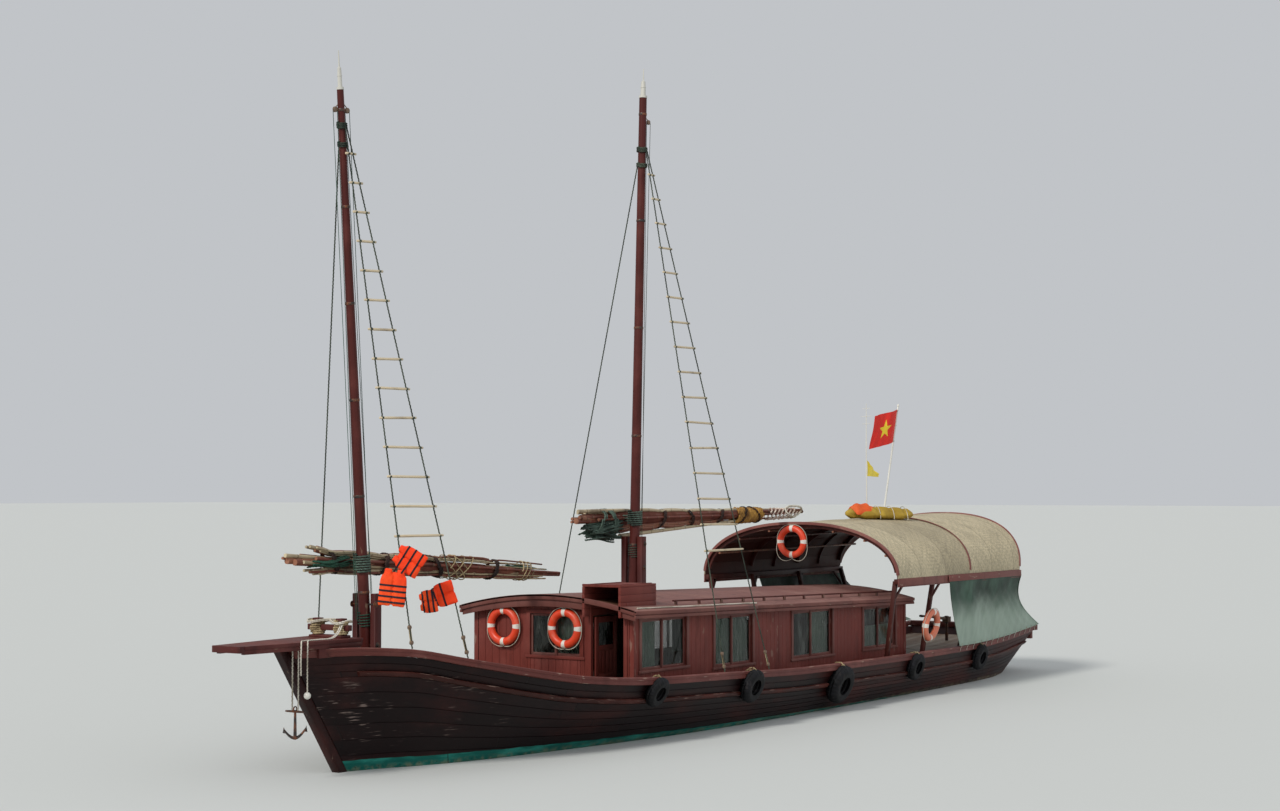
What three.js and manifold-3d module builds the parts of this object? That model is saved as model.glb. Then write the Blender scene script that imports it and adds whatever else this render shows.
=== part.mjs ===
// Wooden junk-type cabin boat afloat, with two masts, furled sails and a barrel awning.
// Millimetres. +X forward, +Y port, +Z up. The origin is amidships on the waterline.
import * as THREE from 'three';
import { mergeVertices } from 'three/addons/utils/BufferGeometryUtils.js';
import Module from 'manifold-3d';

const wasm = await Module();
wasm.setup();

// Driving dimensions
const GAP = 0.3;
const PLANK = 70;
const TRANSOM_THICK = 90;
const DECK_DROP = 300;
const DECK_THICK = 45;
const CAP = { height: 130, outside: 25, inside: 115 };
const WALE = { drop: 420, height: 90, thick: 55 };
const KEEL = { half: 80, bottomZ: -1050, aftX: -10450, foreX: 9300 };
const STEM_DEPTH = 190;
const CABIN = { foreX: 5350, aftX: -5500, half: 1750, wall: 60, soleZ: 200 };
const ROOF = { half: 1950, crown: 250, thick: 60, fascia: 130, overhang: 210, foreEave: 2300, aftEave: 2080 };
const AWNING = { foreX: -3860, aftX: -10300, aftCrestX: -11300, half: 2400, eaveZ: 2550, shell: 50 };
const AWNING_CREST = { fore: 3730, aft: 3870 };
const SHAFT = { radius: 30, aftX: -10700, aftZ: -600, foreX: -7610, foreZ: -200 };
const RUDDER = { x: -11400, radius: 40, topZ: 1340, tillerZ: 1260, tillerLength: 1500 };
const FOREMAST = { x: 10460, footZ: 1690, topZ: 10800, capZ: 11400, foot: 100, top: 55, lean: 0.0787 };
const MAINMAST = { x: 2750, footZ: 200.3, topZ: 12050, capZ: 12600, foot: 110, top: 75, lean: -0.035 };

// Hull stations, each a plane that leans by `lean` mm forward for each mm of height.
// xRail, lean, waterHalf, railHalf, railZ, keelZ, fullness, flare
const STATIONS = [
  [12370, 0.69, 81, 90, 1980, -450, 1.1, 1.0],
  [11600, 0.62, 330, 620, 1995, -620, 1.15, 1.2],
  [10800, 0.50, 590, 1080, 1950, -720, 1.25, 1.15],
  [9800, 0.36, 830, 1480, 1760, -780, 1.4, 1.1],
  [8600, 0.22, 1070, 1840, 1530, -820, 1.6, 1.0],
  [7200, 0.10, 1290, 2080, 1310, -840, 1.9, 0.9],
  [5600, 0, 1520, 2240, 1180, -850, 2.1, 0.75],
  [3000, 0, 1820, 2340, 1090, -850, 2.2, 0.65],
  [0, 0, 1900, 2350, 980, -850, 2.2, 0.6],
  [-3000, 0, 1900, 2340, 950, -850, 2.2, 0.6],
  [-5800, 0, 1880, 2250, 930, -800, 2.2, 0.65],
  [-8200, -0.15, 1830, 2110, 920, -620, 2.1, 0.75],
  [-10400, -0.50, 1740, 1950, 970, -330, 2.0, 0.9],
  [-12000, -0.80, 1500, 1810, 1050, -130, 1.8, 1.0],
  [-13000, -1.09, 1300, 1700, 1100, -90, 1.7, 1.0],
].map(([xRail, lean, waterHalf, railHalf, railZ, keelZ, fullness, flare]) => (
  { xRail, lean, waterHalf, railHalf, railZ, keelZ, fullness, flare }
));
const STEM = STATIONS[0];
const TRANSOM = STATIONS[STATIONS.length - 1];
const SIDES = [['port', 1], ['starboard', -1]];

// Materials
const paint = (color, roughness = 0.6, metalness = 0) => (
  new THREE.MeshStandardMaterial({ color, roughness, metalness })
);
const MATERIALS = {
  hull: paint(0x3a1512),
  trim: paint(0x6e3a38),
  cabin: paint(0x693c3a),
  roof: paint(0x7d5a58),
  deck: paint(0x6b5a4a, 0.8),
  mast: paint(0x5f2826),
  mat: paint(0xa09678, 0.9),
  rope: paint(0xbeb096, 0.9),
  rubber: paint(0x161616, 0.85),
  orange: paint(0xe1462d, 0.6),
  tarp: paint(0x506e5a, 0.8),
  glass: paint(0x20302c, 0.15),
  steel: paint(0x5a5a58, 0.5, 0.8),
  bronze: paint(0x8a6a3a, 0.4, 0.9),
  bamboo: paint(0x8a5a3c, 0.8),
  red: paint(0xd82a1e, 0.7),
  white: paint(0xe6e4de, 0.5),
};

// Solids
function toSolid(geometry) {
  const bare = new THREE.BufferGeometry();
  bare.setAttribute('position', geometry.getAttribute('position').clone());
  if (geometry.index) bare.setIndex(geometry.index.clone());
  const merged = mergeVertices(bare, 1e-3);
  const vertProperties = new Float32Array(merged.getAttribute('position').array);
  const triVerts = new Uint32Array(merged.index.array);
  return new wasm.Manifold(new wasm.Mesh({ numProp: 3, vertProperties, triVerts }));
}

function toGeometry(solid) {
  const mesh = solid.getMesh();
  const geometry = new THREE.BufferGeometry();
  geometry.setAttribute('position', new THREE.BufferAttribute(mesh.vertProperties, 3));
  geometry.setIndex(new THREE.BufferAttribute(mesh.triVerts, 1));
  return geometry;
}

const join = (...solids) => solids.reduce((whole, solid) => whole.add(solid));
const cut = (solid, ...tools) => tools.reduce((left, tool) => left.subtract(tool), solid);

const largest = (solid) => solid.decompose().sort((a, b) => b.volume() - a.volume())[0];

function pointBuffer(points) {
  return new THREE.Float32BufferAttribute(points.flatMap((p) => [p.x, p.y, p.z]), 3);
}

function block(x0, x1, y0, y1, z0, z1) {
  const geometry = new THREE.BoxGeometry(x1 - x0, y1 - y0, z1 - z0);
  geometry.translate((x0 + x1) / 2, (y0 + y1) / 2, (z0 + z1) / 2);
  return toSolid(geometry);
}

// A solid through rings of equal point count, each ring convex or star-shaped from its middle.
function loftRings(rings) {
  const count = rings[0].length;
  const points = rings.flat();
  const index = [];
  for (let r = 0; r < rings.length - 1; r += 1) {
    for (let i = 0; i < count; i += 1) {
      const a = r * count + i;
      const b = r * count + ((i + 1) % count);
      index.push(a, b, b + count, a, b + count, a + count);
    }
  }
  const capRing = (ring, start, flip) => {
    const endOn = ring.map((p) => new THREE.Vector2(p.y, p.z));
    const fromAbove = ring.map((p) => new THREE.Vector2(p.x, p.y));
    const flat = Math.abs(THREE.ShapeUtils.area(endOn)) > 1 ? endOn : fromAbove;
    const turned = THREE.ShapeUtils.area(flat) < 0;
    for (const [i, j, k] of THREE.ShapeUtils.triangulateShape(flat, [])) {
      const corners = [start + i, start + j, start + k];
      index.push(...(flip !== turned ? corners.reverse() : corners));
    }
  };
  capRing(rings[0], 0, true);
  capRing(rings[rings.length - 1], (rings.length - 1) * count, false);
  const geometry = new THREE.BufferGeometry();
  geometry.setAttribute('position', pointBuffer(points));
  geometry.setIndex(index);
  return outward(geometry);
}

// Turns the faces over when the enclosed volume comes out negative.
function outward(geometry) {
  const at = geometry.getAttribute('position');
  const index = geometry.index.array;
  let volume = 0;
  const [a, b, c] = [new THREE.Vector3(), new THREE.Vector3(), new THREE.Vector3()];
  for (let i = 0; i < index.length; i += 3) {
    a.fromBufferAttribute(at, index[i]);
    b.fromBufferAttribute(at, index[i + 1]);
    c.fromBufferAttribute(at, index[i + 2]);
    volume += a.dot(b.cross(c));
  }
  if (volume < 0) geometry.setIndex([...index].reverse());
  return toSolid(geometry);
}

// A thin solid between two grids of points, both split along the same diagonals.
function plateBetween(front, back) {
  const [rows, columns] = [front.length, front[0].length];
  const at = (r, c) => r * columns + c;
  const behind = rows * columns;
  const index = [];
  for (let r = 0; r < rows - 1; r += 1) {
    for (let c = 0; c < columns - 1; c += 1) {
      const [a, b, d, e] = [at(r, c), at(r, c + 1), at(r + 1, c + 1), at(r + 1, c)];
      index.push(a, b, d, a, d, e);
      index.push(a + behind, d + behind, b + behind, a + behind, e + behind, d + behind);
    }
  }
  const rim = [];
  for (let c = 0; c < columns - 1; c += 1) rim.push(at(0, c));
  for (let r = 0; r < rows - 1; r += 1) rim.push(at(r, columns - 1));
  for (let c = columns - 1; c > 0; c -= 1) rim.push(at(rows - 1, c));
  for (let r = rows - 1; r > 0; r -= 1) rim.push(at(r, 0));
  rim.forEach((p, i) => {
    const q = rim[(i + 1) % rim.length];
    index.push(p, p + behind, q + behind, p, q + behind, q);
  });
  const points = [...front.flat(), ...back.flat()];
  const geometry = new THREE.BufferGeometry();
  geometry.setAttribute('position', pointBuffer(points));
  geometry.setIndex(index);
  return outward(geometry);
}

// An outline in X and Z, as thick as y0 to y1.
function sidePlate(outline, y0, y1) {
  const shape = new THREE.Shape(outline.map(([x, z]) => new THREE.Vector2(x, z)));
  const geometry = new THREE.ExtrudeGeometry(shape, { depth: y1 - y0, bevelEnabled: false });
  geometry.rotateX(Math.PI / 2);
  geometry.translate(0, y1, 0);
  return toSolid(geometry);
}

// A round bar between two points, with a radius at each end.
function bar(from, to, radius, endRadius = radius, sides = 8, start0 = 0) {
  const [start, end] = [new THREE.Vector3(...from), new THREE.Vector3(...to)];
  const along = end.clone().sub(start);
  const geometry = new THREE.CylinderGeometry(endRadius, radius, along.length(), sides, 1, false, start0);
  const turn = new THREE.Quaternion().setFromUnitVectors(new THREE.Vector3(0, 1, 0), along.normalize());
  geometry.applyQuaternion(turn);
  geometry.translate((from[0] + to[0]) / 2, (from[1] + to[1]) / 2, (from[2] + to[2]) / 2);
  return toSolid(geometry);
}

// A squared timber between two points on its middle line.
function timber(from, to, alongX, alongY) {
  const ring = ([x, y, z]) => [[-1, -1], [1, -1], [1, 1], [-1, 1]].map(([i, j]) => (
    new THREE.Vector3(x + i * alongX / 2, y + j * alongY / 2, z)
  ));
  return loftRings([ring(from), ring(to)]);
}

function ringAbout(radius, tube, place, axis, sections = 20, sides = 8) {
  const geometry = new THREE.TorusGeometry(radius, tube, sides, sections);
  const turn = new THREE.Quaternion().setFromUnitVectors(new THREE.Vector3(0, 0, 1), axis.normalize());
  geometry.applyQuaternion(turn);
  geometry.translate(...place);
  return toSolid(geometry);
}

// Hull form
function halfAt(station, z) {
  const { waterHalf, railHalf, railZ, keelZ, fullness, flare } = station;
  if (z >= 0) return waterHalf + (railHalf - waterHalf) * (z / railZ) ** flare;
  const up = 1 - Math.max(z, keelZ) / keelZ;
  return KEEL.half + (waterHalf - KEEL.half) * (1 - (1 - up) ** fullness) ** 0.74;
}

const stationX = (station, z) => station.xRail + station.lean * (z - station.railZ);

function between(x, z, value) {
  const last = STATIONS.length - 2;
  let i = 0;
  while (i < last && stationX(STATIONS[i + 1], z(STATIONS[i + 1])) > x) i += 1;
  const [fore, aft] = [STATIONS[i], STATIONS[i + 1]];
  const [foreX, aftX] = [stationX(fore, z(fore)), stationX(aft, z(aft))];
  const part = (x - foreX) / (aftX - foreX);
  return value(fore) + (value(aft) - value(fore)) * part;
}

const railZAt = (x) => between(x, (s) => s.railZ, (s) => s.railZ);
const railHalfAt = (x) => between(x, (s) => s.railZ, (s) => s.railHalf);
const deckZAt = (x) => between(x, (s) => s.railZ - DECK_DROP, (s) => s.railZ - DECK_DROP);
const sideHalfAt = (x, height) => between(x, () => height, (s) => halfAt(s, height));

function stationRing(station, grow, heights) {
  const past = { [STEM.xRail]: 20 * grow, [TRANSOM.xRail]: -20 * grow }[station.xRail] ?? 0;
  const place = (z, side) => (
    new THREE.Vector3(stationX(station, z) + past, side * (halfAt(station, z) + grow), z)
  );
  const port = heights.map((z) => place(z, 1));
  const starboard = heights.map((z) => place(z, -1)).reverse();
  return [...port, ...starboard];
}

const UNDER_WATER = [0, 0.1, 0.28, 0.55, 0.8];
const waleEdges = (station) => [-0.5, 0.5].map((part) => station.railZ - WALE.drop + part * WALE.height);

const STERN_RAIL = { aftX: -13000, foreX: -12750 };

const deckUnderside = (station) => station.railZ - DECK_DROP - DECK_THICK - GAP;
const plankingTop = (station) => station.railZ - CAP.height - GAP;

function hullForm(grow, whole = true) {
  return loftRings(STATIONS.map((station) => {
    const under = UNDER_WATER.map((up) => station.keelZ * (1 - up));
    const [low, high] = waleEdges(station);
    const heights = [...under, 0, low / 2, low, high, deckUnderside(station)];
    return stationRing(station, grow, whole ? [...heights, plankingTop(station)] : heights);
  }));
}

function deckSpace(floorDrop, inset, raise) {
  const rings = STATIONS.slice(1).map((station) => {
    const floor = station.railZ - DECK_DROP - floorDrop;
    const half = halfAt(station, floor) - PLANK - inset;
    const top = raise ? station.railZ + raise : floor + DECK_THICK;
    const topHalf = raise ? station.railHalf - PLANK - inset : half;
    const last = station === TRANSOM ? TRANSOM_THICK + inset : 0;
    const first = station === STATIONS[1] ? -inset : 0;
    const at = (y, z) => new THREE.Vector3(stationX(station, z) + last + first, y, z);
    return [at(half, floor), at(topHalf, top), at(-topHalf, top), at(-half, floor)];
  });
  return loftRings(rings);
}

const CABIN_WELL = [CABIN.aftX + 150, CABIN.foreX - 150, -1600, 1600, CABIN.soleZ, 1600];
const ENGINE_WELL = [-7800, -6000, -600, 600, -480, 1200];

// A bore whose flats stand over the corners of the 16-sided shaft that turns in it.
const RUNNING_GAP = 0.4;

function bore(from, to, shaftRadius) {
  const radius = (shaftRadius + RUNNING_GAP) / Math.cos(Math.PI / 16);
  return bar(from, to, radius, radius, 16, Math.PI / 16);
}

function shaftBore() {
  const reach = 40;
  const slope = (SHAFT.foreZ - SHAFT.aftZ) / (SHAFT.foreX - SHAFT.aftX);
  const from = [SHAFT.aftX - reach, 0, SHAFT.aftZ - reach * slope];
  const to = [SHAFT.foreX + reach, 0, SHAFT.foreZ + reach * slope];
  return bore(from, to, SHAFT.radius);
}

const stockBore = () => bore([RUDDER.x, 0, -400], [RUDDER.x, 0, 1200], RUDDER.radius);

function hull() {
  return cut(
    hullForm(0, false),
    block(...CABIN_WELL),
    block(...ENGINE_WELL),
    shaftBore(),
    stockBore(),
  );
}

function deck() {
  const hole = block(CABIN_WELL[0], CABIN_WELL[1], CABIN_WELL[2], CABIN_WELL[3], 0, 2000);
  return cut(deckSpace(DECK_THICK, GAP, 0), hole, stockBore());
}

// A side's planking above the deck: a solid half block at the bow, then a wall to the transom.
function bulwark(side) {
  const ring = (station, forward, wall) => {
    const [low, high] = [deckUnderside(station) + GAP, plankingTop(station)];
    const innerAt = (z) => (wall ? halfAt(station, z) - PLANK : 10);
    const past = { [STEM.xRail]: 0, [TRANSOM.xRail]: TRANSOM_THICK + GAP }[station.xRail] ?? forward;
    const at = (y, z) => new THREE.Vector3(stationX(station, z) + past, side * y, z);
    const outer = [at(halfAt(station, low), low), at(halfAt(station, high), high)];
    return [...outer, at(innerAt(high), high), at(innerAt(low), low)];
  };
  return loftRings([
    ring(STEM, 0, false),
    ring(STATIONS[1], 2 * GAP, false),
    ...STATIONS.slice(1).map((station, i) => ring(station, i ? 0 : GAP, true)),
  ]);
}

function transomBoard() {
  const [low, high] = [deckUnderside(TRANSOM) + GAP, TRANSOM.railZ - CAP.height + 5];
  const ring = (inward) => [1, -1].flatMap((side) => {
    const heights = side > 0 ? [low, high] : [high, low];
    return heights.map((z) => (
      new THREE.Vector3(stationX(TRANSOM, z) + inward, side * halfAt(TRANSOM, z), z)
    ));
  });
  return loftRings([ring(0), ring(TRANSOM_THICK)]);
}

// The keel's top and the stem's after edge follow the hull's own bottom and stem lines.
const bottomLine = () => STATIONS.map((s) => [stationX(s, s.keelZ), s.keelZ - GAP]);

function keel() {
  const line = bottomLine().filter(([x]) => x < KEEL.foreX && x > KEEL.aftX);
  const bottomAt = (x) => between(x, (s) => s.keelZ, (s) => s.keelZ) - GAP;
  const outline = [
    [KEEL.foreX, bottomAt(KEEL.foreX)],
    ...line,
    [KEEL.aftX, bottomAt(KEEL.aftX)],
    [KEEL.aftX, KEEL.bottomZ],
    [KEEL.foreX - 900, KEEL.bottomZ],
    [KEEL.foreX, KEEL.bottomZ + 90],
  ];
  return cut(sidePlate(outline, -KEEL.half, KEEL.half), shaftBore());
}

function stem() {
  const topZ = STATIONS[1].railZ;
  const bottomAt = (x) => between(x, (s) => s.keelZ, (s) => s.keelZ) - GAP;
  const foreLine = bottomLine().filter(([x]) => x > KEEL.foreX).reverse();
  const lip = GAP * 1.3;
  const outline = [
    [KEEL.foreX + GAP, bottomAt(KEEL.foreX + GAP)],
    ...foreLine.slice(0, -1),
    [stationX(STEM, STEM.keelZ) + lip, STEM.keelZ - GAP],
    [stationX(STEM, topZ) + lip, topZ],
    [stationX(STEM, topZ) + STEM_DEPTH, topZ],
    [stationX(STEM, 0) + STEM_DEPTH, 0],
    [stationX(STEM, STEM.keelZ) + 60, STEM.keelZ - 160],
    [KEEL.foreX + 700, KEEL.bottomZ + 190],
    [KEEL.foreX + GAP, KEEL.bottomZ + 90],
  ];
  return sidePlate(outline, -KEEL.half, KEEL.half);
}

function capRail(side) {
  return loftRings(STATIONS.slice(1).map((station) => {
    const [outer, inner] = [station.railHalf + CAP.outside, station.railHalf - CAP.inside];
    const x = (z) => (station === TRANSOM ? STERN_RAIL.foreX + GAP : stationX(station, z));
    const at = (y, z) => new THREE.Vector3(x(z), side * y, z);
    const low = station.railZ - CAP.height;
    return [at(outer, low), at(outer, station.railZ), at(inner, station.railZ), at(inner, low)];
  }));
}

function sternRail() {
  const { railZ, railHalf } = TRANSOM;
  const half = railHalf + CAP.outside;
  const cap = block(STERN_RAIL.aftX, STERN_RAIL.foreX, -half, half, railZ - CAP.height, railZ);
  return join(cap, transomBoard());
}

// The wale's inner face runs along two rows of the hull form, split into the same triangles.
function waleForm(side, innerOut, grow) {
  return loftRings(STATIONS.slice(1).map((station) => {
    const [low, high] = waleEdges(station);
    const at = (out, z) => (
      new THREE.Vector3(stationX(station, z), side * (halfAt(station, z) + out), z)
    );
    const inner = [at(innerOut, low - grow), at(innerOut, high + grow)];
    const outer = [at(WALE.thick + grow, high + grow), at(WALE.thick + grow, low - grow)];
    return side > 0 ? [...inner, ...outer] : [...inner, ...outer].reverse();
  }));
}

const wale = (side) => waleForm(side, GAP, 0);

// Foredeck
const PLATFORM = {
  aftX: 11150, kneeX: 12400, foreX: 13640, thick: 125, aftHalf: 520, kneeHalf: 420, foreHalf: 280,
};

function bowPlatform() {
  const { aftX, kneeX, foreX, thick, aftHalf, kneeHalf, foreHalf } = PLATFORM;
  const low = STATIONS[1].railZ + GAP;
  const high = low + thick;
  const ring = (x, half) => [[half, low], [half, high], [-half, high], [-half, low]].map(([y, z]) => (
    new THREE.Vector3(x, y, z)
  ));
  return loftRings([ring(aftX, aftHalf), ring(kneeX, kneeHalf), ring(foreX, foreHalf)]);
}

const platformTop = STATIONS[1].railZ + GAP + PLATFORM.thick;

function bowBitts() {
  const low = platformTop + GAP;
  return join(
    block(11280, 11420, -300, -180, low, low + 300),
    block(11280, 11420, 180, 300, low, low + 300),
    block(11300, 11400, -420, 420, low + 110, low + 200),
    block(11240, 11460, -340, 340, low, low + 40),
  );
}

function anchor() {
  const [x, y] = [12350, 200];
  const low = STATIONS[1].railZ;
  return join(
    bar([x, y - 60, 1050], [x, y - 60, low - GAP], 14, 14, 6),
    bar([x, y + 60, 1050], [x, y + 60, low - GAP], 14, 14, 6),
    bar([x, y - 190, 1060], [x, y + 190, 1060], 22, 22, 8),
    bar([x, y, 1080], [x, y, 650], 28, 28, 8),
    bar([x, y, 660], [x - 180, y + 60, 800], 26, 12, 8),
    bar([x, y, 660], [x + 180, y - 60, 800], 26, 12, 8),
  );
}

// Masts
function mastX(mast, z) {
  return mast.x + mast.lean * (z - mast.footZ);
}

function mastRadius(mast, z) {
  return mast.foot + (mast.top - mast.foot) * (z - mast.footZ) / (mast.topZ - mast.footZ);
}

function roundRing(x, y, z, radius, sides, turn = 0) {
  return Array.from({ length: sides }, (_, i) => {
    const angle = (2 * Math.PI * (i + turn)) / sides;
    return new THREE.Vector3(x + radius * Math.cos(angle), y + radius * Math.sin(angle), z);
  });
}

function mast(spec) {
  const tube = (spec.top * 2) / 3;
  const shoulder = spec.topZ + (spec.capZ - spec.topZ) * 0.55;
  const rows = [
    [spec.footZ, spec.foot],
    [spec.topZ, spec.top],
    [spec.topZ + 5, tube],
    [shoulder, tube * 0.8],
    [shoulder + 5, 14],
    [spec.capZ, 8],
  ];
  return loftRings(rows.map(([z, radius]) => roundRing(mastX(spec, z), 0, z, radius, 12)));
}

// A collar round a mast with its bore clear of the mast at every turn.
function collar(spec, z, height, wall, clear) {
  const radius = mastRadius(spec, z - height / 2);
  const level = (at, r, turn = 0) => roundRing(mastX(spec, at), 0, at, r, 12, turn);
  const [low, high] = [z - height / 2, z + height / 2];
  const bore = (radius + clear) / Math.cos(Math.PI / 12);
  const outer = loftRings([level(low, radius + wall), level(high, radius + wall)]);
  return cut(outer, loftRings([level(low - 20, bore, 0.5), level(high + 20, bore, 0.5)]));
}

function tabernacle(x, footAt, padTop, topZ, post, padHalf, mastBore) {
  const [postX, postY, spread] = post;
  const pad = sidePlate(
    [[x - padHalf, footAt(x - padHalf)], [x + padHalf, footAt(x + padHalf)],
      [x + padHalf, padTop], [x - padHalf, padTop]],
    -spread / 2 - 40,
    spread / 2 + 40,
  );
  const upright = (side) => {
    const middle = side * (spread - postY) / 2;
    return timber([x, middle, footAt(x) + 25], [x, middle, topZ], postX, postY);
  };
  const posts = join(pad, upright(1), upright(-1));
  return mastBore ? cut(posts, mastBore) : posts;
}

function foreTabernacle() {
  const footAt = (x) => deckZAt(x) + GAP;
  return tabernacle(FOREMAST.x, footAt, FOREMAST.footZ - GAP, 2770, [160, 105, 480], 170, null);
}

function mainTabernacle() {
  const bore = bar([mastX(MAINMAST, 2000), 0, 2000], [mastX(MAINMAST, 3000), 0, 3000], 125, 125, 16);
  const x = mastX(MAINMAST, 2600);
  return tabernacle(x, (at) => roofTopAt(at) + GAP, roofTopAt(x) + 50, 3540, [160, 105, 470], 220, bore);
}

const ladderRopes = (spec, topZ, feet) => feet.map(([footX, y], i) => {
  const lead = i === 0 ? 14 : -14;
  const head = [mastX(spec, topZ) + lead, mastRadius(spec, topZ) + 24, topZ];
  return { foot: [footX, y, railZAt(footX) + GAP], head };
});

function onRope({ foot, head }, z) {
  const up = (z - foot[2]) / (head[2] - foot[2]);
  return foot.map((value, i) => value + (head[i] - value) * up);
}

// A rope ladder from a collar on the mast to the rail, with wooden rungs.
function ropeLadder(spec, topZ, feet, rungs, grow) {
  const parts = [collar(spec, topZ, 80, 32, GAP)];
  const ropes = ladderRopes(spec, topZ, feet);
  for (const { foot, head } of ropes) parts.push(bar(foot, head, 22 + grow, 18 + grow, 4));
  for (let i = 0; i < rungs.count; i += 1) {
    const z = rungs.lowZ + (rungs.highZ - rungs.lowZ) * i / (rungs.count - 1);
    const [a, b] = ropes.map((rope) => onRope(rope, z));
    const reach = 60 + grow;
    parts.push(bar([a[0] + reach, a[1], z], [b[0] - reach, b[1], z], 17 + grow, 17 + grow, 4));
  }
  return cut(join(...parts), capCutter(1));
}

const FORE_LADDER = {
  topZ: 10200,
  feet: [[10650, railHalfAt(10650) - 60], [9700, railHalfAt(9700) - 60]],
};

function foreLadder(grow = 0) {
  const rungs = { count: 14, lowZ: 3700, highZ: 9750 };
  return ropeLadder(FOREMAST, FORE_LADDER.topZ, FORE_LADDER.feet, rungs, grow);
}

function mainLadder() {
  const feet = [[3100, railHalfAt(3100) - 60], [1470, railHalfAt(1470) - 60]];
  return ropeLadder(MAINMAST, 11000, feet, { count: 16, lowZ: 3300, highZ: 10500 }, 0);
}

function shroud(spec, topZ, footX) {
  const foot = [footX, -(railHalfAt(footX) - 60), railZAt(footX) + GAP];
  const head = [mastX(spec, topZ), -(mastRadius(spec, topZ) + 24), topZ];
  return cut(join(collar(spec, topZ, 80, 32, GAP), bar(foot, head, 20, 16, 6)), capCutter(-1));
}

// Furled sails: poles in a bundle beside the mast, on a parrel that turns round it.
function bundle(spec, line, offsets, poleRadius, bands, bandRadius, parrelZ) {
  const parts = offsets.map(([dy, dz, x0, x1], i) => {
    const at = (x) => [x, line.y + dy, line.zAt(x) + dz];
    const thick = i === 0 ? bandRadius - 45 : poleRadius;
    return bar(at(x0), at(x1), thick, i === 0 ? thick / 2 : thick * 0.75, 6);
  });
  for (const x of bands) {
    const [from, to] = [[x - 40, line.y, line.zAt(x - 40)], [x + 40, line.y, line.zAt(x + 40)]];
    parts.push(bar(from, to, bandRadius, bandRadius, 8));
  }
  const parrelX = mastX(spec, parrelZ);
  const reach = mastRadius(spec, parrelZ) + 40;
  parts.push(collar(spec, parrelZ, 60, 70, 0.5));
  parts.push(block(parrelX - 60, parrelX + 60, line.y, -reach, parrelZ - 30, parrelZ + 30));
  return join(...parts);
}

const FORE_BUNDLE = { y: -360, x0: 12000, z0: 3330, x1: 4600, z1: 2890 };
const MAIN_BUNDLE = { y: -390, x0: 4200, z0: 3870, x1: -4850, z1: 3960 };
const bundleLine = ({ y, x0, z0, x1, z1 }) => ({ y, zAt: (x) => z0 + (z1 - z0) * (x - x0) / (x1 - x0) });

function foreBundle() {
  const offsets = [
    [0, 0, 11900, 4600], [85, 40, 12000, 5400], [-85, 30, 11700, 5000],
    [50, -75, 11600, 6000], [-60, -70, 11800, 5600], [0, 95, 11950, 6400],
  ];
  const line = bundleLine(FORE_BUNDLE);
  return bundle(FOREMAST, line, offsets, 62, [11300, 9900, 8300, 6700], 165, line.zAt(10600));
}

function mainBundle() {
  const offsets = [
    [0, 0, 4200, -4850], [95, 60, 4000, -4300], [-95, 50, 3800, -4600],
    [60, -90, 3900, -3900], [-70, -90, 4100, -4200], [0, 130, 3900, -3800], [0, -130, 3700, -2600],
  ];
  const line = bundleLine(MAIN_BUNDLE);
  return bundle(MAINMAST, line, offsets, 72, [3500, 2000, 200, -1600, -3400], 190, line.zAt(2700));
}

// Cabin
const eaveAt = (x) => (
  ROOF.foreEave - (CABIN.foreX - x) * (ROOF.foreEave - ROOF.aftEave) / (CABIN.foreX - CABIN.aftX)
);
const roofTopAt = (x) => eaveAt(x) + ROOF.crown;
const ROOF_HALVES = [1950, 1750, 1400, 900, 300];
const roofArc = (y) => (Math.abs(y) <= 300 ? ROOF.crown : ROOF.crown * (1 - (Math.abs(y) / ROOF.half) ** 2));
const wallTopAt = (x) => eaveAt(x) + roofArc(CABIN.half) - ROOF.thick - GAP;

// Side windows: aft and fore edge, sill and head height
const SIDE_WINDOWS = [
  [3590, 5100, 1240, 2130],
  [1190, 2580, 1130, 2060],
  [-2070, -420, 1090, 2010],
  [-4980, -3490, 1090, 1950],
];
const DOORWAY = { y0: 860, y1: 1560, sillZ: 990, headZ: 2290 };
const FRONT_WINDOW = { y0: -480, y1: 620, z0: 1450, z1: 2200 };
const AFT_DOORWAY = { y0: -350, y1: 350, sillZ: 720, headZ: 2010 };
const HOOD = { aftX: 4400, foreX: 5560, y0: 800, y1: 1620, topZ: 2760 };

function sideWall(side) {
  const inner = STATIONS.map((s) => s.xRail).filter((x) => x > CABIN.aftX && x < CABIN.foreX);
  const floor = [CABIN.foreX, ...inner, CABIN.aftX].map((x) => [x, deckZAt(x) + GAP]);
  const outline = [...floor, [CABIN.aftX, wallTopAt(CABIN.aftX)], [CABIN.foreX, wallTopAt(CABIN.foreX)]];
  const [a, b] = [side * (CABIN.half - CABIN.wall), side * CABIN.half];
  const [y0, y1] = [Math.min(a, b), Math.max(a, b)];
  const openings = SIDE_WINDOWS.map(([x0, x1, z0, z1]) => block(x0, x1, y0 - 9, y1 + 9, z0, z1));
  return cut(sidePlate(outline, y0, y1), ...openings);
}

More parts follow.
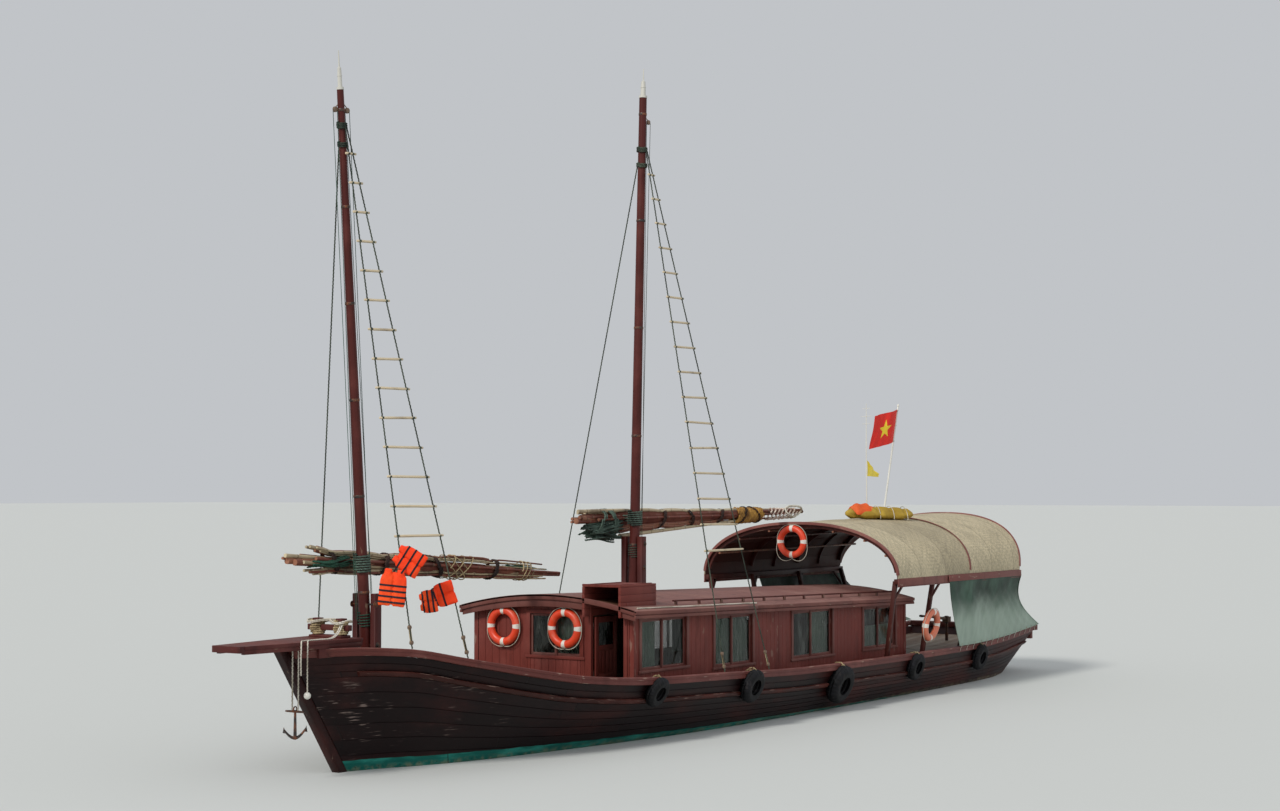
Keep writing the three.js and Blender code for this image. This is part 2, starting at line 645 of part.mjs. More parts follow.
function endWall(x0, x1, ...openings) {
  const half = CABIN.half - CABIN.wall - GAP;
  const outline = [];
  const floor = Math.max(deckZAt(x0), deckZAt(x1)) + GAP;
  outline.push(new THREE.Vector2(-half, floor), new THREE.Vector2(half, floor));
  const eave = Math.min(eaveAt(x0), eaveAt(x1)) - ROOF.thick - GAP;
  for (const y of [half, 1400, 900, 300, -300, -900, -1400, -half]) {
    const arc = roofArc(1750) + (roofArc(1400) - roofArc(1750)) * (1750 - Math.abs(y)) / 350;
    outline.push(new THREE.Vector2(y, eave + (Math.abs(y) === half ? arc : roofArc(y))));
  }
  const shape = new THREE.Shape(outline);
  const geometry = new THREE.ExtrudeGeometry(shape, { depth: x1 - x0, bevelEnabled: false });
  geometry.rotateX(Math.PI / 2);
  geometry.rotateZ(Math.PI / 2);
  geometry.translate(x0, 0, 0);
  return cut(toSolid(geometry), ...openings.map(([y0, y1, z0, z1]) => block(x0 - 9, x1 + 9, y0, y1, z0, z1)));
}

function frontWall() {
  const door = [DOORWAY.y0, DOORWAY.y1, DOORWAY.sillZ, 3000];
  const { y0, y1, z0, z1 } = FRONT_WINDOW;
  return endWall(CABIN.foreX - CABIN.wall, CABIN.foreX, door, [y0, y1, z0, z1]);
}

function aftWall() {
  const { y0, y1, sillZ, headZ } = AFT_DOORWAY;
  return endWall(CABIN.aftX, CABIN.aftX + CABIN.wall, [y0, y1, sillZ, headZ]);
}

function cabinRoof() {
  const ring = (x) => {
    const eave = eaveAt(x);
    const upper = [...ROOF_HALVES, ...ROOF_HALVES.map((y) => -y).reverse()];
    const outer = upper.map((y) => new THREE.Vector3(x, y, eave + roofArc(y)));
    const edge = ROOF.half - 55;
    const lower = [-edge, ...ROOF_HALVES.slice(1).map((y) => -y), ...ROOF_HALVES.slice(1).reverse(), edge];
    const inner = lower.map((y) => {
      const arc = Math.abs(y) === edge ? roofArc(1750) * (ROOF.half - edge) / 200 : roofArc(y);
      return new THREE.Vector3(x, y, eave + arc - ROOF.thick);
    });
    const lip = (y) => new THREE.Vector3(x, y, eave - ROOF.fascia);
    return [...outer, lip(-ROOF.half), lip(-edge), ...inner, lip(edge), lip(ROOF.half)];
  };
  const slab = loftRings([ring(CABIN.foreX + ROOF.overhang), ring(CABIN.aftX - 60)]);
  const mastHole = bar([mastX(MAINMAST, 2000), 0, 2000], [mastX(MAINMAST, 3000), 0, 3000], 125, 125, 16);
  const hatch = block(HOOD.aftX, HOOD.foreX + 100, HOOD.y0 - GAP, HOOD.y1 + GAP, 2000, 3000);
  return cut(slab, mastHole, hatch);
}

function companionHood() {
  const { aftX, foreX, y0, y1, topZ } = HOOD;
  const low = 2180;
  const shell = block(aftX + GAP, foreX, y0, y1, low, topZ);
  const space = block(aftX + 60, foreX + 10, y0 + 55, y1 - 55, low - 10, topZ - 50);
  return cut(shell, space, block(CABIN.foreX - CABIN.wall - GAP, CABIN.foreX + GAP, y0 - 9, y1 + 9, 0, 2560));
}

// Panes that stand in a lower and an upper track inside the wall.
function sideWindows(side) {
  const y = side * (CABIN.half - CABIN.wall - 20 - GAP);
  const [a, b] = [y - 20, y + 20];
  const track = (drop, height) => sidePlate(
    [[-5200, 1950 + drop - 900], [5200, 2130 + drop - 900], [5200, 2130 + drop - 900 + height],
      [-5200, 1950 + drop - 900 + height]],
    a,
    b,
  );
  const panes = SIDE_WINDOWS.map(([x0, x1, z0, z1]) => (
    block(x0 - 30, x1 + 30, y - 6, y + 6, z0 - 60, z1 + 15)
  ));
  return join(track(0, 60), ...panes);
}

function frontPane() {
  const { y0, y1, z0, z1 } = FRONT_WINDOW;
  const x = CABIN.foreX - CABIN.wall;
  return block(x - 30, x - GAP, y0 - 40, y1 + 40, z0 - 40, z1 + 20);
}

// The fore door stands open, turned inward against its starboard jamb. Both doors hang on
// pins that stand against the wall, with straps out to the leaf.
const PIN = { radius: 11, strap: 5, setback: 17 };
const FORE_DOOR = { wallX: 5290, axisY: 855, thick: 40, width: 680, lowZ: 1000, highZ: 2165 };
const AFT_DOOR = { wallX: -5500, axisY: -357, thick: 40, width: 680, lowZ: 730, highZ: 2000 };
const pinHeights = ({ lowZ, highZ }) => [lowZ + 150, highZ - 150];

function foreDoor() {
  const { wallX, axisY, thick, width, lowZ, highZ } = FORE_DOOR;
  const axisX = wallX - PIN.radius - RUNNING_GAP;
  const [inner, outer] = [axisX - PIN.setback - width, axisX - PIN.setback];
  const leaf = block(inner, outer, axisY, axisY + thick, lowZ, highZ);
  const light = block(inner + 110, outer - 110, axisY - 9, axisY + thick + 9, 1650, highZ - 120);
  const hinges = pinHeights(FORE_DOOR).flatMap((z) => [
    bar([axisX, axisY, z - 50], [axisX, axisY, z + 50], PIN.radius, PIN.radius, 12),
    block(axisX - 60, axisX, axisY - PIN.strap, axisY + PIN.strap, z - 40, z + 40),
  ]);
  return join(cut(leaf, light), ...hinges);
}

function aftDoor() {
  const { wallX, axisY, thick, width, lowZ, highZ } = AFT_DOOR;
  const axisX = wallX - PIN.radius - RUNNING_GAP;
  const leaf = block(axisX, axisX + thick, axisY + PIN.setback, axisY + PIN.setback + width, lowZ, highZ);
  const hinges = pinHeights(AFT_DOOR).flatMap((z) => [
    bar([axisX, axisY, z - 50], [axisX, axisY, z + 50], PIN.radius, PIN.radius, 12),
    block(axisX - PIN.strap, axisX + PIN.strap, axisY, axisY + 60, z - 40, z + 40),
  ]);
  return join(leaf, ...hinges);
}

// Awning
function crestAt(x) {
  const { fore, aft } = AWNING_CREST;
  return fore + (aft - fore) * (AWNING.foreX - x) / (AWNING.foreX - AWNING.aftCrestX);
}

const ARC_STEPS = 14;

function archPoint(half, height, i) {
  const angle = (Math.PI * i) / ARC_STEPS;
  const [c, s] = [Math.cos(angle), Math.sin(angle)];
  return [Math.sign(c) * half * Math.abs(c) ** 0.909, height * s ** 0.909];
}

function archRing(x, xCrest, drop, thick) {
  const outer = [];
  const inner = [];
  for (let i = 0; i <= ARC_STEPS; i += 1) {
    const rise = crestAt(xCrest) - AWNING.eaveZ;
    const [y, up] = archPoint(AWNING.half - drop, rise - drop, i);
    const [yIn, upIn] = archPoint(AWNING.half - drop - thick, rise - drop - thick, i);
    const lean = (xCrest - x) * Math.sin((Math.PI * i) / ARC_STEPS) ** 1.4;
    outer.push(new THREE.Vector3(x + lean, y, AWNING.eaveZ + up));
    inner.unshift(new THREE.Vector3(x + lean, yIn, AWNING.eaveZ + upIn));
  }
  return [...outer, ...inner];
}

function awningSkin(grow, thick) {
  return loftRings([
    archRing(AWNING.foreX, AWNING.foreX, -grow, thick),
    archRing(AWNING.aftX, AWNING.aftCrestX, -grow, thick),
  ]);
}

const awningRoof = () => awningSkin(0, AWNING.shell);

const AWNING_POSTS = [-3950, -5800, -8000, -10150];
const POST = { width: 90, footIn: 290, headIn: 125 };

function postFoot(x) {
  const reach = POST.width / 2;
  return [railHalfAt(x) - POST.footIn, Math.max(deckZAt(x - reach), deckZAt(x + reach)) + GAP];
}

function awningFrame() {
  const top = AWNING.eaveZ - GAP;
  const parts = [];
  for (const [, side] of SIDES) {
    const edges = [side * (AWNING.half - 120), side * AWNING.half];
    parts.push(block(AWNING.aftX, AWNING.foreX, Math.min(...edges), Math.max(...edges), top - 110, top));
    for (const x of AWNING_POSTS) {
      const [y, z] = postFoot(x);
      const head = [x, side * (AWNING.half - POST.headIn), top - 40];
      parts.push(timber([x, side * y, z], head, POST.width, POST.width));
    }
  }
  for (const x of AWNING_POSTS) {
    parts.push(loftRings([-35, 35].map((dx) => archRing(x + dx, x + dx, AWNING.shell - 15, 130))));
    parts.push(block(x - 35, x + 35, -AWNING.half + 60, -AWNING.half + 190, top - 60, AWNING.eaveZ + 15));
    parts.push(block(x - 35, x + 35, AWNING.half - 190, AWNING.half - 60, top - 60, AWNING.eaveZ + 15));
  }
  return cut(join(...parts), awningSkin(200, 200 + AWNING.shell + GAP));
}

// Side curtain from the awning's eave to the rail and the quarter.
function tarp(side) {
  const columns = [0, 0.25, 0.5, 0.75, 1];
  const straight = 0.07;
  const rows = [0, straight, 0.35, 0.7, 1];
  const place = (u, v, out) => {
    const topX = -6340 - 3960 * u;
    const footX = -7330 - 5670 * u;
    const bow = u * 700 * Math.sin(Math.PI * v) * u;
    const x = topX + (footX - topX) * v + bow;
    const topY = AWNING.half + GAP;
    const footY = railHalfAt(footX) + CAP.outside + 3;
    const y = topY + (footY - topY) * Math.max(0, v - straight) / (1 - straight);
    const z = 2530 + (railZAt(footX) + 20 - 2530) * v;
    return new THREE.Vector3(x, side * (y + out), z);
  };
  const grid = (out) => rows.map((v) => columns.map((u) => place(u, v, out)));
  return plateBetween(grid(12), grid(0));
}

// Machinery
function engine() {
  return block(-7500, -6150, -380, 380, -480 + GAP, 450);
}

function propeller() {
  const slope = Math.atan2(SHAFT.foreZ - SHAFT.aftZ, SHAFT.foreX - SHAFT.aftX);
  const blades = [0, 1, 2].map((i) => {
    const outline = [[0, 40], [-70, 150], [-110, 300], [-40, 350], [60, 330], [95, 200], [40, 40]];
    const shape = new THREE.Shape(outline.map(([u, v]) => new THREE.Vector2(u, v)));
    const geometry = new THREE.ExtrudeGeometry(shape, { depth: 14, bevelEnabled: false });
    geometry.translate(0, 0, -7);
    geometry.rotateY(Math.PI / 3.2);
    geometry.rotateX(Math.PI / 2 + (2 * Math.PI * i) / 3);
    geometry.rotateY(-slope);
    geometry.translate(SHAFT.aftX, 0, SHAFT.aftZ);
    return toSolid(geometry);
  });
  const lift = (x) => [x, 0, SHAFT.aftZ + (x - SHAFT.aftX) * Math.tan(slope)];
  return join(
    bar(lift(SHAFT.aftX - 90), lift(SHAFT.aftX + 120), 55, 75, 12),
    bar(lift(SHAFT.aftX), lift(SHAFT.foreX), SHAFT.radius, SHAFT.radius, 16),
    ...blades,
  );
}

function rudder() {
  const { x, radius, topZ, tillerZ, tillerLength } = RUDDER;
  const blade = sidePlate(
    [[x + 130, -980], [x + 130, -260], [x - 560, -210], [x - 640, -500], [x - 560, -980]],
    -25,
    25,
  );
  return join(
    blade,
    bar([x, 0, -960], [x, 0, topZ], radius, radius, 16),
    block(x - 90, x + 90, -75, 75, tillerZ - 70, tillerZ + 60),
    bar([x, 0, tillerZ], [x + tillerLength, 0, tillerZ + 150], 38, 26, 10),
  );
}

// Fenders and lifesaving gear
// Tyre centre along the boat, height and outer diameter
const TYRES = [
  [5300, 900, 570],
  [2230, 780, 660],
  [-1320, 540, 810],
  [-4860, 650, 610],
  [-8660, 600, 620],
];

function tyre(side, x, z, size) {
  const tube = size * 0.17;
  const out = sideHalfAt(x, z) + tube - 15;
  const lean = Math.atan2(sideHalfAt(x, z + 200) - sideHalfAt(x, z - 200), 400);
  const axis = new THREE.Vector3(0, side * Math.cos(lean), -Math.sin(lean));
  const body = ringAbout(size / 2 - tube, tube, [x, side * out, z], axis, 14, 6);
  const railY = railHalfAt(x) + CAP.outside + 14;
  const ropeTop = [x, side * (railY + 4), railZAt(x) - 20];
  const ropeFoot = [x, side * (out + 10), z + size / 2 - 60];
  const rope = bar(ropeTop, ropeFoot, 12, 12, 4);
  return largest(cut(join(body, rope), hullForm(GAP), waleForm(side, -50, GAP), capCutter(side)));
}

function capCutter(side) {
  return loftRings(STATIONS.slice(1).map((station) => {
    const [outer, inner] = [station.railHalf + CAP.outside + GAP, station.railHalf - CAP.inside];
    const at = (y, z) => new THREE.Vector3(stationX(station, z), side * y, z);
    const [low, high] = [station.railZ - CAP.height - 6, station.railZ + GAP];
    return [at(outer, low), at(outer, high), at(inner, high), at(inner, low)];
  }));
}

const BUOY = { radius: 285, tube: 72 };

function lifebuoy(place, axis) {
  return ringAbout(BUOY.radius, BUOY.tube, place, new THREE.Vector3(...axis), 16, 8);
}

function buoyOnFront(y, z) {
  return lifebuoy([CABIN.foreX + BUOY.tube + GAP, y, z], [1, 0, 0]);
}

function buoyOnAwning() {
  return lifebuoy([AWNING_POSTS[0] + 35 + BUOY.tube + GAP, -150, 3310], [1, 0, 0]);
}

function buoyOnSide() {
  const x = AWNING_POSTS[1];
  const z = 1500;
  const [footY, footZ] = postFoot(x);
  const slope = (AWNING.half - POST.headIn - footY) / (AWNING.eaveZ - GAP - 40 - footZ);
  const face = footY + POST.width / 2 + slope * (z - footZ);
  const lean = Math.atan(slope);
  const out = BUOY.tube + 1;
  const [across, up] = [Math.cos(lean), -Math.sin(lean)];
  return lifebuoy([x, face + out * across, z + out * up], [0, across, up]);
}

// Life jackets hung on the fore ladder's ropes, their fronts turned forward and to port.
// Each row is a height with the reach to both sides of the rope, starboard side first.
const JACKETS = {
  across: [-0.52, 0.854],
  out: [0.854, 0.52],
  near: -4,
  far: 150,
  upper: {
    rope: 0,
    rows: [[2620, -300, -100], [2780, -370, 75], [2950, -400, 100], [3120, -400, 210],
      [3290, -350, 350], [3450, -160, 440], [3570, -80, 390]],
  },
  lower: {
    rope: 1,
    rows: [[2450, -560, -390], [2585, -580, -30], [2720, -560, 50], [2860, -390, 20], [3000, -190, -30]],
  },
};

function jackets({ rope, rows }) {
  const { across, out, near, far } = JACKETS;
  const line = ladderRopes(FOREMAST, FORE_LADDER.topZ, FORE_LADDER.feet)[rope];
  const rings = rows.map(([z, left, right]) => {
    const [x, y] = onRope(line, z);
    const inset = (right - left) * 0.12;
    return [[left, near], [right, near], [right - inset, far], [left + inset, far]].map(([u, v]) => (
      new THREE.Vector3(x + across[0] * u + out[0] * v, y + across[1] * u + out[1] * v, z)
    ));
  });
  return cut(loftRings(rings), foreLadder(1));
}

const STAFF = { x: -7940, topX: -8780, topZ: 6470, radius: 28, topRadius: 18 };

function staffBar(grow) {
  const foot = [STAFF.x, 0, crestAt(STAFF.x) - 30];
  return bar(foot, [STAFF.topX, 0, STAFF.topZ], STAFF.radius + grow, STAFF.topRadius + grow, 8);
}

const flagStaff = () => cut(staffBar(0), awningSkin(GAP, AWNING.shell));

// The flag flies forward from the upper end of its leaning staff.
const FLAG = { lowZ: 5560, highZ: 6340, length: 1120, droop: 190, thick: 8 };

function flag() {
  const footZ = crestAt(STAFF.x);
  const axisX = (z) => STAFF.x + (STAFF.topX - STAFF.x) * (z - footZ) / (STAFF.topZ - footZ);
  const rings = [0, 0.25, 0.5, 0.75, 1].map((u) => {
    const wave = 55 * Math.sin(u * Math.PI * 1.7);
    const at = (y, z) => (
      new THREE.Vector3(axisX(z) + u * FLAG.length, wave + y, z - u * FLAG.droop)
    );
    const half = FLAG.thick / 2;
    return [at(-half, FLAG.lowZ), at(half, FLAG.lowZ), at(half, FLAG.highZ), at(-half, FLAG.highZ)];
  });
  return cut(loftRings(rings), staffBar(GAP));
}

// Assembly
const boat = new THREE.Group();

function piece(name, solid, material) {
  const mesh = new THREE.Mesh(toGeometry(solid), MATERIALS[material]);
  mesh.name = name;
  boat.add(mesh);
}

piece('hull', hull(), 'hull');
piece('keel', keel(), 'hull');
piece('stem', stem(), 'hull');
piece('deck', deck(), 'deck');
piece('stern_rail', sternRail(), 'trim');
piece('bow_platform', bowPlatform(), 'trim');
piece('bow_bitts', bowBitts(), 'trim');
piece('anchor', anchor(), 'steel');
for (const [name, side] of SIDES) {
  piece(`cap_rail_${name}`, capRail(side), 'trim');
  piece(`wale_${name}`, wale(side), 'trim');
  piece(`bulwark_${name}`, bulwark(side), 'hull');
  piece(`cabin_wall_${name}`, sideWall(side), 'cabin');
  piece(`windows_${name}`, sideWindows(side), 'glass');
  piece(`tarp_${name}`, tarp(side), 'tarp');
  TYRES.forEach(([x, z, size], i) => piece(`fender_${name}_${i + 1}`, tyre(side, x, z, size), 'rubber'));
}
piece('fore_tabernacle', foreTabernacle(), 'mast');
piece('foremast', mast(FOREMAST), 'mast');
piece('fore_ladder', foreLadder(), 'rope');
piece('fore_shroud', shroud(FOREMAST, 9900, 10200), 'rope');
piece('main_tabernacle', mainTabernacle(), 'mast');
piece('mainmast', mast(MAINMAST), 'mast');
piece('main_ladder', mainLadder(), 'rope');
piece('main_shroud', shroud(MAINMAST, 10700, 2300), 'rope');
piece('fore_sail_bundle', foreBundle(), 'bamboo');
piece('main_sail_bundle', mainBundle(), 'bamboo');
piece('cabin_wall_front', frontWall(), 'cabin');
piece('cabin_wall_aft', aftWall(), 'cabin');
piece('cabin_roof', cabinRoof(), 'roof');
piece('companion_hood', companionHood(), 'cabin');
piece('window_front', frontPane(), 'glass');
piece('cabin_door_front', foreDoor(), 'cabin');
piece('cabin_door_aft', aftDoor(), 'cabin');
piece('awning_roof', awningRoof(), 'mat');
piece('awning_frame', awningFrame(), 'trim');
piece('engine', engine(), 'steel');
piece('propeller', propeller(), 'bronze');
piece('rudder', rudder(), 'hull');
piece('lifebuoy_awning', buoyOnAwning(), 'orange');
piece('lifebuoy_side', buoyOnSide(), 'orange');
piece('lifebuoy_front_port', buoyOnFront(330, 1950), 'orange');
piece('lifebuoy_front_starboard', buoyOnFront(-1030, 1950), 'orange');
piece('life_jacket_upper', jackets(JACKETS.upper), 'orange');
piece('life_jacket_lower', jackets(JACKETS.lower), 'orange');
piece('flag_staff', flagStaff(), 'white');
piece('flag', flag(), 'red');

export default boat;
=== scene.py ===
"""Dresses the wooden junk-type cabin boat. Metres, +X forward, +Y to port, +Z up, waterline at z = 0."""
import logging
import random
from collections.abc import Callable, Sequence
from dataclasses import dataclass, field
from enum import Enum
from itertools import pairwise
from math import acos, atan2, copysign, cos, exp, pi, radians, sin, tau

import bmesh
import bpy
from mathutils import Euler, Matrix, Vector, noise
from mathutils.bvhtree import BVHTree


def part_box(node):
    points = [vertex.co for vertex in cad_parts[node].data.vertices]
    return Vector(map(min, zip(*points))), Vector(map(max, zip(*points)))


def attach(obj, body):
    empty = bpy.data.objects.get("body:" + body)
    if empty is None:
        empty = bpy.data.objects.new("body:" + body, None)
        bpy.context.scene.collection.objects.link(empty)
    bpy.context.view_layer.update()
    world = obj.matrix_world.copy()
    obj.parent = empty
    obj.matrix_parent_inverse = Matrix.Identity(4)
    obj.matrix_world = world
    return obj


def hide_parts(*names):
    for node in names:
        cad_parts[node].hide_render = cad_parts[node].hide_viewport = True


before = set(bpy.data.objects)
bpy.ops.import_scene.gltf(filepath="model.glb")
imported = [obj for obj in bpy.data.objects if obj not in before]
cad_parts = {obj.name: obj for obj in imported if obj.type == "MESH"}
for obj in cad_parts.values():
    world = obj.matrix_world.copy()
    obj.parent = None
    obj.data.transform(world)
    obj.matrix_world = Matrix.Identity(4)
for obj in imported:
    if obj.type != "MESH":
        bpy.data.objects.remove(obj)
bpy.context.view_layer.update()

LOG = logging.getLogger("boat")
GAP = 0.0003
WELD = 1e-5
SIDES = {"port": 1, "starboard": -1}
Point = Sequence[float]


def linear(code: int) -> tuple[float, float, float]:
    """The linear red, green and blue of a display colour.

    Args:
        code: the colour as 0xRRGGBB.

    Returns:
        Three linear numbers from 0 to 1.
    """
    parts = [((code >> shift) & 255) / 255 for shift in (16, 8, 0)]
    return tuple(c / 12.92 if c <= 0.04045 else ((c + 0.055) / 1.055) ** 2.4 for c in parts)


def blend(a: float, b: float, part: float) -> float:
    """The value that lies part of the way from a to b."""
    return a + (b - a) * part


def steps(start: float, end: float, count: int) -> list[float]:
    """Evenly spaced values from start to end, both included."""
    return [blend(start, end, i / (count - 1)) for i in range(count)]


def full_turn(count: int) -> list[float]:
    """Even turns about a full circle, in radians."""
    return [tau * i / count for i in range(count)]


def taper(part: float, slope: float, least: float = 0.0) -> float:
    """A size that is 1 along a run and falls to its least at both ends."""
    return min(1.0, slope * part + least, slope * (1 - part) + least)


# Shader maths


class Value:
    """A shader value. Working with it adds the Math nodes that it takes."""

    def __init__(self, shader: "Shader", socket: "bpy.types.NodeSocket") -> None:
        """Wraps one output socket of the shader's tree."""
        self.shader = shader
        self.socket = socket

    def __add__(self, other: "Value | float") -> "Value":
        """This value plus another."""
        return self.shader.maths("ADD", self, other)

    def __sub__(self, other: "Value | float") -> "Value":
        """This value less another."""
        return self.shader.maths("SUBTRACT", self, other)

    def __rsub__(self, other: float) -> "Value":
        """A number less this value."""
        return self.shader.maths("SUBTRACT", other, self)

    def __mul__(self, other: "Value | float") -> "Value":
        """This value times another."""
        return self.shader.maths("MULTIPLY", self, other)

    def __truediv__(self, other: "Value | float") -> "Value":
        """This value over another."""
        return self.shader.maths("DIVIDE", self, other)

    def __rtruediv__(self, other: float) -> "Value":
        """A number over this value."""
        return self.shader.maths("DIVIDE", other, self)

    def __pow__(self, other: float) -> "Value":
        """This value to a power."""
        return self.shader.maths("POWER", self, other)

    def __gt__(self, other: "Value | float") -> "Value":
        """1 where this value is the greater, else 0."""
        return self.shader.maths("GREATER_THAN", self, other)

    def __lt__(self, other: "Value | float") -> "Value":
        """1 where this value is the smaller, else 0."""
        return self.shader.maths("LESS_THAN", self, other)

    __radd__ = __add__
    __rmul__ = __mul__

    def floor(self) -> "Value":
        """The whole part."""
        return self.shader.maths("FLOOR", self)

    def fract(self) -> "Value":
        """What lies past the whole part."""
        return self.shader.maths("FRACT", self)

    def sine(self) -> "Value":
        """The sine, of radians."""
        return self.shader.maths("SINE", self)

    def size(self) -> "Value":
        """The value without its sign."""
        return self.shader.maths("ABSOLUTE", self)

    def ramp(self, low: float, high: float) -> "Value":
        """0 below low and 1 above high, smooth between. A low above high turns it over."""
        node = self.shader.node(
            "ShaderNodeMapRange",
            {"interpolation_type": "SMOOTHSTEP", "clamp": True},
            {"Value": self, "From Min": low, "From Max": high},
        )
        return Value(self.shader, node.outputs["Result"])


class NodeTree:
    """A tree of nodes. Every node comes from the method node."""

    def __init__(self, tree: bpy.types.NodeTree) -> None:
        """Takes the tree that it fills."""
        self.tree = tree

    def node(self, kind: str, settings: dict | None = None, values: dict | None = None) -> bpy.types.Node:
        """Adds any node.

        Args:
            kind: the node's type.
            settings: its own settings, set first.
            values: what its sockets hold, by name or number: a Value, a socket or plain numbers.

        Returns:
            The node.
        """
        made = self.tree.nodes.new(kind)
        for key, value in (settings or {}).items():
            setattr(made, key, value)
        for key, value in (values or {}).items():
            self.feed(made.inputs[key], value)
        return made

    def feed(self, socket: bpy.types.NodeSocket, value: object) -> None:
        """Links or sets one input socket. A whole number on a colour socket is a colour as 0xRRGGBB."""
        source = value.socket if isinstance(value, Value) else value
        if isinstance(source, bpy.types.NodeSocket):
            self.tree.links.new(source, socket)
        elif socket.type == "RGBA":
            socket.default_value = (*(linear(source) if isinstance(source, int) else source), 1.0)
        else:
            socket.default_value = source


class Shader(NodeTree):
    """One material's node tree."""

    def __init__(self, name: str) -> None:
        """Starts a material with a Principled surface."""
        self.material = bpy.data.materials.new(name)
        self.material.use_nodes = True
        super().__init__(self.material.node_tree)
        self.tree.nodes.clear()
        self.surface = self.node("ShaderNodeBsdfPrincipled")
        self.node("ShaderNodeOutputMaterial", None, {"Surface": self.surface.outputs["BSDF"]})

    def maths(self, operation: str, *terms: "Value | float") -> Value:
        """One Math node on values."""
        made = self.node("ShaderNodeMath", {"operation": operation}, dict(enumerate(terms)))
        return Value(self, made.outputs[0])

    def mix(self, part: "Value | float", a: object, b: object) -> bpy.types.NodeSocket:
        """A colour between a and b."""
        made = self.node("ShaderNodeMix", {"data_type": "RGBA"}, {0: part, 6: a, 7: b})
        return made.outputs[2]

    def shade(self, colour: object, light: "Value | float") -> bpy.types.NodeSocket:
        """A colour made lighter or darker by a factor."""
        grey = self.node("ShaderNodeCombineColor", None, {0: light, 1: light, 2: light}).outputs[0]
        made = self.node("ShaderNodeMix", {"data_type": "RGBA", "blend_type": "MULTIPLY"},
                         {0: 1.0, 6: colour, 7: grey})
        return made.outputs[2]

    def vector(self, x: object, y: object, z: object = 0.0) -> bpy.types.NodeSocket:
        """A vector from three values."""
        return self.node("ShaderNodeCombineXYZ", None, {0: x, 1: y, 2: z}).outputs[0]

    def split(self, vector: bpy.types.NodeSocket) -> list[Value]:
        """The three values of a vector."""
        return [Value(self, s) for s in self.node("ShaderNodeSeparateXYZ", None, {0: vector}).outputs]

    def place(self) -> list[Value]:
        """X, Y and Z on the boat, in metres."""
        return self.split(self.node("ShaderNodeTexCoord").outputs["Object"])

    def pattern(self) -> list[Value]:
        """The piece's own pattern coordinates: along, across and nothing."""
        return self.split(self.node("ShaderNodeTexCoord").outputs["UV"])

    def noise(self, where: bpy.types.NodeSocket, scale: float, detail: float = 3.0) -> Value:
        """Cloudy noise from 0 to 1, most of it near 0.5."""
        made = self.node("ShaderNodeTexNoise", None, {"Vector": where, "Scale": scale, "Detail": detail})
        return Value(self, made.outputs[0])

    def chance(self, *where: "Value | float") -> Value:
        """One even random number from 0 to 1 for each whole place."""
        spot = self.vector(*where)
        made = self.node("ShaderNodeTexWhiteNoise", {"noise_dimensions": "3D"}, {"Vector": spot})
        return Value(self, made.outputs["Value"])

    def edges(self) -> Value:
        """Over 0.5 on outer edges and under it in corners."""
        return Value(self, self.node("ShaderNodeNewGeometry").outputs["Pointiness"])

    def done(self, colour: object, roughness: object, height: Value | None = None, lift: float = 0.002,
             **plain: object) -> bpy.types.Material:
        """Sets the surface and closes the material.

        Args:
            colour: the base colour.
            roughness: a number or a Value.
            height: what the bump follows.
            lift: the bump's height in metres.
            plain: other sockets of the surface, with spaces as underscores.

        Returns:
            The material.
        """
        self.feed(self.surface.inputs["Base Color"], colour)
        self.feed(self.surface.inputs["Roughness"], roughness)
        for key, value in plain.items():
            self.feed(self.surface.inputs[key.replace("_", " ")], value)
        if height is not None:
            bump = self.node("ShaderNodeBump", None, {"Height": height, "Distance": lift, "Strength": 1.0})
            self.feed(self.surface.inputs["Normal"], bump.outputs["Normal"])
        return self.material


# Meshes


def carried(path: Sequence[Vector], up: Vector | None = None) -> list[tuple[Vector, Vector]]:
    """Two directions square to a path at each of its points, carried along without twist.

    Args:
        path: the points.
        up: the second direction's rough heading at the start.

    Returns:
        A side and an up direction for each point.
    """
    found = []
    last = up or Vector((0, 0, 1))
    for i, _ in enumerate(path):
        along = (path[min(i + 1, len(path) - 1)] - path[max(i - 1, 0)]).normalized()
        if abs(along.dot(last)) > 0.98:
            last = Vector((1, 0, 0)) if abs(along.x) < 0.9 else Vector((0, 1, 0))
        side = along.cross(last).normalized()
        last = side.cross(along).normalized()
        found.append((side, last))
    return found


def smooth_path(points: Sequence[Point], between: int = 10) -> list[tuple[float, ...]]:
    """A smooth curve through points.

    Args:
        points: the points that it passes through.
        between: how many steps it takes from one to the next.

    Returns:
        The curve's points.
    """
    found = []
    spots = [Vector(points[0]), *map(Vector, points), Vector(points[-1])]
    for i in range(1, len(spots) - 2):
        p0, p1, p2, p3 = spots[i - 1:i + 3]
        for k in range(between):
            u = k / between
            found.append(tuple(0.5 * ((2 * p1) + (p2 - p0) * u + (2 * p0 - 5 * p1 + 4 * p2 - p3) * u * u
                                      + (3 * p1 - p0 - 3 * p2 + p3) * u ** 3)))
    return found + [tuple(spots[-1])]


def linked(name: str, data: bpy.types.ID) -> bpy.types.Object:
    """A new object in the scene."""
    made = bpy.data.objects.new(name, data)
    bpy.context.scene.collection.objects.link(made)
    return made


def bevelled(form: bmesh.types.BMesh, angle: float, width: float) -> None:
    """Rounds the edges that are bent by more than an angle in degrees."""
    edges = [e for e in form.edges if len(e.link_faces) == 2 and e.calc_face_angle() > radians(angle)]
    bmesh.ops.bevel(form, geom=edges, offset=width, segments=2, profile=0.5, affect="EDGES", clamp_overlap=True)


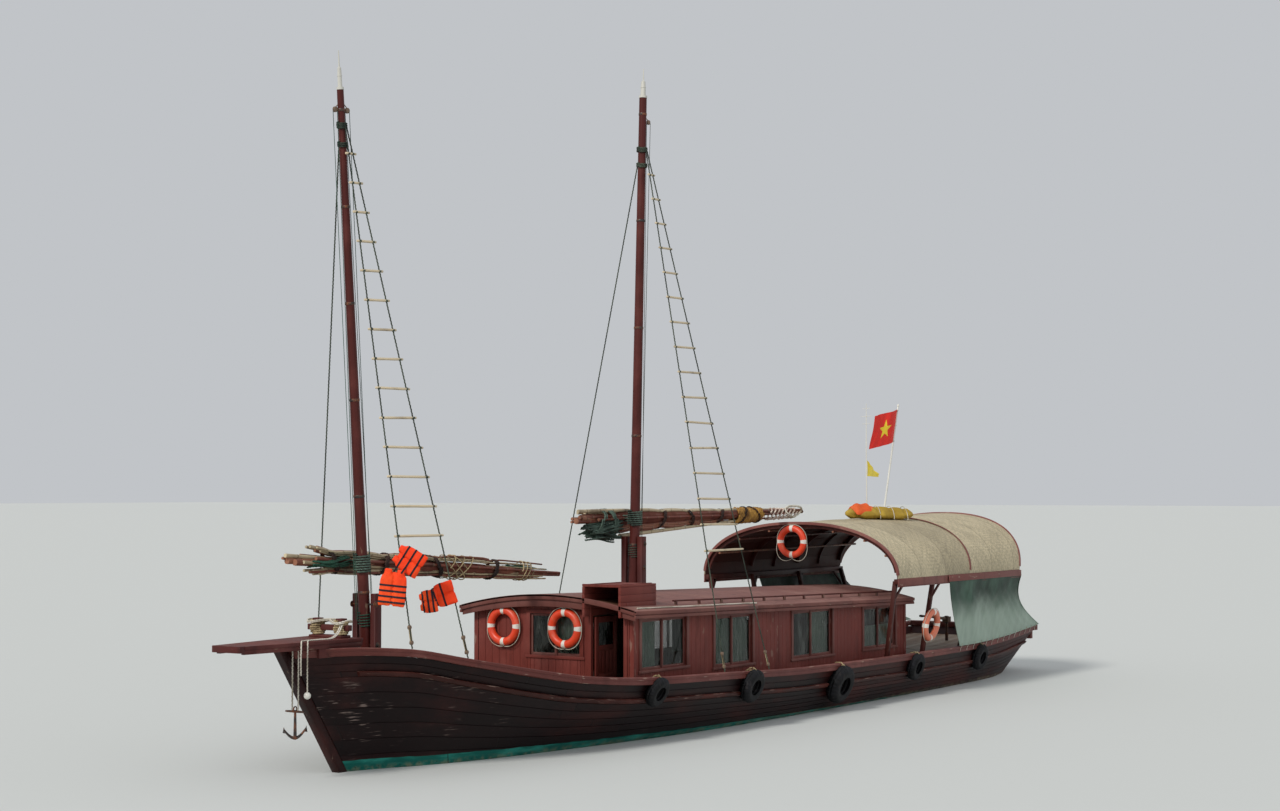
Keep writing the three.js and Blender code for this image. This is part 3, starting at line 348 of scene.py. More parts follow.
def shaded(mesh: bpy.types.Mesh, sharp: float | None = None) -> None:
    """Shades a mesh smooth, with edges past an angle in degrees sharp."""
    mesh.polygons.foreach_set("use_smooth", [True] * len(mesh.polygons))
    if sharp is not None:
        mesh.set_sharp_from_angle(angle=radians(sharp))


class Draft:
    """Points and faces of a piece in the making. Each face carries its own pattern coordinates."""

    def __init__(self) -> None:
        """Starts empty."""
        self.points: list[Vector] = []
        self.faces: list[tuple[int, ...]] = []
        self.coords: list[list[tuple[float, float]]] = []

    def face(self, ids: Sequence[int], coords: Sequence[tuple[float, float]] | None = None) -> None:
        """Adds one face."""
        self.faces.append(tuple(ids))
        self.coords.append(list(coords) if coords else [(0.0, 0.0)] * len(ids))

    def grid(self, rows: Sequence[Sequence[Vector]], along: Sequence[float] | None = None,
             across: Sequence[float] | None = None, ring: bool = False, ends: bool = False) -> None:
        """Adds a sheet of quads through rows of points.

        Args:
            rows: rows of points, all of one length.
            along: the pattern's first coordinate for each row.
            across: its second coordinate for each point of a row, with one more for a ring.
            ring: whether each row closes on itself.
            ends: whether the first and last rows are closed by a face.
        """
        start = len(self.points)
        width = len(rows[0])
        for row in rows:
            self.points.extend(Vector(p) for p in row)
        along = along or list(range(len(rows)))
        across = across or list(range(width + 1))
        for r in range(len(rows) - 1):
            for c in range(width if ring else width - 1):
                nxt = (c + 1) % width
                ids = [start + r * width + c, start + r * width + nxt,
                       start + (r + 1) * width + nxt, start + (r + 1) * width + c]
                spots = [(along[r], across[c]), (along[r], across[c + 1]),
                         (along[r + 1], across[c + 1]), (along[r + 1], across[c])]
                self.face(ids, spots)
        if ends:
            self.face(range(start, start + width))
            last = start + (len(rows) - 1) * width
            self.face(range(last + width - 1, last - 1, -1))

    def solid(self, rows: Sequence[Sequence[Vector]], along: Sequence[float] | None = None,
              across: Sequence[float] | None = None) -> None:
        """Adds a closed solid through rings of points, as grid does."""
        self.grid(rows, along, across, ring=True, ends=True)

    def sweep(self, path: Sequence[Vector], outline: Sequence[tuple[float, float]], up: Vector | None = None,
              mark: float = 0.0, scale: Sequence[float] | None = None) -> None:
        """Carries an outline along a path as a closed bar.

        Args:
            path: the points along the bar.
            outline: the section, as steps to the side and up.
            up: the rough heading of up.
            mark: added to the pattern's second coordinate, so that bars differ.
            scale: the section's size at each point.
        """
        rows = []
        lengths = [0.0]
        for i, (side, top) in enumerate(carried(path, up)):
            grow = scale[i] if scale else 1.0
            rows.append([path[i] + side * (a * grow) + top * (b * grow) for a, b in outline])
            if i:
                lengths.append(lengths[-1] + (path[i] - path[i - 1]).length)
        count = len(outline)
        self.solid(rows, lengths, [mark + i / count for i in range(count + 1)])

    def tube(self, path: Sequence[Point], radius: float | Sequence[float], sides: int = 10,
             mark: float = 0.0) -> None:
        """Adds a round bar along a path, with one radius or one for each point."""
        spots = [Vector(p) for p in path]
        radii = list(radius) if isinstance(radius, (list, tuple)) else [radius] * len(spots)
        circle = [(cos(a), sin(a)) for a in full_turn(sides)]
        self.sweep(spots, circle, mark=mark, scale=radii)

    def beam(self, start: Point, end: Point, wide: float, tall: float, up: Point = (0, 0, 1),
             mark: float = 0.0) -> None:
        """Adds a squared timber between two points on its middle line."""
        a, b = wide / 2, tall / 2
        self.sweep([Vector(start), Vector(end)], [(-a, -b), (a, -b), (a, b), (-a, b)], Vector(up), mark)

    def block(self, low: Point, high: Point, mark: float = 0.0) -> None:
        """Adds a box between two corners, its grain along its longest side."""
        size = [h - l for l, h in zip(low, high)]
        long = size.index(max(size))
        middle = [(l + h) / 2 for l, h in zip(low, high)]
        ends = [list(middle), list(middle)]
        ends[0][long], ends[1][long] = low[long], high[long]
        up = Vector((0, 0, 1)) if long < 2 else Vector((1, 0, 0))
        side = {0: 1, 1: 0, 2: 1}[long]
        tall = 2 if long < 2 else 0
        self.beam(ends[0], ends[1], size[side], size[tall], up, mark)

    def ring(self, middle: Point, axis: Point, radius: float, tube: float, around: int = 32, sides: int = 10,
             bulge: Callable[[float, float], float] | None = None, part: float = 1.0) -> None:
        """Adds a torus, or part of one.

        Args:
            middle: its centre.
            axis: the direction that it turns about.
            radius: from the centre to the middle of the tube.
            tube: the tube's radius.
            around: steps round the torus.
            sides: steps round the tube.
            bulge: the tube's growth at a turn about the axis and a turn about the tube.
            part: how much of a full turn it makes.
        """
        turn = Vector((0, 0, 1)).rotation_difference(Vector(axis).normalized())
        rows = []
        count = around + (0 if part >= 1 else 1)
        for i in range(count):
            a = tau * part * i / around
            out = Vector((cos(a), sin(a), 0))
            row = []
            for b in full_turn(sides):
                reach = tube * (bulge(a, b) if bulge else 1.0)
                row.append(Vector(middle) + turn @ (out * (radius + reach * cos(b))
                                                    + Vector((0, 0, reach * sin(b)))))
            rows.append(row)
        along = [part * i / around for i in range(count + 1)]
        across = [j / sides for j in range(sides + 1)]
        if part >= 1:
            rows.append(rows[0])
        self.grid(rows, along, across, ring=True, ends=part < 1)

    def lathe(self, foot: Point, axis: Point, outline: Sequence[tuple[float, float]], sides: int = 24) -> None:
        """Turns an outline of (height, radius) steps about an axis from its foot."""
        turn = Vector((0, 0, 1)).rotation_difference(Vector(axis).normalized())
        rows = []
        for height, radius in outline:
            rows.append([Vector(foot) + turn @ Vector((radius * cos(a), radius * sin(a), height))
                         for a in full_turn(sides)])
        self.solid(rows, [h for h, _ in outline], [i / sides for i in range(sides + 1)])

    def mesh(self, name: str, bevel: float = 0.0, sharp: float = 40.0, closed: bool = True) -> bpy.types.Mesh:
        """Makes the mesh.

        Args:
            name: the mesh's name.
            bevel: the width that edges are rounded by.
            sharp: the angle in degrees past which an edge is shaded sharp.
            closed: whether the faces enclose solids, so that they can be turned outwards.

        Returns:
            The mesh.
        """
        made = bpy.data.meshes.new(name)
        made.from_pydata(self.points, [], self.faces)
        layer = made.uv_layers.new(name="UVMap")
        flat = [number for face in self.coords for spot in face for number in spot]
        layer.data.foreach_set("uv", flat)
        form = bmesh.new()
        form.from_mesh(made)
        bmesh.ops.remove_doubles(form, verts=form.verts, dist=WELD)
        bmesh.ops.dissolve_degenerate(form, edges=form.edges, dist=WELD / 10)
        if closed:
            bmesh.ops.recalc_face_normals(form, faces=form.faces)
        if bevel:
            bevelled(form, 35, bevel)
        form.to_mesh(made)
        form.free()
        shaded(made, sharp)
        return made

    def piece(self, name: str, finish: "Finish", body: str = "root", slot: str = "",
              replaces: Sequence[str] = (),
              **shape: object) -> bpy.types.Object:
        """Makes the finished piece, carried by a body.

        Args:
            name: the piece's name.
            finish: its finish.
            body: the body that it moves with.
            slot: not used.
            replaces: the plain solids that it stands for.
            shape: passed to mesh.

        Returns:
            The object.
        """
        return dress(linked(name, self.mesh(name, **shape)), finish, body, slot, replaces)


def dress(piece: bpy.types.Object, finish: "Finish", body: str, slot: str,
          replaces: Sequence[str] = ()) -> bpy.types.Object:
    """Gives a piece its finish, its body and the solids that it stands for, and reports it."""
    piece.data.materials.clear()
    piece.data.materials.append(finish.material())
    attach(piece, body)
    slot or finish.slot
    if replaces:
        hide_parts(*replaces)
    LOG.info("%s: %d faces on %s", piece.name, len(piece.data.polygons), body)
    return piece


def settled(piece: bpy.types.Object) -> bpy.types.Mesh:
    """The piece's mesh with its modifiers worked in."""
    graph = bpy.context.evaluated_depsgraph_get()
    return bpy.data.meshes.new_from_object(piece.evaluated_get(graph), depsgraph=graph)


def swollen(piece: bpy.types.Object, voxel: float, cap: float, pressure: float = 4.0) -> None:
    """Lets a closed pad swell as cloth under pressure and keeps the result.

    Args:
        piece: the pad.
        voxel: the size of the grid that it is meshed on first.
        cap: how far a point may move.
        pressure: the pressure inside.
    """
    grid = piece.modifiers.new("grid", "REMESH")
    grid.mode, grid.voxel_size = "VOXEL", voxel
    meshed = settled(piece)
    piece.modifiers.clear()
    piece.data = meshed
    before = [vertex.co.copy() for vertex in meshed.vertices]
    cloth = piece.modifiers.new("cloth", "CLOTH")
    cloth.settings.use_pressure = True
    cloth.settings.uniform_pressure_force = pressure
    cloth.settings.effector_weights.gravity = 0.0
    for number in range(1, 21):
        bpy.context.scene.frame_set(number)
    blown = settled(piece)
    piece.modifiers.clear()
    for vertex, start in zip(blown.vertices, before):
        move = vertex.co - start
        if move.length > cap:
            vertex.co = start + move.normalized() * cap
    shaded(blown)
    piece.data = blown
    finer = piece.modifiers.new("finer", "SUBSURF")
    finer.levels = finer.render_levels = 1
    smooth = settled(piece)
    piece.modifiers.clear()
    piece.data = smooth
    bpy.context.scene.frame_set(1)
    LOG.info("%s: swollen, %d faces", piece.name, len(smooth.polygons))


def rounded(node: str, finish: "Finish", bevel: float) -> bpy.types.Object:
    """A copy of a plain solid with its doubles merged and its edges rounded, which stands for it."""
    form = bmesh.new()
    form.from_mesh(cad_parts[node].data)
    bmesh.ops.remove_doubles(form, verts=form.verts, dist=WELD)
    bmesh.ops.dissolve_limit(form, angle_limit=radians(1), verts=form.verts, edges=form.edges)
    bevelled(form, 25, bevel)
    made = bpy.data.meshes.new(f"{node}_dressed")
    form.to_mesh(made)
    form.free()
    shaded(made, 28)
    return dress(linked(made.name, made), finish, "root", finish.slot, [node])


# Geometry Nodes


class GeoTree(NodeTree):
    """A Geometry Nodes tree with named inputs, run once on an object."""

    def __init__(self, name: str, inputs: dict[str, tuple[str, object]]) -> None:
        """Starts the tree.

        Args:
            name: the tree's name.
            inputs: each input's kind and starting value, by its name.
        """
        super().__init__(bpy.data.node_groups.new(name, "GeometryNodeTree"))
        face = self.tree.interface
        face.new_socket(name="Geometry", in_out="INPUT", socket_type="NodeSocketGeometry")
        self.keys = {}
        for label, (kind, value) in inputs.items():
            item = face.new_socket(name=label, in_out="INPUT", socket_type=f"NodeSocket{kind}")
            if value is not None:
                item.default_value = value
            self.keys[label] = item.identifier
        face.new_socket(name="Geometry", in_out="OUTPUT", socket_type="NodeSocketGeometry")
        self.entry = self.node("NodeGroupInput").outputs

    def maths(self, operation: str, *terms: object) -> bpy.types.NodeSocket:
        """One Math node."""
        return self.node("ShaderNodeMath", {"operation": operation}, dict(enumerate(terms))).outputs[0]

    def close(self, shape: bpy.types.NodeSocket) -> None:
        """Ends the tree in Realize Instances and Set Material."""
        real = self.node("GeometryNodeRealizeInstances", None, {0: shape}).outputs[0]
        painted = self.node("GeometryNodeSetMaterial", None,
                            {0: real, "Material": self.entry["Material"]}).outputs[0]
        self.node("NodeGroupOutput", None, {0: painted})

    def run(self, source: bpy.types.Object, values: dict[str, object], name: str) -> bpy.types.Object:
        """Runs the tree on an object and keeps the result as a plain mesh.

        Args:
            source: the object that the tree starts from, removed at the end.
            values: the inputs, by their names.
            name: the new object's name.

        Returns:
            The object with the plain mesh.
        """
        bpy.context.scene.collection.objects.link(source)
        modifier = source.modifiers.new(self.tree.name, "NODES")
        modifier.node_group = self.tree
        for label, value in values.items():
            modifier[self.keys[label]] = value
        source.update_tag()
        bpy.context.view_layer.update()
        ready = source.evaluated_get(bpy.context.evaluated_depsgraph_get())
        mesh = bpy.data.meshes.new_from_object(ready)
        mesh.name = name
        source.modifiers.clear()
        bpy.data.objects.remove(source)
        return linked(name, mesh)


@dataclass(frozen=True)
class Mark:
    """Where one copy of a small shape stands, how it is turned and how large it is."""

    place: Vector
    turn: Euler
    size: tuple[float, float, float] = (1.0, 1.0, 1.0)


class Repeater:
    """Stands copies of one small shape on marks, each a little different in size and turn."""

    def __init__(self) -> None:
        """Builds the tree."""
        self.geo = GeoTree("repeat_on_marks", {
            "Shape": ("Object", None),
            "Size spread": ("Float", 0.05),
            "Turn spread": ("Float", 0.0),
            "Seed": ("Int", 1),
            "Material": ("Material", None),
        })
        geo = self.geo
        shape = geo.node("GeometryNodeObjectInfo", None, {"Object": geo.entry["Shape"]}).outputs["Geometry"]
        turn = geo.node("GeometryNodeInputNamedAttribute", {"data_type": "FLOAT_VECTOR"},
                        {"Name": "turn"}).outputs[0]
        size = geo.node("GeometryNodeInputNamedAttribute", {"data_type": "FLOAT_VECTOR"},
                        {"Name": "size"}).outputs[0]
        jitter = self._spread("Turn spread", 0.0)
        grow = self._spread("Size spread", 1.0)
        swung = geo.node("ShaderNodeVectorMath", {"operation": "ADD"}, {0: turn, 1: jitter}).outputs[0]
        sized = geo.node("ShaderNodeVectorMath", {"operation": "MULTIPLY"}, {0: size, 1: grow}).outputs[0]
        placed = geo.node("GeometryNodeInstanceOnPoints", None, {
            "Points": geo.entry["Geometry"],
            "Instance": shape,
            "Rotation": geo.node("FunctionNodeEulerToRotation", None, {0: swung}).outputs[0],
            "Scale": sized,
        }).outputs[0]
        geo.close(placed)

    def _spread(self, label: str, middle: float) -> bpy.types.NodeSocket:
        """A random vector about a middle value, as wide each way as the named input."""
        geo = self.geo
        low = geo.maths("SUBTRACT", middle, geo.entry[label])
        high = geo.maths("ADD", middle, geo.entry[label])
        return geo.node("FunctionNodeRandomValue", {"data_type": "FLOAT_VECTOR"}, {
            "Min": low, "Max": high, "Seed": geo.entry["Seed"],
        }).outputs[0]

    def spread(self, name: str, shape: Draft, marks: Sequence[Mark], finish: "Finish", body: str = "root",
               size_spread: float = 0.05, turn_spread: float = 0.0, seed: int = 1,
               replaces: Sequence[str] = ()) -> bpy.types.Object:
        """Makes one piece of all the copies.

        Args:
            name: the piece's name.
            shape: the small shape about its own origin.
            marks: where the copies stand.
            finish: their finish.
            body: the body that they move with.
            size_spread: how much the copies differ in size.
            turn_spread: how much they differ in turn, in radians.
            seed: the random seed.
            replaces: the plain solids that they stand for.

        Returns:
            The piece.
        """
        spots = bpy.data.meshes.new(name)
        spots.from_pydata([m.place for m in marks], [], [])
        for label in ("turn", "size"):
            layer = spots.attributes.new(label, "FLOAT_VECTOR", "POINT")
            layer.data.foreach_set("vector", [number for m in marks for number in getattr(m, label)])
        model = linked(f"{name}_model", shape.mesh(f"{name}_model"))
        made = self.geo.run(bpy.data.objects.new(name, spots), {
            "Shape": model, "Size spread": size_spread, "Turn spread": turn_spread, "Seed": seed,
            "Material": finish.material(),
        }, name)
        bpy.data.objects.remove(model)
        return dress(made, finish, body, finish.slot, replaces)


class RopeMaker:
    """Lays a three-stranded rope along curves."""

    def __init__(self) -> None:
        """Builds the tree."""
        self.geo = GeoTree("three_strand_rope", {
            "Radius": ("Float", 0.02),
            "Step": ("Float", 0.03),
            "Lay": ("Float", 5.0),
            "Strand depth": ("Float", 0.16),
            "Material": ("Material", None),
        })
        geo = self.geo
        maths = geo.maths
        even = geo.node("GeometryNodeResampleCurve", {"mode": "LENGTH"}, {
            "Curve": geo.entry["Geometry"], "Length": geo.entry["Step"],
        }).outputs[0]
        run = geo.node("GeometryNodeSplineParameter").outputs["Length"]
        twist = maths("MULTIPLY", maths("MULTIPLY", run, geo.entry["Lay"]), tau)
        laid = geo.node("GeometryNodeSetCurveTilt", None, {"Curve": even, "Tilt": twist}).outputs[0]
        circle = geo.node("GeometryNodeCurvePrimitiveCircle", {"mode": "RADIUS"}, {
            "Resolution": 6, "Radius": geo.entry["Radius"],
        }).outputs[0]
        place = geo.node("GeometryNodeInputPosition").outputs[0]
        parts = geo.node("ShaderNodeSeparateXYZ", None, {0: place}).outputs
        turn = maths("ARCTAN2", parts[1], parts[0])
        wave = maths("COSINE", maths("MULTIPLY", turn, 3.0))
        grow = maths("ADD", 1.0, maths("MULTIPLY", wave, geo.entry["Strand depth"]))
        lobed = geo.node("ShaderNodeVectorMath", {"operation": "SCALE"}, {0: place, "Scale": grow}).outputs[0]
        section = geo.node("GeometryNodeSetPosition", None, {"Geometry": circle, "Position": lobed}).outputs[0]
        made = geo.node("GeometryNodeCurveToMesh", None, {
            "Curve": laid, "Profile Curve": section, "Fill Caps": True,
        }).outputs[0]
        geo.close(made)

    def lay(self, name: str, runs: Sequence[Sequence[Point]], radius: float, finish: "Finish",
            body: str = "root", lay: float | None = None) -> bpy.types.Object:
        """Makes one piece of all the ropes.

        Args:
            name: the piece's name.
            runs: the points of each rope.
            radius: the rope's radius.
            finish: its finish.
            body: the body that it moves with.
            lay: turns of the strands in a metre.

        Returns:
            The piece.
        """
        curve = bpy.data.curves.new(name, "CURVE")
        curve.dimensions = "3D"
        for run in runs:
            spline = curve.splines.new("POLY")
            spline.points.add(len(run) - 1)
            for spot, at in zip(spline.points, run):
                spot.co = (*at, 1.0)
        turns = lay or 0.07 / radius
        made = self.geo.run(bpy.data.objects.new(name, curve), {
            "Radius": radius, "Step": max(radius * 2.0, 1.0 / turns / 6), "Lay": turns,
            "Strand depth": 0.16, "Material": finish.material(),
        }, name)
        form = bmesh.new()
        form.from_mesh(made.data)
        bmesh.ops.recalc_face_normals(form, faces=form.faces)
        form.to_mesh(made.data)
        form.free()
        shaded(made.data)
        return dress(made, finish, body, finish.slot)

    def free(self, name: str, run: Sequence[Point], radius: float, finish: "Finish", hold: str,
             end: str = "bare", with_pieces: Sequence[bpy.types.Object] = ()) -> None:
        """Args:
            name: the piece's name.
            run: the points that it follows, from where it leaves the boat.
            radius: the rope's radius.
            finish: its finish.
            hold: not used.
            end: not used.
            with_pieces: not used.
        """
        piece = self.lay(name, [run], radius, finish)
        length = sum((Vector(b) - Vector(a)).length for a, b in pairwise(run))
        tuple(run[0])
        [tuple(p) for p in run]


REPEATER = Repeater()
ROPES = RopeMaker()


# Finishes

MADE: dict["Finish", bpy.types.Material] = {}


class Grain(Enum):
    """Which way the fibres of a timber run."""

    PIECE = "along the piece's own pattern"
    FORWARD = "along X"
    SIDEWAYS = "along Y"
    UPRIGHT = "along Z"

    def spot(self, s: Shader, stretch: float) -> bpy.types.NodeSocket:
        """A place for noise that is drawn out along the fibres.

        Args:
            s: the shader.
            stretch: how much longer than wide the marks are.

        Returns:
            The place as a vector.
        """
        if self is Grain.PIECE:
            along, across, _ = s.pattern()
            return s.vector(along / stretch, across * 0.35, across.floor() * 3.1)
        chosen = {Grain.FORWARD: 0, Grain.SIDEWAYS: 1, Grain.UPRIGHT: 2}[self]
        return s.vector(*[p / stretch if i == chosen else p for i, p in enumerate(s.place())])


@dataclass(frozen=True)
class Finish:
    """A surface. Its material is made once."""

    name: str = "plain"
    slot: str = "trim_paint"

    def material(self) -> bpy.types.Material:
        """The material, made at the first call."""
        if self not in MADE:
            MADE[self] = self.build(Shader(self.name))
        return MADE[self]

    def build(self, s: Shader) -> bpy.types.Material:
        """Fills the shader."""
        raise NotImplementedError


@dataclass(frozen=True)
class AgedPaint(Finish):
    """Brushed paint on timber that sun, salt and hands have worn."""

    colour: int = 0x55201C
    faded: int = 0x7A4A44
    bare: int = 0x8C7767
    wear: float = 0.4
    gloss: float = 0.5
    grain: Grain = Grain.PIECE

    def build(self, s: Shader) -> bpy.types.Material:
        """Fades the paint in clouds and makes it paler on what faces the sky, partly as sun fading and partly
        as painted light from above, and wears it off edges and in flakes.
        """
        place = s.vector(*s.place())
        fibre = s.noise(self.grain.spot(s, 14.0), 90.0, 4.0)
        flake = s.noise(self.grain.spot(s, 5.0), 16.0, 5.0)
        cloud = s.noise(place, 1.1, 4.0)
        # Faces turned up get paler paint: partly real sun fading, partly painted light from above.
        sky = s.split(s.node("ShaderNodeNewGeometry").outputs["Normal"])[2].ramp(0.45, 0.98)
        fade_and_top_light = (cloud.ramp(0.38, 0.7) * 0.6 + sky * 0.4).ramp(0.05, 1.0)
        scuffed = flake + (s.edges() - 0.5) * 1.2 + sky * 0.03
        worn = scuffed.ramp(0.80 - self.wear * 0.3, 0.87 - self.wear * 0.26)
        streaked = [p * k for p, k in zip(s.place(), (1.0, 1.0, 0.25))]
        grime = s.noise(s.vector(*streaked), 5.0, 4.0).ramp(0.5, 0.78)
        base = s.mix(fade_and_top_light, self.colour, self.faded)
        stained = s.shade(base, 1.0 - grime * 0.34)
        shown = s.mix(worn * 0.7, stained, self.bare)
        toned = s.shade(shown, fibre * 0.42 + 0.79)
        rough = fade_and_top_light * 0.3 + worn * 0.25 + (1.0 - self.gloss) * 0.55 + 0.12
        return s.done(toned, rough, fibre * 0.5 - worn * 0.6, 0.0022, Specular_IOR_Level=0.2)


@dataclass(frozen=True)
class HullPaint(Finish):
    """The side's paint over planks: dark maroon, paler aft, teal antifouling below the boot-top."""

    name: str = "hull_planks_painted"
    slot: str = "hull_paint"
    dark: int = 0x130405
    pale: int = 0x3E1B17
    teal: int = 0x0A5F55
    butt: float = 6.4
    rib: float = 0.46
    scuff: int = 0x8C7A72
    chalk: int = 0x2D8A7C
    weed: int = 0x2C3A22
    scum: int = 0x8A8468
    seam: int = 0x120807

    def build(self, s: Shader) -> bpy.types.Material:
        """Paints planks of slightly different tone with nails, scuffs, runs, a weedy line and antifouling."""
        x, y, z = s.place()
        along, plank, _ = s.pattern()
        place = s.vector(x, y, z)
        row = plank.floor()
        length = along / self.butt + s.chance(row, 1.0, 2.0)
        tone = s.chance(row, length.floor(), 4.0)
        butt = (length.fract() - 0.5).size().ramp(0.4975, 0.4992)
        fibre = s.noise(s.vector(along / 16.0, plank * 0.24, row), 80.0, 4.0)
        cloud = s.noise(s.vector(x * 0.45, y, z * 1.3), 1.2, 5.0)
        runs = s.noise(s.vector(x * 5.0, y * 5.0, z * 0.3), 2.4, 4.0).ramp(0.5, 0.74)
        nail = self._nails(s, along, plank)
        aft = x.ramp(5.0, -12.0)
        worn = (cloud + aft * 0.16 + tone * 0.1).ramp(0.46, 0.86)
        paint = s.mix(worn, self.dark, self.pale)
        paint = s.shade(paint, tone * 0.34 + fibre * 0.36 + 0.66 - runs * 0.28)
        scratch = s.noise(s.vector(x * 0.5, y, z * 7.0), 5.0, 6.0)
        bow = x.ramp(7.2, 10.2) * z.ramp(0.25, 0.6) * z.ramp(1.75, 1.2)
        band = (s.noise(place, 1.7, 3.0) + bow * 0.10 - 0.06).ramp(0.53, 0.66)
        rubbed = scratch.ramp(0.58, 0.7) * band * (bow * 0.6 + 0.16)
        paint = s.mix(rubbed, paint, self.scuff)
        line = x * 0.0098 + 0.069 + (s.noise(s.vector(x, y, 0.0), 2.2, 4.0) - 0.5) * 0.045
        under = (line - z).ramp(-0.006, 0.006)
        chalk = s.noise(s.vector(x * 0.6, y, z * 3.0), 3.0, 5.0)
        fouled = s.mix(chalk.ramp(0.42, 0.72), self.teal, self.chalk)
        weed = z.ramp(0.03, -0.12) * s.noise(place, 6.0, 5.0).ramp(0.34, 0.62)
        fouled = s.shade(s.mix(weed * 0.75, fouled, self.weed), fibre * 0.4 + 0.74)
        scum = (z - 0.02).size().ramp(0.09, 0.0) * s.noise(place, 9.0, 4.0).ramp(0.38, 0.66)
        both = s.mix(scum * 0.5, s.mix(under, paint, fouled), self.scum)
        both = s.mix(s.maths("MAXIMUM", nail * 0.5, butt * 0.85), both, self.seam)
        height = fibre * 0.5 - butt * 1.2 - nail * 0.7 - rubbed * 0.4 + scum * 0.3
        return s.done(both, cloud * 0.3 + under * 0.12 + rubbed * 0.2 + 0.34, height, 0.003,
                      Specular_IOR_Level=0.2)

    def _nails(self, s: Shader, along: Value, plank: Value) -> Value:
        """Two nail heads on each rib in each plank."""
        step = (along / self.rib).fract() - 0.5
        level = (plank.fract() - 0.5).size() - 0.29
        reach = s.maths("SQRT", step * step * (self.rib ** 2) + level * level * 0.06)
        return reach.ramp(0.016, 0.009)


@dataclass(frozen=True)
class BarePlanks(Finish):
    """Weathered planks with caulked seams. The pattern's second coordinate counts planks."""

    name: str = "deck_planks"
    slot: str = "deck_wood"
    brown: int = 0x7D624C
    silver: int = 0x9C8C7A
    stain: int = 0x3A2A20

    def build(self, s: Shader) -> bpy.types.Material:
        """Gives each plank its own tone, grain, knots and foot wear."""
        x, y, z = s.place()
        along, plank, _ = s.pattern()
        row = plank.floor()
        fibre = s.noise(s.vector(along / 18.0, plank * 0.2, row * 1.7), 120.0, 5.0)
        ring = s.noise(s.vector(along / 5.0, plank * 0.5, row * 2.3), 5.0, 2.0)
        stripe = ((ring * 42.0).sine() * 0.5 + 0.5).ramp(0.15, 0.9)
        tone = s.chance(row, (along / 5.0 + s.chance(row, 7.0)).floor(), 1.0)
        cloud = s.noise(s.vector(x, y, z), 1.4, 4.0)
        base = s.mix((tone * 0.7 + cloud * 0.5).ramp(0.2, 0.95), self.brown, self.silver)
        shown = s.shade(base, fibre * 0.5 + stripe * 0.14 + 0.66)
        stain = s.noise(s.vector(x, y, z), 2.6, 5.0).ramp(0.56, 0.72)
        shown = s.mix(stain * 0.45, shown, self.stain)
        return s.done(shown, cloud * 0.25 + 0.58, fibre * 0.6 + stripe * 0.3, 0.0025)


@dataclass(frozen=True)
class WovenMat(Finish):
    """Split-bamboo matting in a twill weave, sewn together in lengths and greyed by weather."""

    name: str = "woven_bamboo_mat"
    slot: str = "woven_mat"
    straw: int = 0xC4B696
    grey: int = 0xA89B7E
    strip: float = 0.028
    sheet: float = 1.24
    mould: int = 0x6A6452
    stitch: int = 0x5B5040

    def build(self, s: Shader) -> bpy.types.Material:
        """Weaves strips over and under each other on the diagonal and lays the mats in sheets."""
        u, v, _ = s.pattern()
        a = (u + v) / (self.strip * 1.414)
        b = (u - v) / (self.strip * 1.414)
        over = ((a.floor() - b.floor()) / 4.0).fract() < 0.5
        rise_a = 1.0 - ((a.fract() - 0.5).size() * 2.0) ** 3.0
        rise_b = 1.0 - ((b.fract() - 0.5).size() * 2.0) ** 3.0
        tone_a = s.chance(a.floor(), (b / 16.0).floor(), 1.0)
        tone_b = s.chance(b.floor(), (a / 16.0).floor(), 2.0)
        tone = over * tone_a + (1.0 - over) * tone_b
        height = over * rise_a + (1.0 - over) * rise_b
        lap = (u / self.sheet).fract()
        seam = (lap - 0.5).size().ramp(0.482, 0.492)
        sheet_tone = s.chance((u / self.sheet).floor(), (v / 2.4 + 20.0).floor(), 5.0)
        x, y, z = s.place()
        cloud = s.noise(s.vector(x * 0.8, y, z), 1.0, 5.0)
        run = s.noise(s.vector(x * 3.2, y * 0.7, z * 0.3), 2.0, 5.0)
        patch = s.noise(s.vector(u, v, 0.0), 0.8, 4.0)
        base = s.mix((cloud * 0.8 + sheet_tone * 0.35).ramp(0.35, 0.85), self.straw, self.grey)
        shown = s.shade(base, tone * 0.40 + height * 0.24 + 0.58 - run.ramp(0.5, 0.75) * 0.10)
        shown = s.mix(patch.ramp(0.54, 0.7) * 0.16, shown, self.mould)
        shown = s.mix(seam * 0.35, shown, self.stitch)
        return s.done(shown, tone * 0.15 + 0.62, height * 0.8 + seam * 0.6, 0.006)


@dataclass(frozen=True)
class Fibre(Finish):
    """Laid rope of natural or man-made fibre. Its pattern comes from its place."""

    name: str = "hemp_rope"
    slot: str = "rope"
    pale: int = 0xB9A57E
    dark: int = 0x7C6A4C

    def build(self, s: Shader) -> bpy.types.Material:
        """Mottles the strands with dirt and stray fibres."""
        place = s.vector(*s.place())
        dirt = s.noise(place, 3.0, 4.0)
        hair = s.noise(place, 130.0, 3.0)
        base = s.mix(dirt.ramp(0.36, 0.7), self.pale, self.dark)
        return s.done(s.shade(base, hair * 0.6 + 0.7), 0.86, hair, 0.002)


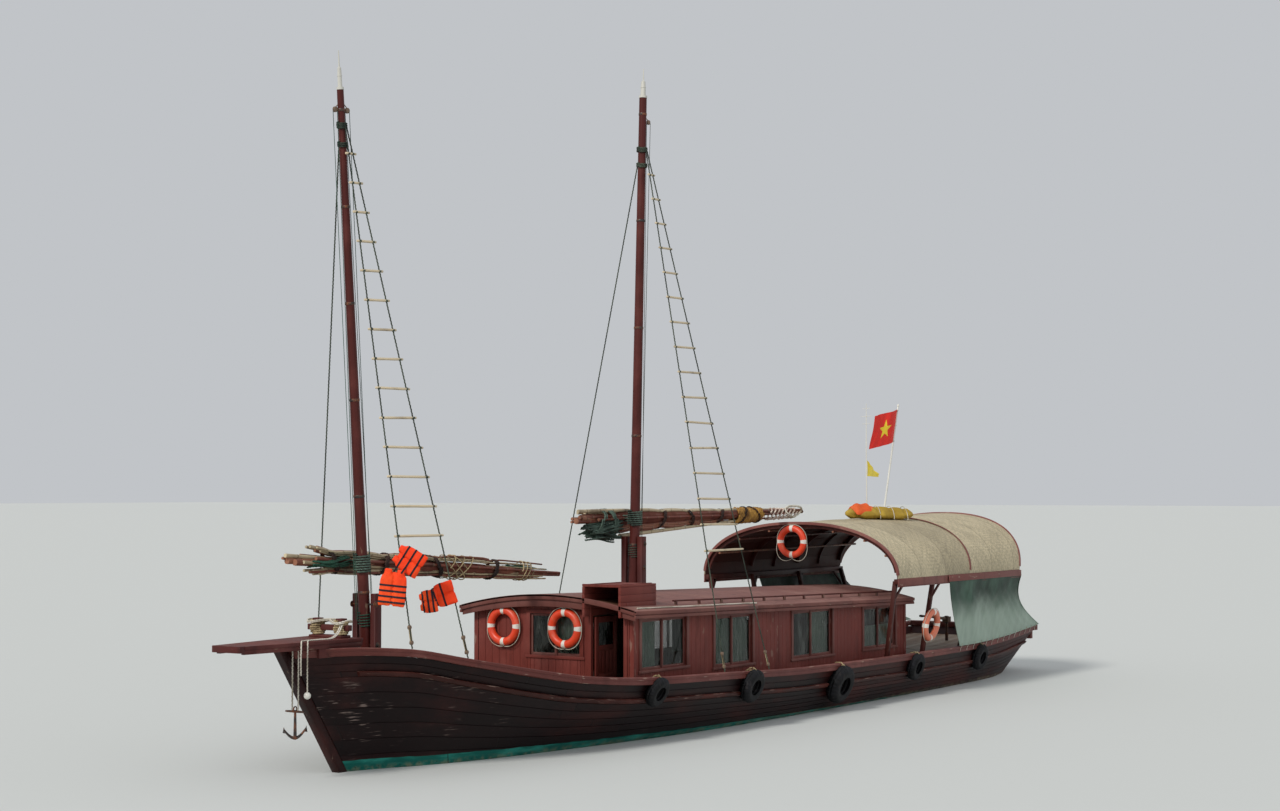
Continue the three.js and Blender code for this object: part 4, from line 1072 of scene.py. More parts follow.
@dataclass(frozen=True)
class Cane(Finish):
    """Bamboo poles with their rings. The first coordinate runs along a pole, the second tells poles apart."""

    name: str = "bamboo_poles"
    slot: str = "bamboo"
    honey: int = 0x8D5A3C
    grey: int = 0x9A8468
    joint: float = 0.42
    soot: int = 0x3B211A
    dust: int = 0xB0A083
    ring: int = 0x2E1C14

    def build(self, s: Shader) -> bpy.types.Material:
        """Gives each pole its tone, with pale dust under the rings and smoky patches."""
        along, across, _ = s.pattern()
        pole = across.floor()
        place = s.vector(*s.place())
        tone = s.chance(pole, 3.0, 1.0)
        run = (along / self.joint + tone * 0.7).fract()
        ring = (run - 0.5).size().ramp(0.462, 0.492)
        dust = run.ramp(0.2, 0.0) * 0.7
        fibre = s.noise(s.vector(along / 20.0, across * 1.2, pole), 60.0, 4.0)
        smoke = s.noise(place, 2.2, 5.0)
        base = s.mix(tone, self.honey, self.grey)
        shown = s.mix(smoke.ramp(0.45, 0.72) * 0.7, base, self.soot)
        shown = s.mix(dust * 0.3, shown, self.dust)
        shown = s.shade(s.mix(ring * 0.7, shown, self.ring), fibre * 0.4 + 0.78)
        return s.done(shown, smoke * 0.3 + 0.3, fibre * 0.3 + ring * 0.8, 0.002, Specular_IOR_Level=0.3)


@dataclass(frozen=True)
class Cloth(Finish):
    """Woven cloth or tarpaulin. The pattern is in metres, or on stuffed cloth follows its place."""

    name: str = "tarpaulin_grey_green"
    slot: str = "tarpaulin"
    colour: int = 0x466052
    second: int = 0x5F7C6C
    stain: int = 0x27362D
    thread: float = 0.004
    shine: float = 0.35
    drip: float = 0.5
    stuffed: bool = False
    foot: int | None = None

    def build(self, s: Shader) -> bpy.types.Material:
        """Weaves the threads, lets dirt run down the cloth and bleaches its foot."""
        x, y, z = s.place()
        u, v, _ = (x + y * 0.3, z + y * 0.7, None) if self.stuffed else s.pattern()
        warp = ((u * (tau / self.thread)).sine() * 0.5 + 0.5)
        weft = ((v * (tau / self.thread)).sine() * 0.5 + 0.5)
        weave = warp * 0.5 + weft * 0.5
        cloud = s.noise(s.vector(x, y, z), 1.3, 5.0)
        run = s.noise(s.vector(x * 3.6, y * 3.6, z * 0.35), 1.6, 5.0)
        speck = s.noise(s.vector(x, y, z), 24.0, 3.0)
        base = s.mix(cloud.ramp(0.36, 0.7), self.colour, self.second)
        shown = s.mix(run.ramp(0.48, 0.74) * self.drip, base, self.stain)
        shown = s.shade(shown, weave * 0.14 + speck * 0.24 + 0.8)
        if self.foot is not None:
            low = (z + (cloud - 0.5) * 0.9).ramp(2.15, 1.35)
            shown = s.mix(low * 0.85, shown, s.shade(self.foot, run * 0.5 + 0.72))
        return s.done(shown, cloud * 0.2 + 0.85 - self.shine, weave, 0.0008, Specular_IOR_Level=0.3)


@dataclass(frozen=True)
class Rubber(Finish):
    """Old tyre rubber, chalky on the tread, with salt and paint rubbed on."""

    name: str = "old_tyre_rubber"
    slot: str = "tyre_rubber"
    black: int = 0x09090B
    grey: int = 0x1C1C20
    rubbed: int = 0x5A4E4A

    def build(self, s: Shader) -> bpy.types.Material:
        """Greys the rubber and rubs hull paint onto it."""
        x, y, z = s.place()
        place = s.vector(x, y, z)
        cloud = s.noise(place, 4.0, 5.0)
        fine = s.noise(place, 60.0, 3.0)
        scrape = s.noise(s.vector(x, y, z * 0.2), 18.0, 5.0).ramp(0.56, 0.72)
        base = s.mix(cloud.ramp(0.38, 0.7), self.black, self.grey)
        shown = s.mix(scrape * 0.2, base, self.rubbed)
        return s.done(shown, cloud * 0.3 + 0.52, fine * 0.5 + scrape * 0.4, 0.0015, Specular_IOR_Level=0.25)


@dataclass(frozen=True)
class BuoyShell(Finish):
    """The lifebuoy's orange shell with four white bands. The first coordinate is the turn about the ring."""

    name: str = "lifebuoy_shell"
    slot: str = "orange_plastic"
    orange: int = 0xE0421F
    white: int = 0xE3DFD6
    faded: int = 0xC98A6A

    def build(self, s: Shader) -> bpy.types.Material:
        """Paints the bands with worn edges and a little dirt."""
        turn, _, _ = s.pattern()
        place = s.vector(*s.place())
        cloud = s.noise(place, 6.0, 4.0)
        ragged = (s.noise(place, 40.0, 3.0) - 0.5) * 0.006
        band = ((turn * 4.0 + 0.5).fract() - 0.5 + ragged).size().ramp(0.085, 0.078)
        fine = s.noise(place, 90.0, 3.0)
        base = s.mix(band, self.orange, self.white)
        faded = s.mix(cloud.ramp(0.5, 0.75) * 0.35, base, self.faded)
        return s.done(s.shade(faded, fine * 0.16 + 0.88), cloud * 0.25 + 0.28, fine, 0.0006)


@dataclass(frozen=True)
class Metal(Finish):
    """Bare metal with rust or tarnish."""

    name: str = "rusty_iron"
    slot: str = "dark_iron"
    bright: int = 0x4A4644
    rust: int = 0x6B3A22
    rusted: float = 0.6
    polish: float = 0.4
    fresh: int = 0x8A5230

    def build(self, s: Shader) -> bpy.types.Material:
        """Spreads the rust in scales over the metal."""
        place = s.vector(*s.place())
        scale = s.noise(place, 9.0, 6.0)
        fine = s.noise(place, 55.0, 4.0)
        rust = (scale * 0.7 + fine * 0.3).ramp(0.62 - self.rusted * 0.3, 0.78 - self.rusted * 0.22)
        shown = s.mix(rust, self.bright, s.mix(fine.ramp(0.35, 0.65), self.rust, self.fresh))
        return s.done(shown, rust * 0.4 + 0.55 - self.polish * 0.3, rust * 0.7 + fine * 0.4, 0.002,
                      Metallic=1.0 - rust * 0.9)


@dataclass(frozen=True)
class Glass(Finish):
    """Window glass with salt and finger marks, in which the cabin shows dimly."""

    name: str = "cabin_glass"
    slot: str = "window_glass"
    tint: int = 0x0E1614
    salt: int = 0x8B9188

    def build(self, s: Shader) -> bpy.types.Material:
        """Lets light through, less where the salt lies."""
        x, y, z = s.place()
        salt = s.noise(s.vector(x, y, z * 0.4), 7.0, 5.0).ramp(0.45, 0.8)
        haze = s.noise(s.vector(x, y, z), 1.6, 3.0)
        shown = s.mix(salt * 0.4, self.tint, self.salt)
        return s.done(shown, salt * 0.22 + 0.05, haze, 0.0008, Alpha=salt * 0.22 + 0.36)


@dataclass(frozen=True)
class GlossPaint(Finish):
    """Oil paint or lacquer on metal or a planed spar, chipped here and there."""

    name: str = "white_gloss_paint"
    slot: str = "white_paint"
    colour: int = 0xD9D6CC
    under: int = 0x6A4A36
    chips: float = 0.4

    def build(self, s: Shader) -> bpy.types.Material:
        """Chips the paint and dirties it in runs."""
        x, y, z = s.place()
        place = s.vector(x, y, z)
        chip = s.noise(place, 22.0, 5.0).ramp(0.72 - self.chips * 0.14, 0.76 - self.chips * 0.12)
        run = s.noise(s.vector(x * 6.0, y * 6.0, z * 0.4), 2.0, 4.0).ramp(0.5, 0.8)
        fine = s.noise(place, 70.0, 3.0)
        shown = s.mix(chip * 0.9, s.shade(self.colour, fine * 0.14 + 0.9 - run * 0.22), self.under)
        return s.done(shown, chip * 0.4 + run * 0.2 + 0.32, fine * 0.3 - chip, 0.0012)


@dataclass(frozen=True)
class StarFlag(Finish):
    """Red bunting with one yellow five-pointed star in the middle. The pattern is in flag heights."""

    name: str = "red_flag_with_star"
    slot: str = "flag_cloth"
    red: int = 0xE0281A
    yellow: int = 0xF2D030
    middle: tuple[float, float] = (0.72, 0.5)
    reach: float = 0.3

    def build(self, s: Shader) -> bpy.types.Material:
        """Draws the star as five points about its middle and weaves the cloth."""
        u, v, _ = s.pattern()
        dx, dy = u - self.middle[0], v - self.middle[1]
        turn = s.maths("ARCTAN2", dx, dy)
        wedge = tau / 5
        folded = s.maths("PINGPONG", turn + tau, wedge / 2)
        far = s.maths("SQRT", dx * dx + dy * dy)
        inner = self.reach * 0.382
        edge = (self.reach * inner * sin(wedge / 2)) / (
            (folded.sine() * (self.reach - inner * cos(wedge / 2)))
            + (s.maths("COSINE", folded) * (inner * sin(wedge / 2))))
        star = (edge - far).ramp(-0.006, 0.006)
        x, y, z = s.place()
        cloud = s.noise(s.vector(x, y, z), 5.0, 4.0)
        weave = ((u * 900.0).sine() + (v * 900.0).sine()) * 0.25 + 0.5
        shown = s.mix(star, self.red, self.yellow)
        return s.done(s.shade(shown, cloud * 0.3 + weave * 0.06 + 0.8), 0.78, weave, 0.0006)


HULL = HullPaint()
TRIM = AgedPaint("trim_painted_timber", "trim_paint", 0x4E2320, 0x6E403A, 0x8C7262, 0.35, 0.45)
WALE = AgedPaint("wale_dark_red", "trim_paint", 0x38150F, 0x62342D, 0x9C8276, 0.42, 0.5)
RAIL = AgedPaint("cap_rail_worn", "trim_paint", 0x62332E, 0x845650, 0xA58A7C, 0.42, 0.4)
FRAME_TIMBER = AgedPaint("awning_frame_timber", "trim_paint", 0x45201B, 0x633832, 0x7C6656, 0.3, 0.4)
FASCIA = AgedPaint("awning_fascia_brown", "trim_paint", 0x74443E, 0x8C5E55, 0xA08A7A, 0.25, 0.35)
CABIN = AgedPaint("cabin_red_brown", "cabin_paint", 0x6E322B, 0x844A42, 0x8A6C60, 0.02, 0.30)
CASING = AgedPaint("window_casing", "cabin_paint", 0x6A3F39, 0x8A625A, 0xA28C80, 0.2, 0.4)
ROOF_TOP = AgedPaint("roof_boards_faded", "roof_paint", 0x7A504A, 0x8E6860, 0x9A8474, 0.14, 0.3)
ROOF_LIP = AgedPaint("roof_edge_boards", "roof_paint", 0x6A3F39, 0x84584F, 0x9A8476, 0.2, 0.35)
MAST = AgedPaint("mast_red_brown", "mast_paint", 0x4C1F1B, 0x66332D, 0x8C7460, 0.3, 0.5)
STEM_PAINT = AgedPaint("stem_and_keel_paint", "hull_paint", 0x260B08, 0x4A211D, 0x7A6658, 0.3, 0.45,
                       Grain.UPRIGHT)
DECK = BarePlanks()
RUNGS = BarePlanks("bare_rungs", "rope", 0xB09C7C, 0xD6C6A8)
OLD_WOOD = BarePlanks("old_bare_wood", "deck_wood", 0x5E4434, 0x7C6856)
LINING = AgedPaint("cabin_lining", "cabin_paint", 0x6A4636, 0x82604A, 0x94806A, 0.2, 0.4)
MAT = WovenMat()
MAT_INSIDE = AgedPaint("awning_lining_boards", "trim_paint", 0x421C15, 0x542C25, 0x6C5446, 0.2, 0.3)
HEMP = Fibre()
GREEN_ROPE = Fibre("green_rope", "rope", 0x2E5A47, 0x1A3026)
DARK_ROPE = Fibre("weathered_dark_rope", "rope", 0x4A5244, 0x262E26)
MOSS_ROPE = Fibre("moss_green_rope", "rope", 0x566A5E, 0x26342C)
STRAW_WRAP = Fibre("straw_coloured_wrapping", "bamboo", 0xB98A3E, 0x6E4A22)
PALE_WRAP = Fibre("pale_cloth_wrapping", "bamboo", 0xD9C8B8, 0xA08474)
WHITE_ROPE = Fibre("white_rope", "rope", 0xD8D2C4, 0xA59B88)
TARRED_ROPE = Fibre("tarred_lashing", "bamboo", 0x3E2820, 0x201310)
CANE = Cane("red_brown_poles", "bamboo", 0x6A3226, 0x9A6A52)
PALE_CANE = Cane("pale_bleached_poles", "bamboo", 0x9A8566, 0xCFC2A2)
SAIL = Cloth("furled_sail_cloth", "bamboo", 0x5C2C22, 0x7A4838, 0x341812, 0.005, 0.1, 0.6, True)
TARP = Cloth(colour=0x24362C, second=0x4A6254, stain=0x1C281F, foot=0xA6B7A8)
CURTAIN = Cloth("curtain_pale_green", "window_glass", 0x86A08C, 0xA2B5A2, 0x688070, 0.003, 0.15, 0.2)
ORANGE_SHEET = Cloth("orange_cover_cloth", "orange_fabric", 0xD9541E, 0xE0703A, 0x8C3A1A, 0.004, 0.3, 0.3, True)
YELLOW_SHEET = Cloth("mustard_cover_cloth", "orange_fabric", 0x9C7E26, 0xB89A3C, 0x5E4C1C, 0.004, 0.25, 0.4,
                     True)
JACKET = Cloth("life_jacket_cloth", "orange_fabric", 0xF23C0C, 0xF65A1E, 0xB83208, 0.004, 0.25, 0.15, True)
WEBBING = Cloth("jacket_straps", "orange_fabric", 0x1E1A20, 0x2C2830, 0x121014, 0.003, 0.1, 0.2)
PENNANT_CLOTH = Cloth("yellow_pennant", "flag_cloth", 0xF6D62E, 0xF9E264, 0xC09A24, 0.004, 0.2, 0.1)
RUBBER = Rubber()
BUOY = BuoyShell()
FADED_BUOY = BuoyShell(name="lifebuoy_shell_faded", orange=0xD8785A, white=0xEDE7DC)
IRON = Metal()
BRONZE = Metal("dull_bronze", "bronze", 0xA87B3C, 0x4E5A3C, 0.35, 0.7)
ENGINE_PAINT = GlossPaint("engine_grey_green", "dark_iron", 0x3F5A50, 0x3A3028, 0.6)
GLASS = Glass()
WHITE = GlossPaint()
WHITE_TUBE = GlossPaint("white_mast_cap", "mast_paint", 0xC9C6BC, 0x6E5A48, 0.5)
FLAG = StarFlag()


# The boat's own lines


@dataclass(frozen=True)
class Station:
    """One cross-section of the hull."""

    rail_x: float
    lean: float
    water_half: float
    rail_half: float
    rail_z: float
    keel_z: float
    fullness: float
    flare: float
    keel_half = 0.08

    def half(self, z: float) -> float:
        """Half the beam at a height."""
        if z >= 0:
            return self.water_half + (self.rail_half - self.water_half) * (z / self.rail_z) ** self.flare
        up = min(max(z / self.keel_z, 0.0), 1.0)
        return self.keel_half + (self.water_half - self.keel_half) * (1 - up ** self.fullness) ** 0.74

    def x(self, z: float) -> float:
        """How far forward the section stands at a height."""
        return self.rail_x + self.lean * (z - self.rail_z)


STATIONS = [
    Station(12.37, 0.69, 0.081, 0.090, 1.980, -0.45, 1.10, 1.00),
    Station(11.60, 0.62, 0.330, 0.620, 1.995, -0.62, 1.15, 1.20),
    Station(10.80, 0.50, 0.590, 1.080, 1.950, -0.72, 1.25, 1.15),
    Station(9.80, 0.36, 0.830, 1.480, 1.760, -0.78, 1.40, 1.10),
    Station(8.60, 0.22, 1.070, 1.840, 1.530, -0.82, 1.60, 1.00),
    Station(7.20, 0.10, 1.290, 2.080, 1.310, -0.84, 1.90, 0.90),
    Station(5.60, 0.00, 1.520, 2.240, 1.180, -0.85, 2.10, 0.75),
    Station(3.00, 0.00, 1.820, 2.340, 1.090, -0.85, 2.20, 0.65),
    Station(0.00, 0.00, 1.900, 2.350, 0.980, -0.85, 2.20, 0.60),
    Station(-3.00, 0.00, 1.900, 2.340, 0.950, -0.85, 2.20, 0.60),
    Station(-5.80, 0.00, 1.880, 2.250, 0.930, -0.80, 2.20, 0.65),
    Station(-8.20, -0.15, 1.830, 2.110, 0.920, -0.62, 2.10, 0.75),
    Station(-10.40, -0.50, 1.740, 1.950, 0.970, -0.33, 2.00, 0.90),
    Station(-12.00, -0.80, 1.500, 1.810, 1.050, -0.13, 1.80, 1.00),
    Station(-13.00, -1.09, 1.300, 1.700, 1.100, -0.09, 1.70, 1.00),
]


@dataclass(frozen=True)
class Lines:
    """The hull's form. A section is named by how far forward it meets the rail."""

    stations: tuple[Station, ...] = tuple(STATIONS)
    deck_drop: float = 0.300
    cap_height: float = 0.130
    wale_low: float = 0.465
    wale_high: float = 0.375

    def at(self, t: float) -> Station:
        """The section between stations, on smooth curves through them.

        Args:
            t: how far forward the section meets the rail.

        Returns:
            The section.
        """
        rows = self.stations
        last = len(rows) - 2
        i = next((k for k in range(last + 1) if rows[k + 1].rail_x <= t), last)
        a, b = rows[i], rows[i + 1]
        u = (a.rail_x - t) / (a.rail_x - b.rail_x)
        found = []
        for key in ("lean", "water_half", "rail_half", "rail_z", "keel_z", "fullness", "flare"):
            found.append(self._curve(i, u, key))
        return Station(t, *found)

    def _slope(self, k: int, key: str) -> float:
        """The curve's slope at a station, flat where its neighbours lie on one side."""
        rows = self.stations
        if k in (0, len(rows) - 1):
            j = min(max(k, 1), len(rows) - 1)
            return (getattr(rows[j], key) - getattr(rows[j - 1], key)) / (rows[j].rail_x - rows[j - 1].rail_x)
        before = rows[k].rail_x - rows[k - 1].rail_x
        after = rows[k + 1].rail_x - rows[k].rail_x
        left = (getattr(rows[k], key) - getattr(rows[k - 1], key)) / before
        right = (getattr(rows[k + 1], key) - getattr(rows[k], key)) / after
        if left * right <= 0:
            return 0.0
        wide, near = 2 * after + before, after + 2 * before
        return (wide + near) / (wide / left + near / right)

    def _curve(self, i: int, u: float, key: str) -> float:
        """A value at a part of the way from a station to the next."""
        a, b = self.stations[i], self.stations[i + 1]
        step = b.rail_x - a.rail_x
        p, q = getattr(a, key), getattr(b, key)
        m, n = self._slope(i, key) * step, self._slope(i + 1, key) * step
        return ((2 * u ** 3 - 3 * u ** 2 + 1) * p + (u ** 3 - 2 * u ** 2 + u) * m
                + (3 * u ** 2 - 2 * u ** 3) * q + (u ** 3 - u ** 2) * n)

    def section_at(self, x: float, drop: float = 0.0) -> Station:
        """The section whose point at a drop below the rail lies at x."""
        t = x
        for _ in range(8):
            section = self.at(t)
            t += x - section.x(section.rail_z - drop)
        return self.at(t)

    def side(self, x: float, z: float) -> float:
        """Half the beam at a place on the side."""
        t = x
        for _ in range(8):
            t += x - self.at(t).x(z)
        return self.at(t).half(z)

    def rail_z(self, x: float) -> float:
        """The rail's height."""
        return self.at(x).rail_z

    def deck_z(self, x: float) -> float:
        """The deck's height."""
        return self.section_at(x, self.deck_drop).rail_z - self.deck_drop

    def spot(self, t: float, z: float, out: float = 0.0, side: int = 1) -> Vector:
        """A point on a section's side, moved outwards."""
        section = self.at(t)
        return Vector((section.x(z), side * (section.half(z) + out), z))


LINES = Lines()


@dataclass
class Hull:
    """The planked shell with its deck, bulwarks, keel and stem."""

    lower_strakes: int = 6
    middle_strakes: int = 6
    upper_strakes: int = 2
    seam: float = 0.006
    seam_depth: float = 0.010
    fore: float = 12.37
    aft: float = -13.0
    deck_board: float = 0.17
    solid_bow: float = 11.5
    solid_stern: float = -12.905
    well: tuple[float, float] = (5.2, -5.35)
    well_half: float = 1.6
    well_floor: float = 0.2
    deck_bed: float = 0.05
    bulwark: float = 0.07
    decks: tuple[tuple[float, float], ...] = ((11.5, 5.36), (5.36, -5.5), (-5.5, -12.75))
    rib: float = 0.032

    def sections(self) -> list[float]:
        """Where the shell's sections meet the rail, close together at the ends."""
        places = steps(self.fore, 10.4, 16) + steps(10.25, -10.4, 92) + steps(-10.55, self.aft, 16)
        for edge in (self.solid_bow, *self.well, self.solid_stern):
            places += [edge + 0.001, edge - 0.001]
        return sorted(set(places), reverse=True)

    def profile(self, section: Station) -> list[tuple[float, float, float]]:
        """Height, step inwards and plank number up one side of a section, from keel to rail."""
        top = section.rail_z - LINES.cap_height - GAP
        wale_low, wale_high = section.rail_z - LINES.wale_low, section.rail_z - LINES.wale_high
        rows = []
        edges = [section.keel_z * (1 - (i / self.lower_strakes) ** 1.25) for i in range(self.lower_strakes)]
        edges += steps(0.0, wale_low, self.middle_strakes + 1)
        edges += steps(wale_high, top, self.upper_strakes + 1)
        count = len(edges) - 1
        for k in range(count):
            low, high = edges[k], edges[k + 1]
            gap = min(self.seam, (high - low) * 0.2)
            rows.append((low + gap * 0.5, self.seam_depth, k + 0.001))
            rows.append((low + gap, 0.0, k + 0.03))
            rows.append((blend(low, high, 0.5), -0.001, k + 0.5))
            rows.append((high - gap, 0.0, k + 0.97))
            rows.append((high - gap * 0.5, self.seam_depth, k + 0.999))
        return rows

    def shell(self) -> None:
        """Lays the planks of both sides and closes the transom, as one shell with the deck's bed inside."""
        for name, side in SIDES.items():
            draft = Draft()
            rows, along = [], []
            across = None
            for t in self.sections():
                section = LINES.at(t)
                profile = self.profile(section)
                thin = min(1.0, max(0.15, (12.45 - t) / 0.8))
                row = [LINES.spot(t, z, -inward * thin - 0.001, side) for z, inward, _ in profile]
                inner = self.inside(section, side, t)
                rows.append(row + inner)
                along.append(-t)
                across = [number for *_, number in profile] + [20.2 + i * 0.3 for i in range(len(inner) + 1)]
            draft.solid(rows, along, across)
            draft.piece(f"hull_planking_{name}", HULL, replaces=["hull", f"bulwark_{name}"], sharp=28)

    def inside(self, section: Station, side: int, t: float) -> list[Vector]:
        """The shell's inner side, from the planking's top down to the middle line."""
        top = section.rail_z - LINES.cap_height - GAP
        floor = section.rail_z - LINES.deck_drop - self.deck_bed
        solid = t > self.solid_bow or t < self.solid_stern
        well = self.well_floor if self.well[1] < t < self.well[0] else floor
        wall = section.rail_half if solid else self.bulwark
        edge = min(self.well_half, max(0.0, section.half(floor) - wall))
        points = [(max(0.0, section.half(top) - wall), top), (max(0.0, section.half(floor) - wall), floor),
                  (edge, floor), (edge, well), (0.0, well), (0.0, section.keel_z)]
        return [Vector((section.x(z), side * y, z)) for y, z in points]

    def build(self) -> None:
        """Builds and dresses the hull."""
        self.shell()
        self.deck()
        self.ribs()
        for name, finish in (("keel", STEM_PAINT), ("stem", STEM_PAINT)):
            rounded(name, finish, bevel=0.014)
        self.transom()

    def deck(self) -> None:
        """Lays fore-and-aft planks on the fore and after decks and beside the cabin."""
        draft = Draft()
        board = self.deck_board
        count = int(2.2 / board)
        for k in range(-count, count + 1):
            y = k * board
            for fore, aft in self.decks:
                beside = abs(y) > self.well_half + board * 0.5
                if (fore, aft) == self.decks[1] and not beside:
                    continue
                self._plank(draft, y, fore, aft, k + 40)
        draft.piece("deck_planks", DECK, replaces=["deck"], sharp=30)

    def _plank(self, draft: Draft, y: float, fore: float, aft: float, mark: int) -> None:
        """One deck plank, cut off where it meets the side."""
        half = self.deck_board / 2 - 0.003
        rows, along = [], []
        for x in steps(fore, aft, max(4, int((fore - aft) / 0.5))):
            section = LINES.section_at(x, LINES.deck_drop)
            limit = section.half(section.rail_z - LINES.deck_drop) - 0.075
            low, high = max(y - half, -limit), min(y + half, limit)
            if high - low < 0.03:
                if rows:
                    break
                continue
            z = section.rail_z - LINES.deck_drop + 0.006 * cos(y * 0.6)
            rows.append([Vector((x, low, z - 0.03)), Vector((x, low, z - 0.002)), Vector((x, low + 0.003, z)),
                         Vector((x, high - 0.003, z)), Vector((x, high, z - 0.002)),
                         Vector((x, high, z - 0.03))])
            along.append(x)
        if len(rows) > 1:
            draft.solid(rows, along, [mark + f for f in (0.01, 0.03, 0.05, 0.95, 0.97, 0.985, 0.99)])

    def ribs(self) -> None:
        """Stands rib heads against the inside of the bulwarks, by Geometry Nodes."""
        shape = Draft()
        shape.block((-0.035, -0.03, 0.0), (0.035, 0.03, 1.0))
        marks = []
        for x in steps(10.9, -12.2, 50):
            section = LINES.section_at(x, 0.22)
            base = section.rail_z - LINES.deck_drop
            for side in SIDES.values():
                y = side * (section.half(base + 0.08) - self.bulwark - self.rib)
                marks.append(Mark(Vector((x, y, base)), Euler((0, 0, 0)), (1.0, 1.0, 0.165)))
        REPEATER.spread("bulwark_ribs", shape, marks, TRIM, size_spread=0.03, turn_spread=0.03, seed=4)

    def transom(self) -> None:
        """Planks the raked transom below the stern rail."""
        draft = Draft()
        section = LINES.at(self.aft)
        edges = steps(-0.08, section.rail_z - 0.14, 7)
        for k, (low, high) in enumerate(pairwise(edges)):
            rows = []
            for part in steps(-1.0, 1.0, 17):
                row = []
                for z, out in ((low + 0.004, 0.004), (low + 0.010, 0.013), (high - 0.010, 0.013),
                               (high - 0.004, 0.004)):
                    y = part * (section.half(z) - 0.004)
                    x = section.x(z) - out + 0.016
                    row.append(Vector((x, y, z)))
                back = [Vector((row[3].x + 0.05, row[3].y, row[3].z)),
                        Vector((row[0].x + 0.05, row[0].y, row[0].z))]
                rows.append(row + back)
            draft.solid(rows, [r[0].y for r in rows],
                        [30 + k + f for f in (0.02, 0.06, 0.94, 0.98, 0.985, 0.99, 0.995)])
        draft.piece("transom_planks", HULL, sharp=25)


@dataclass
class Rails:
    """Cap rails, wales, rubbing strips and the stern rail."""

    outside: float = 0.025
    under_platform: float = 1.9945
    stern_aft: float = -13.0
    stern_fore: float = -12.75

    def build(self) -> None:
        """Builds and dresses the rails."""
        for name, side in SIDES.items():
            self.cap(name, side)
            self.wale(name, side)
        self.stern()

    def _run(self, side: int, places: Sequence[float], outline: Callable[[Station], list[tuple[float, float]]],
             draft: Draft, marks: Sequence[float]) -> None:
        """Carries a section of (out from the rail's side, height) pairs along the rail."""
        rows = []
        for t in places:
            section = LINES.at(t)
            rows.append([Vector((section.x(z), side * y, z)) for y, z in outline(section)])
        draft.solid(rows, [-t for t in places], list(marks))

    def cap(self, name: str, side: int) -> None:
        """The cap rail: a thick rounded board with a bead under its outer lip, in scarfed lengths."""
        draft = Draft()
        joints = [12.352, 7.4, 2.6, -2.2, -7.0, -12.748]

        def outline(s: Station) -> list[tuple[float, float]]:
            """The rail's section."""
            o, top = s.rail_half + self.outside, min(s.rail_z, self.under_platform)
            i = max(s.rail_half - 0.115, 0.002)
            low = top - LINES.cap_height
            return [(o - 0.012, low), (o - 0.004, low + 0.012), (o - 0.010, top - 0.062), (o, top - 0.052),
                    (o, top - 0.014), (o - 0.014, top - 0.001), (i + 0.014, top - 0.001), (i, top - 0.014),
                    (i, top - 0.05), (i + 0.014, top - 0.056), (i + 0.014, low)]

        for k, (fore, aft) in enumerate(pairwise(joints)):
            places = steps(fore - 0.002, aft + 0.002, 34)
            self._run(side, places, outline, draft, [k * 1.7 + i / 11 for i in range(12)])
        draft.piece(f"cap_rail_boards_{name}", RAIL, replaces=[f"cap_rail_{name}"], sharp=32)

    def wale(self, name: str, side: int) -> None:
        """The wale: a rounded rubbing timber."""
        draft = Draft()

        def outline(s: Station) -> list[tuple[float, float]]:
            """The wale's section."""
            low, high = s.rail_z - LINES.wale_low, s.rail_z - LINES.wale_high
            a, b = s.half(low), s.half(high)
            return [(a - 0.02, low), (a + 0.030, low + 0.004), (a + 0.048, low + 0.018),
                    (blend(a, b, 0.5) + 0.0545, low + 0.045),
                    (b + 0.046, high - 0.018), (b + 0.028, high - 0.004), (b - 0.02, high)]

        self._run(side, steps(11.59, -12.99, 150), outline, draft, [i / 7 for i in range(8)])
        draft.piece(f"wale_timber_{name}", WALE, replaces=[f"wale_{name}"], sharp=40)

    def stern(self) -> None:
        """The stern rail: two boards side by side on the transom, with rounded edges."""
        draft = Draft()
        section = LINES.at(self.stern_aft)
        half = section.rail_half + self.outside
        top = section.rail_z
        middle = (self.stern_aft + self.stern_fore) / 2
        draft.block((self.stern_aft, -half, top - 0.13), (middle - 0.003, half, top), 0.2)
        draft.block((middle + 0.003, -half, top - 0.13), (self.stern_fore, half, top), 2.4)
        draft.block((-12.93, -1.62, top - 0.34), (-12.80, 1.62, top - 0.131), 3.9)
        draft.piece("stern_rail_boards", RAIL, replaces=["stern_rail"], bevel=0.012)


